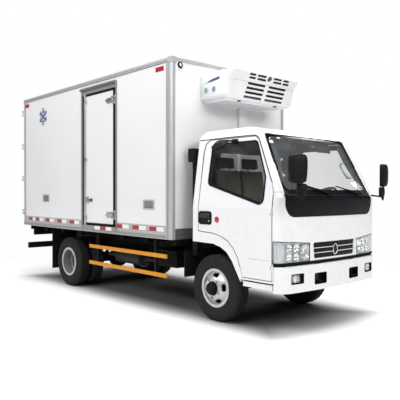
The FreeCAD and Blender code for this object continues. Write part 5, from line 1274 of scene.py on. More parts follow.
def door_outsides():
    """Handles, locks and reflectors on the cab doors."""
    for name, side in SIDES:
        body = f"cab_door_{name}"
        frame_piece, bowl, flap = Shape(), Shape(), Shape()
        y = side_skin(side, -72, 1204)[0].y
        outer = rounded(facing_y(y, (-183, 36), (1128, 1281)), 34)
        inner = rounded(facing_y(y, (-165, 18), (1146, 1263)), 24)
        frame_piece.frame_prism([p - Vector((0, side * 2, 0)) for p in outer],
                                [p - Vector((0, side * 2, 0)) for p in inner], (0, side * 10, 0))
        frame_piece.make(f"door_handle_frame_{name}", "grain_black", body=body, bevel=3)
        bowl.prism([p + Vector((0, -side * 1, 0)) for p in inner], (0, side * 2, 0))
        bowl.make(f"door_handle_bowl_{name}", "gloss_black", body=body)
        rows = []
        for i in range(9):
            z = 1198 + 58 * i / 8
            swell = 13 * math.sin(math.pi * min(1, 0.12 + i / 8 * 0.88))
            rows.append([(-158 + k * 21, y + side * (2 + swell),
                          z + 4 * math.sin(math.pi * k / 8)) for k in range(9)])
        flap.sheet(rows, (0, -side * 2.5, 0))
        flap.make(f"door_handle_flap_{name}", "engine_grey", slot="plastic_grey", body=body, bevel=0.8)
        lock = Shape()
        lock.lathe([(-2, 0.1), (-2, 9), (4, 9), (5.5, 7), (5.5, 0.1)], (-10, y + side, 1168),
                   (0, side, 0), 20)
        lock.make(f"door_lock_{name}", "stainless", body=body)
        disc = Shape()
        p, n = side_skin(side, 120, 1190)
        disc.lathe([(-2, 0.1), (-2, 36), (3, 36), (6, 32), (7.5, 20), (8, 0.1)], p, n, 36)
        disc.make(f"door_reflector_{name}", "lens_red", body=body)


def steps():
    """Treads in the step wells, with a bright strip along their edges."""
    tread, slot, ribs, edges = Shape(), Shape(), Shape(), Shape()
    for side in (RIGHT, LEFT):
        y0, y1 = side * 704, side * 922
        tread.box((530, 922), (y0, y1), (545.5, 549))
        for k in range(9):
            y = side * (716 + k * 24)
            ribs.box((536, 916), (y - 4, y + 4), (548.5, 552))
        slot.box((534, 918), (side * 690, side * 699.5), (494, 590))
        slot.box((532, 920), (side * 879, side * 885), (549, 584))
        # bright strip along the step's outer edge
        edges.box((528, 924), (side * 923.5, side * 925.5), (526, 544))
    tread.make("step_treads", "rubber", bevel=1)
    ribs.make("step_ribs", "grain_black", bevel=0.8)
    edges.make("step_edges", "cab_paint", bevel=0.6)
    slot.make("step_backs", "chassis", bevel=1)


def headlamps():
    """Lenses, backs, walls, bowls and bulbs of both headlamps."""
    for name, side in SIDES:
        def top_at(angle):
            reach = 446 + (angle + 8.5) / 69.5 * 484
            return 964 + (reach - 446) * 56 / 754 - 4
        count, levels = 19, 9

        def grid(lift, thick, inset=0.0):
            rows, backs = [], []
            for i in range(levels):
                row, back = [], []
                for k in range(count):
                    angle = -8.2 + inset * 0.16 + (68.6 - inset * 0.3) * k / (count - 1)
                    low = 770 + inset
                    z = low + (top_at(angle) - inset - low) * i / (levels - 1)
                    p, n = corner_skin(side, angle, z, 0)
                    row.append(p + n * lift)
                    back.append(n * thick)
                rows.append(row)
                backs.append(back)
            return rows, backs
        lens, backs = grid(0.6, -3)
        Shape().sheet(lens, backs).make(f"headlamp_lens_{name}", "lens_clear",
                                        slot="lamp_clear", replaces=("headlamps",))
        base, backs = grid(-52, -6, 3)
        Shape().sheet(base, backs).make(f"headlamp_back_{name}", "reflector", bevel=0.5)
        walls, edge = Shape(), Shape()
        ring = [(-8.2 + 68.6 * k / 18, 0) for k in range(19)] + [(60.4, 0.25), (60.4, 0.5), (60.4, 0.75)]
        ring += [(60.4 - 68.6 * k / 18, 1) for k in range(19)] + [(-8.2, 0.75), (-8.2, 0.5), (-8.2, 0.25)]
        outer, inner, deep_outer, deep_inner, rim, normals = [], [], [], [], [], []
        for angle, share in ring:
            z = 770 + (top_at(angle) - 770) * share
            p, n = corner_skin(side, angle, z, 0)
            mid = 26
            q, m = corner_skin(side, angle + (mid - angle) * 0.035, z + (880 - z) * 0.05, 0)
            outer.append(p + n * -4)
            inner.append(q + m * -4)
            deep_outer.append(p + n * -56)
            deep_inner.append(q + m * -56)
            rim.append(p)
            normals.append(n)
        walls.tube([outer, inner, deep_inner, deep_outer])
        walls.make(f"headlamp_walls_{name}", "lamp_bright", smooth=25)
        edge.sweep(rim, mirrored([(3.5, -5), (3.5, 1.6)]), normals, closed=True)
        edge.make(f"headlamp_edge_{name}", "grain_black")
        bowls, bulbs, amber = Shape(), Shape(), Shape()
        for angle, z, radius, tint in ((0.5, 868, 80, 0), (22, 916, 43, 0), (22, 822, 40, 0),
                                       (37, 920, 36, 1), (37, 826, 36, 0)):
            p, normal = corner_skin(side, angle, z, 0)
            way = (Vector((1, 0, 0)) + normal * 0.5).normalized()
            at = p - normal * 14
            r, d = radius, radius * 0.62
            d = min(d, 36)
            bowls.lathe([(0, r), (-d * 0.28, r * 0.93), (-d * 0.62, r * 0.7), (-d * 0.9, r * 0.4),
                         (-d, 0.1), (-d - 3, 0.1), (-d * 0.95 - 3, r * 0.46), (-d * 0.66 - 3, r * 0.78),
                         (-d * 0.3 - 2, r + 2), (0, r + 3)], at, way, 40)
            target = amber if tint else bulbs
            target.lathe([(-d, 0.1), (-d, r * 0.2 + 2), (-d * 0.55, r * 0.18 + 2), (-d * 0.3, r * 0.12 + 1),
                          (-d * 0.24, 0.1)], at, way, 20)
        bowls.make(f"headlamp_bowls_{name}", "lamp_bowl", smooth=50)
        bulbs.make(f"headlamp_bulbs_{name}", "chrome")
        amber.make(f"headlamp_amber_{name}", "lens_amber")


def grille_bars():
    """Bars, slats and the plain ring of the grille."""
    bars, slats, ring, plate = Shape(), Shape(), Shape(), Shape()
    for z in (903, 849):
        path, outs = draped([(y, z) for y in range(-384, 385, 32)], front_skin)
        bars.sweep(path, mirrored([(6.5, -2), (6.5, 6), (4, 9)]), outs)
    for z in (938, 921, 885, 867, 831, 813):
        path, outs = draped([(y, z) for y in range(-376, 377, 47)], front_skin)
        slats.sweep(path, mirrored([(4, -2), (2, 5)]), outs)
    for y in (-250, -125, 125, 250):
        path, outs = draped([(y, z) for z in (796, 838, 880, 922, 958)], front_skin)
        slats.sweep(path, mirrored([(3, -2), (3, 2)]), outs)
    bars.make("grille_bars", "chrome", bevel=1)
    slats.make("grille_slats", "grain_black", bevel=0.8)
    centre, normal = front_skin(0, 872, 9)
    points = [centre + Vector((0, 38 * math.cos(a),
                               58 * math.sin(a))) for a in (math.tau * k / 48 for k in range(48))]
    ring.sweep(points, mirrored([(6, -3), (4, 5)]), normal, closed=True)
    ring.make("grille_ring", "chrome", bevel=1.2)
    plate.prism([centre + Vector((-10, 37 * math.cos(a),
                                  57 * math.sin(a))) for a in (math.tau * k / 48 for k in range(48))],
                (12, 0, 0))
    plate.make("grille_ring_plate", "gloss_black", bevel=2)
    lip = Shape()
    edge = outline_points(mirrored([(376, 792), (392, 962)]), 22)
    path = []
    for y, z in edge:
        p, _ = front_skin(y * 1.02 + (4 if y > 0 else -4), z + (9 if z > 880 else -9), 0)
        path.append(p)
    lip.sweep(path, [(-4, -4), (4, -4), (4, 3), (0, 4.5), (-4, 3)], (1, 0, 0), closed=True)
    lip.make("grille_lip", "cab_paint")


def bowed(y, ahead, radius):
    """How far ahead a bowed face is at a distance across."""
    return ahead - radius + math.sqrt(radius ** 2 - y * y)


def bumper_front(y):
    return bowed(y, 1104, 6200)


def bumper_fittings():
    """Recesses with fog lamps and towing hooks, and painted shade in the gap above the bumper."""
    liners, lenses, reflectors, hooks, rims = Shape(), Shape(), Shape(), Shape(), Shape()
    for side in (RIGHT, LEFT):
        for low, high, z0, z1 in ((216, 420, 520, 644), (584, 774, 550, 658)):
            fog = low > 500
            y0, y1 = sorted((side * (low + 1.5), side * (high - 1.5)))
            x0, x1 = bumper_front(y0), bumper_front(y1)
            deep = 58

            def ring(drop, inset):
                corners = [(x0 - drop, y0 + inset, z0 + 1.5 + inset),
                           (x1 - drop, y1 - inset, z0 + 1.5 + inset),
                           (x1 - drop, y1 - inset, z1 - 1.5 - inset),
                           (x0 - drop, y0 + inset, z1 - 1.5 - inset)]
                return rounded(corners, 14, 4)
            liners.tube([ring(-1.5, 0), ring(-1.5, 6), ring(deep, 8), ring(deep, 0)])
            liners.prism(ring(deep - 4, 6), (-5, 0, 0))
            if fog:
                # lamp set towards the outer end of its recess
                ya, yb = sorted((side * (low + 42), side * (high - 12)))
                xa, xb = bumper_front(ya) - 14, bumper_front(yb) - 14
                face = rounded([(xa, ya, z0 + 14), (xb, yb, z0 + 14), (xb, yb, z1 - 14),
                                (xa, ya, z1 - 14)], 16, 4)
                lenses.prism(face, (-3, 0, 0))
                rims.frame_prism(rounded([(xa + 1, ya - 5, z0 + 9), (xb + 1, yb + 5, z0 + 9),
                                          (xb + 1, yb + 5, z1 - 9), (xa + 1, ya - 5, z1 - 9)], 20, 4),
                                 face, (-12, 0, 0))
                mid = (ya + yb) / 2
                reflectors.prism(rounded([(xa - 24, ya + 2, z0 + 16), (xb - 24, yb - 2, z0 + 16),
                                          (xb - 24, yb - 2, z1 - 16), (xa - 24, ya + 2, z1 - 16)], 14, 4),
                                 (-3, 0, 0))
                reflectors.lathe([(0, 36), (-8, 32), (-18, 18), (-20, 0.1), (-23, 0.1), (-20, 22),
                                  (-8, 36), (0, 39)], (bumper_front(mid) - 18, mid, (z0 + z1) / 2),
                                 (1, 0, 0), 32)
            else:
                hooks.rod((x0 - 50, (y0 + y1) / 2 - 20, z0 + 34), (x0 - 12, (y0 + y1) / 2 - 20, z0 + 34),
                          9, 16)
                points = [((x0 - 12 + 22 * math.sin(a)), (y0 + y1) / 2 - 20 + 22 - 22 * math.cos(a),
                           z0 + 34) for a in (math.pi * k / 10 for k in range(11))]
                hooks.sweep(points, round_section(8, 12), (0, 0, 1))
    liners.make("bumper_recesses", "gloss_black", smooth=30)
    lenses.make("fog_lenses", "lens_clear", slot="lamp_clear")
    rims.make("fog_rims", "grain_black", bevel=1)
    reflectors.make("fog_reflectors", "reflector", smooth=50)
    hooks.make("tow_hooks", "chassis")
    # a black strip in the gap between bumper and nose, painted shade
    gap = Shape()
    path, outs = [], []
    for k in range(49):
        y = -830 + 1660 * k / 48
        path.append(Vector((bowed(y, 1062, 6800) - 9, y, 743)))
        outs.append(Vector((1, 0, 0)))
    for side in (RIGHT, LEFT):
        arc, ways = [], []
        for k in range(1, 9):
            a = math.radians(82 * k / 8)
            way = Vector((math.cos(a), side * math.sin(a), 0))
            arc.append(Vector((911, side * 826, 743)) + way * 92)
            ways.append(way)
        if side == LEFT:
            path, outs = path + arc, outs + ways
        else:
            path, outs = arc[::-1] + path, ways[::-1] + outs
    gap.sweep(path, mirrored([(17, -6), (17, 0)]), outs)
    # painted shade: a dark band along the nose's foot, carried round to the arches
    run = [(-1, a) for a in range(60, 0, -4)]
    run += [(0, y) for y in range(-500, 501, 50)]
    run += [(1, a) for a in range(4, 61, 4)]
    path, outs = draped(run, lambda end, v: corner_skin(end, v, 761.5) if end else front_skin(v, 761.5))
    gap.sweep(path, mirrored([(10, -3), (10, 2), (7, 3.4)]), outs)
    gap.make("bumper_gap_painted_shade", "rubber")


# the corners of a rectangle, as signs across and up
CORNERS = ((-1, -1), (1, -1), (1, 1), (-1, 1))
# side, then the middle: ahead, out and up, and the turn about the upright in degrees
MIRRORS = ((RIGHT, 1294, 976, 1728, -25), (LEFT, 1057, 1046, 1713, 18))


def frit():
    """Black printed border round the windscreen, widest at its foot."""
    inner_corners = mirrored([(766, 1528), (694, 2106)])
    pairs = []
    outer = [(p.x, p.z) for p in rounded([(a, 0, b) for a, b in SCREEN], 30, 6)]
    inner = [(p.x, p.z) for p in rounded([(a, 0, b) for a, b in inner_corners], 56, 6)]
    for i, (a, b) in enumerate(zip(outer, inner)):
        c, d = outer[(i + 1) % len(outer)], inner[(i + 1) % len(inner)]
        n = max(1, int(math.hypot(c[0] - a[0], c[1] - a[1]) / 45))
        pairs += [((a[0] + (c[0] - a[0]) * k / n, a[1] + (c[1] - a[1]) * k / n),
                   (b[0] + (d[0] - b[0]) * k / n, b[1] + (d[1] - b[1]) * k / n)) for k in range(n)]
    rings = [[], [], [], []]
    for a, b in pairs:
        p, m = front_skin(*a)
        q, n = front_skin(*b)
        if p is None or q is None:
            continue
        rings[0].append(p + m * 0.8)
        rings[1].append(q + n * 0.8)
        rings[2].append(q - n * 0.4)
        rings[3].append(p - m * 0.4)
    Shape().tube(rings).make("screen_border", "gloss_black", smooth=50)


def mirror_heads():
    """Each mirror's middle, ways ahead and across, width, height, depth and its housing's lip."""
    for side, x, out, z, turn in MIRRORS:
        a = math.radians(turn)
        ahead = Vector((math.cos(a), math.sin(a), 0))
        across = Vector((-math.sin(a), math.cos(a), 0))
        centre = Vector((x, side * out, z))
        yield centre, ahead, across, 174, 272, 62, 7
        yield centre + across * -side * 58 + Vector((-16, 0, -206)), ahead, across, 96, 114, 44, 4


def mirror_shells():
    """Domed housings over the mirror heads."""
    shells = Shape()
    sides = 48
    for at, ahead, across, wide, tall, deep, more in mirror_heads():
        w, h = wide / 2 + more, tall / 2 + 5
        rings = []
        for along, scale in ((-deep / 2 + 3, 0.985), (-deep / 2 + 9, 1.0), (0, 1.0), (deep / 2 - 8, 0.975),
                             (deep / 2 + 1, 0.92), (deep / 2 + 8, 0.83), (deep / 2 + 13, 0.66),
                             (deep / 2 + 16, 0.42), (deep / 2 + 17, 0.14)):
            ring = []
            for k in range(sides):
                c, s = math.cos(math.tau * k / sides), math.sin(math.tau * k / sides)
                u = math.copysign(abs(c) ** 0.42, c) * w
                v = math.copysign(abs(s) ** 0.42, s) * h
                low = 1 - 0.10 * max(0.0, -v / h)
                ring.append(at + ahead * along + across * (u * scale * low) + Vector((0, 0, v * scale)))
            rings.append(ring)
        shells.loft(rings)
    shells.make("mirror_shells", "grain_black", smooth=55)


def mirror_faces():
    """Glass and ribs of the door mirrors, and the glass of the kerb mirror."""
    glass, ribs = Shape(), Shape()
    for at, ahead, across, wide, tall, deep, _ in mirror_heads():
        w, h = wide / 2 - 9, tall / 2 - 9
        face = at - ahead * (deep / 2 - 1.5)
        corners = [face + across * i * w + Vector((0, 0, j * h)) for i, j in CORNERS]
        glass.prism(rounded(corners, 22, 5), ahead * -3)
        front = at + ahead * (deep / 2)
        for k in (-1, 0, 1):
            foot, head = (front + across * k * w * 0.4 + Vector((0, 0, h * j)) - ahead * 3
                          for j in (-0.55, 0.55))
            ribs.rod(foot, head, 1.6, 8)
    glass.make("mirror_faces", "chrome", bevel=0.6)
    ribs.make("mirror_ribs", "grain_black")
    way = Vector((0, -0.56, 0.83)).normalized()
    at = Vector((205, -962, 2016))
    p = on_skin(at - way * 300, way, 0, tree_of(["kerb_mirror"]))[0]
    if p is not None:
        plate = Shape()
        plate.lathe([(-2, 0.1), (-2, 84), (1, 84), (4, 60), (6, 30), (7, 0.1)], p, -way, 40)
        plate.make("kerb_mirror_face", "chrome", body="cab_door_right", smooth=60)


def stickers():
    """Small blank notes at the windscreen's top corner."""
    notes = Shape()
    for y, z, wide, tall in ((-690, 2092, 40, 30), (-676, 2048, 60, 34), (-540, 2096, 56, 16)):
        n = front_skin(y, z)[1]
        corners = [front_skin(y + i * wide / 2, z + j * tall / 2, 0.8)[0] for i, j in CORNERS]
        notes.prism(rounded(corners, min(wide, tall) * 0.42, 5), -n * 1.2)
    notes.make("screen_stickers", "sticker")


glass_surrounds()
cowl()
seams()
wipers()
door_outsides()
steps()
headlamps()
grille_bars()
bumper_fittings()
mirror_faces()
mirror_shells()
frit()
stickers()


# ---------------------------------------------------------------- refrigeration unit: slots, seams, marks
UNIT_JOINT = 2862
UNIT_RIGHT, UNIT_LEFT = -587, 667
UNIT_EDGE = 58


def unit_outline(drop):
    """The case's side view with every edge but the one on the wall moved in, and its corners turned."""
    corners = [(0.0, 2640.0), (451.0, 2640.0), (511.0, UNIT_JOINT), (601.0, 2979.0), (0.0, 3015.0)]
    radii = (5, 58, 60, 14, 10)
    lines = []
    for i, (a, b) in enumerate(corners):
        c, d = corners[(i + 1) % 5]
        length = math.hypot(c - a, d - b)
        by = 0.0 if i == 4 else drop
        lines.append(((a - (d - b) / length * by, b + (c - a) / length * by), (c - a, d - b)))
    moved = []
    for i in range(5):
        (px, pz), (ux, uz) = lines[i - 1]
        (qx, qz), (vx, vz) = lines[i]
        t = ((qx - px) * vz - (qz - pz) * vx) / (ux * vz - uz * vx)
        moved.append((px + ux * t, 0, pz + uz * t))
    return [(p.x, p.z) for p in rounded(moved, [max(r - drop * 0.7, 4) for r in radii], 7)]


def unit_case():
    """The moulded case with turned edges, and the cover over the pipes below it."""
    case, cover = Shape(), Shape()
    turns = [math.radians(a) for a in (0, 15, 30, 45, 60, 75, 90)]
    rows = [(UNIT_RIGHT + UNIT_EDGE * (1 - math.sin(t)),
             UNIT_EDGE * (1 - math.cos(t))) for t in turns[::-1]]
    rows += [(UNIT_LEFT - UNIT_EDGE * (1 - math.sin(t)), UNIT_EDGE * (1 - math.cos(t))) for t in turns]
    rings = [[(BOX_FRONT + a, y, b) for a, b in unit_outline(drop)] for y, drop in rows]
    case.loft(rings)
    case.make("unit_case", "unit_shell", smooth=50, replaces=("refrigeration_unit",))
    cover.box((BOX_FRONT + 0.3, BOX_FRONT + 46), (85, 225), (1100, 2650))
    cover.make("unit_line_cover", "box_panel", slot="unit_white", bevel=9, replaces=("refrigeration_unit",))
    return BVHTree.FromPolygons([place(v) for v in case.verts], case.faces)


UNIT = unit_case()


def unit_face(y, z, lift=0.0):
    """The refrigeration unit's face at a distance across and up."""
    return on_skin((2500, y, z), (-1, 0, 0), lift, UNIT)


def unit_slot(frames, voids, y0, y1, z0, z1):
    """A round-ended slot: a raised lip with a dark grille inside."""
    n = unit_face((y0 + y1) / 2, (z0 + z1) / 2)[1]
    rims = [facing_x(0, (y0 - lip, y1 + lip), (z0 - lip, z1 + lip)) for lip in (4, 0)]
    outer, inner = ([unit_face(y, z, -1.5)[0] for _, y, z in rim] for rim in rims)
    outer, inner = rounded(outer, 9, 4), rounded(inner, 7, 4)
    frames.frame_prism(outer, inner, n * 4)
    voids.prism(inner, n * 2.2)


def cooling_unit():
    """Slots, seam and sight glass of the refrigeration unit's face."""
    lips, voids, seam = Shape(), Shape(), Shape()
    # lower face: four rows of two long slots
    for row in range(4):
        z = 2848 - row * 54
        for y0, y1 in ((-250, 68), (138, 470)):
            unit_slot(lips, voids, y0 - row * 12, y1 - row * 9, z - 14, z + 14)
    # upper face: two rows of four short slots with a round sight glass between
    for row in range(2):
        z = 2947 - row * 36
        for y0, y1 in ((-288, -178), (-142, 14), (160, 314), (348, 458)):
            unit_slot(lips, voids, y0 + row * 18, y1 + row * 22, z - 11, z + 11)
    # the joint between the shell's two mouldings
    path, outs = draped([(y, UNIT_JOINT + 3) for y in range(UNIT_RIGHT + 40, UNIT_LEFT - 39, 40)],
                        unit_face)
    seam.sweep(path, mirrored([(1.2, -3), (1.2, 0.3)]), outs)
    at, n = unit_face(88, 2932)
    glass = Shape()
    glass.lathe([(-2, 0.1), (-2, 33), (4, 33), (7, 29), (7, 24), (5, 22), (5.5, 10), (6, 0.1)], at, n, 36)
    glass.make("unit_sight_glass", "screen_dark")
    lips.make("unit_slot_lips", "unit_shell", bevel=0.8)
    voids.make("unit_slot_voids", "gloss_black")
    seam.make("unit_seam", "grain_black")


def unit_base():
    """The tray under the refrigeration unit, its slats and its latches."""
    tray, feet = Shape(), Shape()
    tray.box((BOX_FRONT + 6, BOX_FRONT + 396), (UNIT_RIGHT + 58, UNIT_LEFT - 58), (2631, 2641))
    # the tray glows faintly as painted light, in place of light bounced up from the floor
    tray.make("unit_tray", "unit_under_painted_glow", bevel=3)
    for k in range(9):
        x = BOX_FRONT + 40 + k * 37
        feet.box((x, x + 14), (UNIT_RIGHT + 110, UNIT_LEFT - 110), (2629, 2632))
    feet.make("unit_tray_slats", "alloy", bevel=1)
    latch = Shape()
    for y in (-300, 380):
        latch.box((BOX_FRONT + 388, BOX_FRONT + 414), (y - 26, y + 26), (2628, 2644))
        latch.bolt((BOX_FRONT + 414, y, 2636), (1, 0, 0), 5, 4)
    latch.make("unit_latches", "grain_black", bevel=2)


def unit_sides():
    """Rivets of the cover over the pipes, and the vents and screws on the unit's sides."""
    cover = Shape()
    for z in (1180, 1560, 1940, 2320, 2620):
        for y in (92, 218):
            cover.rivet((BOX_FRONT + 46, y, z), (1, 0, 0), 5, 2.5)
    cover.make("line_cover_rivets", "stainless")
    vents = Shape()
    for k in range(6):
        vents.prism(rounded(facing_y(UNIT_LEFT - 1, (BOX_FRONT + 90 + k * 46, BOX_FRONT + 110 + k * 46),
                                     (2720, 2880)), 9, 4), (0, 3, 0))
    vents.make("unit_side_vents", "gloss_black", bevel=0.6)
    screws = Shape()
    for x, z in ((30, 2712), (30, 2932), (230, 2712), (230, 2932), (380, 2712)):
        for side, y in ((RIGHT, UNIT_RIGHT), (LEFT, UNIT_LEFT)):
            screws.rivet((BOX_FRONT + x, y, z), (0, side, 0), 6, 3)
    screws.make("unit_screws", "stainless")


def unit_marks():
    """Plain stripes and discs, without the lettering and the drawn figure."""
    blue, sky, green, rims = Shape(), Shape(), Shape(), Shape()
    y = UNIT_RIGHT
    fade = moved([(92, 2858), (190, 2858), (340, 2876), (356, 2890), (340, 2908), (220, 2893)],
                 BOX_FRONT, 0)
    blue.prism(rounded([(x, y + 0.5, z) for x, z in fade], 8, 4), (0, -1.6, 0))
    sky.prism(moved([(60, 0.5, 2848), (150, 0.5, 2849), (120, 0.5, 2858)], BOX_FRONT, y, 0), (0, -1.3, 0))
    for shape, x in ((green, 110), (sky, 250)):
        at = Vector((BOX_FRONT + x, y, 2765))
        ring = [at + Vector((30 * math.cos(a), 0.5,
                             34 * math.sin(a))) for a in (math.tau * k / 32 for k in range(32))]
        shape.prism(ring, (0, -2.6, 0))
        rims.sweep(ring, mirrored([(3, -1), (2, 3.6)]), (0, -1, 0), closed=True)
    blue.make("unit_stripe", "mark_blue", bevel=0.5)
    sky.make("unit_disc_blue", "mark_sky", bevel=0.5)
    green.make("unit_disc_green", "mark_green", bevel=0.5)
    rims.make("unit_disc_rims", "alloy", bevel=0.6)
    top = Shape()
    at = on_skin((BOX_FRONT + 250, UNIT_RIGHT - 300, 2995), (0, 1, 0), 0, UNIT)[0]
    if at is not None:
        for x0, x1 in ((222, 262), (270, 330)):
            top.prism(rounded(moved([(BOX_FRONT + x0, 0.5, 2983), (BOX_FRONT + x1, 0.5, 2983),
                                     (BOX_FRONT + x1 + 6, 0.5, 2999), (BOX_FRONT + x0 + 6, 0.5, 2999)], 0,
                                    at.y, 0), 4, 3), (0, -1.8, 0))
        top.make("unit_top_mark", "mark_blue", bevel=0.4)


cooling_unit()
unit_base()
unit_sides()
unit_marks()


# ---------------------------------------------------------------- cab interior
def channel(mesh, across, lines, depth, width):
    """Sewn channels pressed into a pad: lines are distances along a direction, in metres."""
    for v in mesh.vertices:
        s = v.co.dot(across)
        dip = sum(math.exp(-((s - at) / width) ** 2) for at in lines)
        v.co -= v.normal * depth * min(dip, 1)


def pad(name, centre, right, up, size, mat, lines=(), grow=26, body="truck", replaces=()):
    """A cushion as a crowned, closed form; size is its width, height and thickness in mm."""
    right, up = Vector(right).normalized(), Vector(up).normalized()
    out = right.cross(up)
    wide, tall, thick = (s / 2 for s in size)
    count = 22
    front, back = [], []
    for i in range(count + 1):
        v = -1 + 2 * i / count
        v = math.copysign(abs(v) ** 0.8, v)
        row, behind = [], []
        for k in range(count + 1):
            u = -1 + 2 * k / count
            u = math.copysign(abs(u) ** 0.8, u)
            puff = ((1 - abs(u) ** 5) * (1 - abs(v) ** 5)) ** 0.4
            pinch_u = 1 - 0.018 * (1 - v * v)
            pinch_v = 1 - 0.022 * (1 - u * u)
            at = Vector(centre) + right * (u * wide * pinch_u) + up * (v * tall * pinch_v)
            edge = thick * 0.34
            row.append(at + out * (edge + (thick - edge) * puff))
            behind.append(at - out * (edge + (thick - edge) * 0.55 * puff))
        front.append(row)
        back.append(behind)
    shape = Shape()
    vectors = [[b - a for a, b in zip(r, s)] for r, s in zip(front, back)]
    shape.sheet(front, vectors)
    piece = shape.make(name, mat, body=body, slot="seat_fabric", smooth=80, replaces=replaces)
    inflate(piece, grow / 1000)
    mesh = piece.data
    if lines:
        base = place(centre).dot(right)
        channel(mesh, right, [base + s / 1000 for s in lines], 0.007, 0.006)
    smooth = piece.modifiers.new("rounding", "SUBSURF")
    smooth.levels = 1
    smooth.render_levels = 1
    return piece


def inflate(piece, cap):
    """Cloth under slight pressure, its movement capped, kept as plain mesh."""
    scene.frame_set(1)
    skin = piece.modifiers.new("even", "REMESH")
    skin.mode = "VOXEL"
    skin.voxel_size = 0.012
    settle(piece)
    rest = [v.co.copy() for v in piece.data.vertices]
    cloth = piece.modifiers.new("cloth", "CLOTH")
    cloth.settings.use_pressure = True
    cloth.settings.uniform_pressure_force = 4
    cloth.settings.tension_stiffness = 18
    cloth.settings.compression_stiffness = 18
    cloth.settings.quality = 4
    cloth.settings.effector_weights.gravity = 0
    for k in range(1, 19):
        scene.frame_set(k)
    settle(piece)
    for v, start in zip(piece.data.vertices, rest):
        move = v.co - start
        if move.length > cap:
            v.co = start + move.normalized() * cap
    scene.frame_set(1)
    piece.data.shade_smooth()


def settle(piece):
    """The piece's present shape as its mesh, with no modifiers left."""
    view = bpy.context.evaluated_depsgraph_get()
    shaped = bpy.data.meshes.new_from_object(piece.evaluated_get(view))
    mats = list(piece.data.materials)
    piece.modifiers.clear()
    piece.data = shaped
    shaped.materials.clear()
    for m in mats:
        shaped.materials.append(m)


def seats():
    """Cushions, backs, head rests, bases and belts."""
    lean = Vector((-92, 0, 630)).normalized()
    for name, mid, width, split in (("driver", 470, 480, 1), ("bench", -290, 900, 2)):
        lines = [s * width * 0.26 for s in (-1, 1)] if split == 1 else [-300, -150, 0, 150, 300]
        pad(f"seat_cushion_{name}", (88, mid, 1168), (0, -1, 0), (1, 0, 0.03), (width - 46, 470, 104),
            "seat_cloth", lines, 9, replaces=("seats",))
        part = (width - 40) / split
        for k in range(split):
            y = mid + (k - (split - 1) / 2) * part
            pad(f"seat_back_{name}_{k}", Vector((-112, y, 1500)), (0, 1, 0), lean, (part - 14, 560, 92),
                "seat_cloth", [s * part * 0.24 for s in (-1, 1)], 8, replaces=("seats",))
            pad(f"head_rest_{name}_{k}", Vector((-176, y, 1856)), (0, 1, 0), lean, (270, 128, 84),
                "seat_side", (), 7)
    base, posts, bolsters = Shape(), Shape(), Shape()
    for mid, width in ((470, 480), (-290, 900)):
        base.box((-165, 322), (mid - width / 2 + 8, mid + width / 2 - 8), (1031, 1122))
        for y in ((mid,) if width < 500 else (mid - 220, mid + 220)):
            for dy in (-60, 60):
                posts.rod((-150, y + dy, 1770), (-172, y + dy, 1840), 6, 12)
    base.make("seat_bases", "seat_side", bevel=18, slot="seat_fabric", replaces=("seats",))
    posts.make("head_rest_posts", "chrome")
    for y in (705, -735, 222):
        bolsters.box((-90, -66), (y - 14, y + 14), (1225, 1290))
    bolsters.make("belt_buckles", "grain_black", bevel=4)
    belts = Shape()
    for side in (RIGHT, LEFT):
        path = []
        for k in range(9):
            z = 1180 + k * 90
            p = on_skin((-100, side * 300, z), (0, side, 0))[0]
            if p is not None:
                path.append(Vector((-60 - k * 12, p.y - side * 26, z)))
        if len(path) > 2:
            belts.sweep(path, mirrored([(23, -1), (23, 1)]), (0, -side, 0))
    belts.make("belt_webbing", "seat_side", slot="seat_fabric")


DASH = tree_of(["dashboard"])


def dash_face(y, z, default=None):
    """How far ahead the dashboard's face is, or the default where it is missed."""
    p = on_skin((300, y, z), (1, 0, 0), 0, DASH)[0]
    return default if p is None else p.x


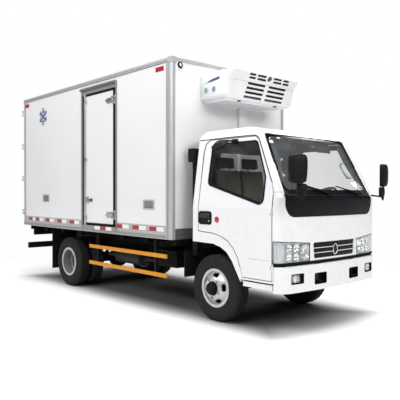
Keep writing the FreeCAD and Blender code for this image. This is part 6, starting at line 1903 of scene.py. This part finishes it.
def instruments():
    """Dials under their hood, air vents, controls and the glove lid."""
    hood, dials, marks, vents, slats, panel, keys = (Shape() for _ in range(7))
    # hood over the dials, ahead of the steering wheel
    rows = []
    for i in range(7):
        x = 770 + i * 26
        row = []
        for k in range(21):
            a = math.pi * k / 20
            y = 400 - 185 * math.cos(a)
            z = 1372 + (82 - i * 6) * math.sin(a) ** 0.55
            row.append((x, y, z))
        rows.append(row)
    hood.sheet(rows, (0, 0, -9))
    hood.make("dial_hood", "dash_grey", bevel=2)
    face = Shape()
    face.prism(rounded([(800, 232, 1352), (800, 568, 1352), (792, 568, 1436), (792, 232, 1436)], 30),
               (6, 0, 0))
    face.make("dial_panel", "screen_dark", bevel=2)
    for y, r in ((316, 40), (484, 40), (400, 22)):
        dials.lathe([(-1, r), (4, r), (4, r - 4), (-1, r - 4)], (795, y, 1396), (-1, 0, 0.1), 40)
        for k in range(13):
            a = math.radians(-225 + k * 22.5)
            d = Vector((0, math.cos(a), math.sin(a)))
            start = Vector((795, y, 1396)) + d * (r - 12)
            marks.sweep([start, start + d * 6], mirrored([(0.9, -1), (0.9, 1)]), (-1, 0, 0))
        a = math.radians(200 if r > 30 else 150)
        d = Vector((0, math.cos(a), math.sin(a)))
        marks.rod(Vector((793, y, 1396)), Vector((793, y, 1396)) + d * (r - 12), 1.4, 8)
    dials.make("dial_rings", "chrome")
    marks.make("dial_marks", "dial_face")
    for y in (760, 180, -40, -560, -780):
        x = dash_face(y, 1352)
        if x is None:
            continue
        vents.frame_prism(rounded(facing_x(x + 4, (y - 52, y + 52), (1322, 1382)), 12),
                          rounded(facing_x(x + 4, (y - 44, y + 44), (1330, 1374)), 8),
                          (-14, 0, 0))
        for k in range(5):
            z = 1336 + k * 8.5
            slats.box((x - 8, x + 4), (y - 45, y + 45), (z - 1.2, z + 1.2))
    vents.make("dash_vents", "grain_black", bevel=2)
    slats.make("dash_vent_slats", "grain_black", bevel=0.4)
    # centre stack: audio, heater knobs, switches
    x = dash_face(70, 1300, 760)
    panel.box((x - 8, x + 6), (-30, 170), (1246, 1308))
    panel.box((x - 6, x + 6), (-30, 170), (1188, 1236))
    panel.make("dash_audio", "screen_dark", bevel=3)
    for y in (-6, 70, 146):
        keys.lathe([(0, 0.1), (0, 17), (10, 15), (16, 12), (17, 0.1)], (x - 6, y, 1212), (-1, 0, 0), 24)
    for k in range(6):
        keys.box((x - 12, x - 6), (-18 + k * 30, 2 + k * 30), (1252, 1264))
    keys.make("dash_controls", "dash_grey", bevel=1)
    lid = Shape()
    x = dash_face(-480, 1270, 760)
    lid.frame_prism(rounded(facing_x(x + 3, (-720, -250), (1210, 1312)), 16),
                    rounded(facing_x(x + 3, (-714, -256), (1216, 1306)), 12), (-5, 0, 0))
    lid.box((x - 10, x + 2), (-510, -460), (1288, 1300))
    lid.make("glove_lid", "grain_black", bevel=1.5)


def controls():
    """Levers, pedals, stalks and the pad of the steering wheel."""
    levers, boots, knobs, pedals = Shape(), Shape(), Shape(), Shape()
    levers.sweep([(430, 172, 1040), (440, 172, 1180), (452, 172, 1290), (448, 170, 1372)],
                 round_section(8, 12), (1, 0, 0.1))
    levers.sweep([(250, 198, 1050), (300, 198, 1110), (352, 198, 1190)], round_section(9, 12), (0, 1, 0))
    levers.make("gear_and_brake_levers", "stainless")
    boots.lathe([(0, 62), (10, 60), (18, 46), (26, 48), (34, 36), (42, 38), (52, 24), (60, 12), (60, 9),
                 (0, 9)], (432, 172, 1036), (0.04, 0, 1), 32)
    boots.make("lever_boot", "rubber", smooth=60)
    knobs.lathe([(-18, 0.1), (-16, 12), (-6, 21), (6, 23), (16, 18), (22, 0.1)], (448, 170, 1382),
                (0, 0, 1), 28)
    knobs.lathe([(0, 0.1), (0, 13), (90, 14), (98, 8), (98, 0.1)], (336, 198, 1168), (0.55, 0, 0.83), 20)
    knobs.make("lever_knobs", "grain_black", smooth=60)
    for y, low in ((300, 900), (400, 900), (500, 880)):
        pedals.box((790, 800), (y - 32, y + 32), (low + 60, low + 120))
        pedals.sweep([(800, y, low + 90), (850, y, low + 160), (880, y, low + 250)], round_section(7, 10),
                     (0, 1, 0))
    pedals.make("pedals", "chassis", bevel=3)
    stalks, pad_piece = Shape(), Shape()
    tilt = Vector((-math.sin(math.radians(32)), 0, math.cos(math.radians(32))))
    hub = Vector((560, 400, 1440))
    down = hub - tilt * 62
    for side in (-1, 1):
        stalks.rod(down + Vector((10, side * 34, 0)), down + Vector((4, side * 165, 12)), 7, 12, 9)
    stalks.make("column_stalks", "grain_black", bevel=2)
    column = Shape()
    column.rod(hub - tilt * 300, hub - tilt * 44, 46, 28, 38)
    column.make("column_shroud", "dash_grey", bevel=4)
    pad_piece.lathe([(-16, 0.1), (-16, 66), (4, 72), (14, 66), (20, 40), (22, 0.1)],
                    hub - tilt * 8, tilt, 40)
    pad_piece.make("steering_pad", "grain_black", body="steering_wheel", smooth=60)


def cab_linings():
    """Sun visors, pillar handles, inside mirror, door linings and lamp."""
    visors, handle, mirror = Shape(), Shape(), Shape()
    for y in (-400, 400):
        points = []
        for k in range(9):
            t = -150 + k * 37.5
            p, n = front_skin(y + t, 2120)
            points.append(Vector((p.x - 96, y + t, 2112)))
        rows = [points, [q + Vector((38, 0, -150)) * 0.5 for q in points],
                [q + Vector((44, 0, -128)) for q in points]]
        visors.sheet(rows, (-14, 0, -4))
    visors.make("sun_visors", "seat_side", bevel=6, slot="plastic_grey")
    for side in (RIGHT, LEFT):
        z = [1700, 1715, 1790, 1865, 1880]
        inset = [52, 92, 98, 92, 52]
        path = []
        for zz, drop in zip(z, inset):
            p, n = corner_skin(side, 38, zz)
            path.append(p - n * (drop - 14))
        path = [path[0]] + [path[0].lerp(path[1], 0.7), path[1], path[2], path[3],
                            path[4].lerp(path[3], 0.7)] + [path[4]]
        handle.sweep(path, round_section(13, 12), (0, 1, 0))
    handle.make("pillar_handles", "sticker", smooth=60, slot="plastic_grey")
    p, n = front_skin(0, 2040)
    mirror.box((p.x - 118, p.x - 98), (-120, 120), (1992, 2050))
    mirror.rod((p.x - 98, 0, 2024), (p.x - 30, 0, 2068), 7, 12)
    mirror.make("inside_mirror", "grain_black", bevel=7)
    glass = Shape()
    glass.box((p.x - 120.5, p.x - 117.5), (-112, 112), (1999, 2043))
    glass.make("inside_mirror_face", "chrome", bevel=1)
    for name, side in SIDES:
        panel, crank = Shape(), Shape()
        y = side * 858
        panel.prism(rounded([(40, y, 1150), (780, y, 1110), (800, y, 1320), (40, y, 1500)], 50),
                    (0, -side * 10, 0))
        panel.prism(rounded(facing_y(y - side * 8, (120, 560), (1240, 1292)), 20), (0, -side * 42, 0))
        panel.make(f"door_lining_{name}", "seat_side", slot="plastic_grey", body=f"cab_door_{name}",
                   bevel=6)
        crank.rod((640, y - side * 8, 1200), (640, y - side * 30, 1200), 14, 16)
        crank.rod((640, y - side * 28, 1200), (600, y - side * 30, 1140), 7, 12)
        crank.rod((600, y - side * 28, 1140), (600, y - side * 62, 1140), 10, 14)
        crank.make(f"window_crank_{name}", "grain_black", body=f"cab_door_{name}", bevel=1)
    lamp = Shape()
    lamp.prism(rounded(facing_z(2216, (200, 330), (-70, 70)), 24), (0, 0, -16))
    lamp.make("cab_lamp", "sticker", bevel=5, slot="plastic_grey")


seats()
instruments()
controls()
cab_linings()


# ---------------------------------------------------------------- wheels
TYRE_TOP = [(66, HUB), (82, 377), (90, 360), (94, 347), (98.6, 322), (100, 295), (99.6, 276), (97, 255),
            (88, 240), (79, 228), (78, 203.6)]
GROOVES = (-44, -15, 15, 44)


def tyre(shape, station, middle, first=0.0):
    """A ribbed road tyre with zigzag grooves, notched shoulders and raised rings on its walls."""
    turns = 168
    radius = TYRE_TOP[0][1]
    rings = []
    for i in range(turns):
        a = math.tau * i / turns + first
        zig = 2.6 if i % 4 < 2 else -2.6
        # left wall up from the bore, tread across, right wall down
        profile = [(-across, r) for across, r in TYRE_TOP[::-1]]
        for centre in GROOVES:
            c = centre + zig
            half = 4.4
            profile += moved([(c - half, 0), (c - half * 0.6, -11), (c + half * 0.6, -11), (c + half, 0)],
                             0, radius)
        profile += TYRE_TOP
        notched = []
        for across, r in profile:
            drop = 0.0
            if i % 4 in (0, 1) and 56 < abs(across) < 92 and r > 355:
                drop = 4.5
            # raised rings on the wall
            bulge = 0.0
            if abs(r - 322) < 1 or abs(r - 255) < 1:
                bulge = 1.2
            notched.append((across + math.copysign(bulge, across), r - drop))
        d = upright(a)
        hub = Vector((station, middle, HUB))
        rings.append([hub + d * r + Vector((0, across, 0)) for across, r in notched])
    shape.tube(rings)


def wall_marks(shape, station, middle, side):
    """Fine raised rings and short ribs on the outer wall, with no lettering."""
    for r, wide, at in ((338, 1.6, 95.6), (300, 1.2, 100.2), (270, 1.2, 99.2), (243, 1.6, 90.5)):
        shape.lathe([(-2, r - wide), (1.2, r - wide * 0.5), (1.2, r + wide * 0.5), (-2, r + wide)],
                    (station, middle + side * at, HUB), (0, side, 0), 96)
    for k in range(72):
        d = upright(math.tau * k / 72)
        base = Vector((station, middle, HUB))
        shape.sweep([base + d * 346 + Vector((0, side * 93.6, 0)),
                     base + d * 358 + Vector((0, side * 90.2, 0))], mirrored([(2.2, -2), (1.4, 1.4)]),
                    (0, side, 0))


def lug(shape, at, normal, size=15, tall=24):
    """A wheel nut on its washer, with the stud's end."""
    at, normal = Vector(at), Vector(normal)
    shape.lathe([(-1, 0.1), (-1, size * 1.25), (3, size * 1.2), (5, size), (5, 0.1)], at, normal, 24)
    shape.rod(at + normal * 4, at + normal * (tall - 6), size, 6, size * 0.96)
    shape.rod(at + normal * (tall - 8), at + normal * tall, size * 0.5, 12)


# radii of the rims: the bored middle, the disc and the inside of the bead's flange
RIM_BORE, RIM_DISC, RIM_EDGE = 69.5, 178, 218
LUG_ANGLES = [math.radians(a) for a in (121, 49, -23, -95, -167)]


def wheels():
    """Tyres, nuts, hub caps, valves and drums of every wheel."""
    for name, side in SIDES:
        for axle, station, planes, face, hub_face, node, body in (
                ("front", 0, (756,), 881, 921, f"front_tyre_{name}", f"front_wheel_{name}"),
                ("rear", REAR_AXLE, (853, 603), 731, 790, f"rear_tyres_{name}", f"rear_wheels_{name}")):
            rubber, marks = Shape(), Shape()
            for k, plane in enumerate(planes):
                tyre(rubber, station, side * plane, 0.01 * k)
                if k == 0:
                    wall_marks(marks, station, side * plane, side)
            rubber.make(f"{axle}_tread_{name}", "tyre", body=body, smooth=34, replaces=(node,))
            marks.make(f"{axle}_tyre_rings_{name}", "tyre", body=body)
            nuts, caps, valve, drum = Shape(), Shape(), Shape(), Shape()
            for a in LUG_ANGLES:
                lug(nuts, (station + 108 * math.cos(a), side * (face - 1), HUB + 108 * math.sin(a)),
                    (0, side, 0), 12.5, 22)
            nuts.make(f"{axle}_lug_nuts_{name}", "nut_steel", body=body, bevel=0.6)
            caps.lathe([(-8, 0.1), (-8, 60), (0, 62), (6, 58), (12, 46), (16, 44), (20, 30), (21, 0.1)],
                       (station, side * (hub_face + 0.5), HUB), (0, side, 0), 44)
            for k in range(6):
                a = math.tau * k / 6
                caps.bolt((station + 52 * math.cos(a), side * (hub_face + 6), HUB + 52 * math.sin(a)),
                          (0, side, 0), 4.5, 5)
            caps.make(f"{axle}_hub_cap_{name}", "grain_black", body=body, smooth=50)
            ring = Shape()
            ring.lathe([(-6, 69), (3, 69), (5, 73), (5, 80), (0, 84), (-6, 84)],
                       (station, side * (face + 1), HUB), (0, side, 0), 60)
            ring.make(f"{axle}_hub_ring_{name}", "grain_black", body=body, bevel=1)
            turn = math.radians(71)
            root = Vector((station + 190 * math.cos(turn), side * (face - 46), HUB + 190 * math.sin(turn)))
            valve.rod(root, root + Vector((0, side * 34, 0)), 4, 12)
            valve.rod(root + Vector((0, side * 30, 0)), root + Vector((0, side * 42, 0)), 5, 12)
            valve.make(f"{axle}_valve_{name}", "rubber", body=body)
            inner = planes[-1] - 92
            drum.lathe([(0, 60), (0, 150), (12, 158), (60, 160), (96, 158), (96, 60)],
                       (station, side * inner, HUB), (0, side, 0), 56)
            for k in range(4):
                drum.lathe([(20 + k * 18, 157), (20 + k * 18, 164), (27 + k * 18, 164), (27 + k * 18, 157)],
                           (station, side * inner, HUB), (0, side, 0), 56)
            drum.make(f"{axle}_drum_{name}", "chassis", body=body, bevel=1)
            seat = Shape()
            # the bead flange's bright lip
            seat.lathe([(-4, 219), (1.5, 220), (3, 223), (2, 226), (-4, 227)],
                       (station, side * (planes[0] + 84), HUB), (0, side, 0), 96)
            seat.make(f"{axle}_flange_lip_{name}", "wheel_paint", body=body)


def off_axis(c, station):
    """How far a place lies from the axis of the wheels at a station."""
    return math.hypot(c.x - station, c.z - HUB)


for name, _ in SIDES:
    second_coat(f"front_rim_{name}", "chassis", lambda c, n: off_axis(c, 0) < RIM_BORE)
    node = f"rear_rims_{name}"
    # painted shade inside the twin wheels: the rear rims' barrels take a darker alloy and their discs
    # near-black
    second_coat(node, "alloy_mid",
                lambda c, n: abs(c.y) < 926 and RIM_DISC <= off_axis(c, REAR_AXLE) < RIM_EDGE)
    second_coat(node, "rim_disc_painted_shade", lambda c, n: RIM_BORE <= off_axis(c, REAR_AXLE) < RIM_DISC)
    second_coat(node, "chassis", lambda c, n: off_axis(c, REAR_AXLE) < RIM_BORE)
wheels()


# ---------------------------------------------------------------- chassis details
def tank_fittings():
    """Straps round the fuel tank, its cap and its gauge."""
    low, high = node_box("fuel_tank")
    straps, cap = Shape(), Shape()
    for x in (low.x + 170, high.x - 170):
        ring = rounded(facing_x(x, (low.y - 1.5, high.y + 1.5), (low.z - 1.5, high.z + 1.5)), 60, 6)
        mid = Vector((x, (low.y + high.y) / 2, (low.z + high.z) / 2))
        inner = [p + (mid - p).normalized() * 4 for p in ring]
        straps.frame_prism([p + (p - mid).normalized() * 1.5 + Vector((-19, 0, 0)) for p in ring],
                           [p + Vector((-19, 0, 0)) for p in inner], (38, 0, 0))
    straps.make("tank_straps", "alloy_dark", bevel=0.8)
    cap.lathe([(-4, 0.1), (-4, 34), (14, 36), (20, 32), (22, 0.1)], (high.x - 90, high.y - 110, high.z),
              (0, 0, 1), 32)
    cap.rod((low.x + 300, high.y - 160, high.z - 4), (low.x + 300, high.y - 160, high.z + 9), 30, 24)
    cap.make("tank_cap", "grain_black", bevel=1.5)


def battery_ribs():
    """Ribs and catches of the battery case."""
    low, high = node_box("battery_box")
    box = Shape()
    for k in range(5):
        z = low.z + 36 + k * 34
        box.box((low.x + 40, high.x - 40), (low.y + 4, low.y + 14), (z, z + 10))
    for x in (low.x + 90, high.x - 90):
        box.box((x - 14, x + 14), (low.y - 3, low.y + 8), (high.z - 58, high.z - 16))
    box.make("battery_case_ribs", "grain_black", bevel=2)


def reservoirs():
    """Air reservoirs beside the left rail, with their bands."""
    tanks, bands = Shape(), Shape()
    for x0, y, z in ((-1325, 475, 640), (-1325, 475, 470)):
        tanks.lathe([(0, 0.1), (0, 40), (12, 68), (26, 76), (514, 76), (528, 68), (540, 40), (540, 0.1)],
                    (x0, y, z), (1, 0, 0), 36)
        for x in (x0 + 110, x0 + 430):
            bands.lathe([(-14, 75), (-14, 79), (14, 79), (14, 75)], (x, y, z), (1, 0, 0), 36)
            bands.box((x - 14, x + 14), (349, 402), (z - 20, z + 20))
    tanks.make("air_reservoirs", "chassis")
    bands.make("reservoir_bands", "alloy_dark")


def springs():
    """Leaves, centre clamps and U bolts of the springs."""
    leaves, bolts = Shape(), Shape()
    for side in (RIGHT, LEFT):
        for station, reach, top in ((0, 560, HUB + 10), (REAR_AXLE, 600, HUB + 60)):
            for k in range(4):
                z = top + 14 + k * 16
                half = reach * (0.34 + 0.14 * k)
                leaves.box((station - half, station + half), (side * 349, side * 421.5), (z + 5, z + 8))
            for dx in (-62, 62):
                for y in (343, 428):
                    bolts.rod((station + dx, side * y, top - 46), (station + dx, side * y, top + 96), 7, 10)
                bolts.sweep([(station + dx, side * 343, top + 94), (station + dx, side * 428, top + 94)],
                            round_section(7, 8), (0, 0, 1))
            bolts.box((station - 80, station + 80), (side * 336, side * 434), (top - 44, top - 32))
    leaves.make("spring_leaves", "chassis")
    bolts.make("spring_clamps", "chassis", bevel=1)


def chassis_lines():
    """Brake pipes and a loom along the rails."""
    lines = Shape()
    for side in (RIGHT, LEFT):
        for z, r in ((700, 6), (684, 6), (640, 11)):
            y = side * (350 + r)
            points = [(700, y, z), (300, y, z), (-300, y, z + 4), (-900, y, z), (-1800, y, z + 3),
                      (-2600, y, z), (-3700, y, z)]
            lines.sweep(points, round_section(r, 8), (0, side, 0))
    lines.make("chassis_lines", "rubber", smooth=60)


def shock_absorbers():
    """A damper slanting up from each axle's end to the rail."""
    dampers = Shape()
    for side in (RIGHT, LEFT):
        for station, lean in ((120, 90), (REAR_AXLE + 130, 110)):
            foot, head = Vector((station, side * 330, 400)), Vector((station + lean, side * 338, 690))
            dampers.rod(foot, foot.lerp(head, 0.55), 30, 20)
            dampers.rod(foot.lerp(head, 0.5), head, 24, 20)
    dampers.make("dampers", "chassis", bevel=2)


def flap_bolts():
    """Bolts along the mud flaps' upper edges."""
    flaps = Shape()
    low, high = node_box("mud_flaps")
    for side in (RIGHT, LEFT):
        across = [side * (high.y - 60 - k * 110) for k in range(4)]
        flaps.bolts((low.x,), across, (high.z - 24,), (-1, 0, 0), 6, 5)
    flaps.make("flap_bolts", "stainless")


tank_fittings()
battery_ribs()
reservoirs()
springs()
chassis_lines()
shock_absorbers()
flap_bolts()


# ---------------------------------------------------------------- stage, light and camera
WORLD_LIGHT = 0.13
# name, place and aim in metres from the front axle, size in metres, watts
LAMPS = (
    ("overhead", (-1.2, 0.0, 8.5), (-1.2, 0, 0), (10.0, 6.0), 820),
    ("kerb_side", (-1.2, -7.0, 6.8), (-1.4, 0, 1.2), (11.0, 3.0), 650),
    ("ahead", (9.0, -1.0, 6.0), (0, 0, 1.5), (6.0, 3.0), 540),
    ("far_side", (-3.4, 8.0, 7.5), (-2.4, 0, 1.4), (8.0, 4.0), 400),
)


def seen_by(tree, *kinds):
    """One for rays of the kinds named, nought for the rest."""
    rays = tree.add("LightPath")
    share = rays.outputs[kinds[0]]
    for kind in kinds[1:]:
        share = tree.add("Math", share, rays.outputs[kind], operation="MAXIMUM").outputs[0]
    return share


def paper():
    """Paper that takes the truck's shadow, with painted shade under it, and fades to white farther off."""
    mat = bpy.data.materials.new("floor_paper")
    tree = Tree(mat)
    out = tree.add("OutputMaterial")
    where = tree.add("TexCoord").outputs["Object"]
    centred = tree.add("Mapping", Vector=where, Location=(0.05, 0.0, 0), Scale=(0.125, 0.165, 1))
    far = tree.add("TexGradient", gradient_type="SPHERICAL", Vector=centred).outputs["Fac"]
    spread = tree.add("MapRange", interpolation_type="SMOOTHSTEP", Value=far, From_Min=0.12, From_Max=0.55)
    near = tree.add("BsdfDiffuse")
    # painted shadow: under the truck the paper's colour darkens softly towards the middle of its footprint
    spots = tree.add("SeparateXYZ", where)
    edges = []
    for letter, middle, inner, outer in (("X", -0.15, 2.35, 3.15), ("Y", 0.0, 0.55, 1.25)):
        off = tree.add("Math", spots.outputs[letter], middle, operation="SUBTRACT")
        size = tree.add("Math", off, operation="ABSOLUTE")
        edges.append(tree.add("MapRange", interpolation_type="SMOOTHSTEP", Value=size, From_Min=inner,
                              From_Max=outer))
    outside_painted_shadow = tree.add("Math", *edges, operation="MAXIMUM")
    tree.set(near, tree.add("MapRange", Value=outside_painted_shadow, To_Min=0.14))
    white = tree.add("Emission", Strength=1.0)
    bright = tree.add("MixShader", spread, white, near)
    dim = tree.add("BsdfDiffuse", (0.6, 0.6, 0.6, 1))
    direct = seen_by(tree, "Is Camera Ray", "Is Glossy Ray", "Is Transmission Ray")
    tree.set(out, Surface=tree.add("MixShader", direct, dim, bright))
    return mat


def studio():
    """A floor, a world that is white where it is seen and dim as a light, and the lamps."""
    mesh = bpy.data.meshes.new("floor")
    mesh.from_pydata(facing_z(0, (-40, 40), (-40, 40)), [], [(0, 1, 2, 3)])
    mesh.materials.append(paper())
    floor = bpy.data.objects.new("floor", mesh)
    scene.collection.objects.link(floor)
    scene.world = bpy.data.worlds.new("studio")
    tree = Tree(scene.world)
    out = tree.add("OutputWorld")
    seen = tree.add("Background", (1, 1, 1, 1), 1.0)
    lit = tree.add("Background", (0.97, 0.98, 1.0, 1), WORLD_LIGHT)
    direct = seen_by(tree, "Is Camera Ray", "Is Transmission Ray")
    tree.set(out, Surface=tree.add("MixShader", direct, lit, seen))
    for name, at, aim, size, power in LAMPS:
        data = bpy.data.lights.new(name, "AREA")
        data.shape = "RECTANGLE"
        data.size, data.size_y = size
        data.energy = power
        lamp = bpy.data.objects.new(name, data)
        lamp.location = (AXLE + at[0], at[1], at[2])
        target = Vector((AXLE + aim[0], aim[1], aim[2]))
        lamp.rotation_euler = (target - lamp.location).to_track_quat("-Z", "Y").to_euler()
        scene.collection.objects.link(lamp)


studio()
camera_data = bpy.data.cameras.new("camera")
camera_data.sensor_width = 36
camera_data.lens = 48.10
camera = bpy.data.objects.new("camera", camera_data)
camera.location = (AXLE + 4.484, -5.1047, 1.4896)
camera.rotation_euler = [math.radians(a) for a in (89.2568, -0.1003, 48.0724)]
scene.collection.objects.link(camera)
scene.camera = camera
scene.view_settings.view_transform = "Standard"
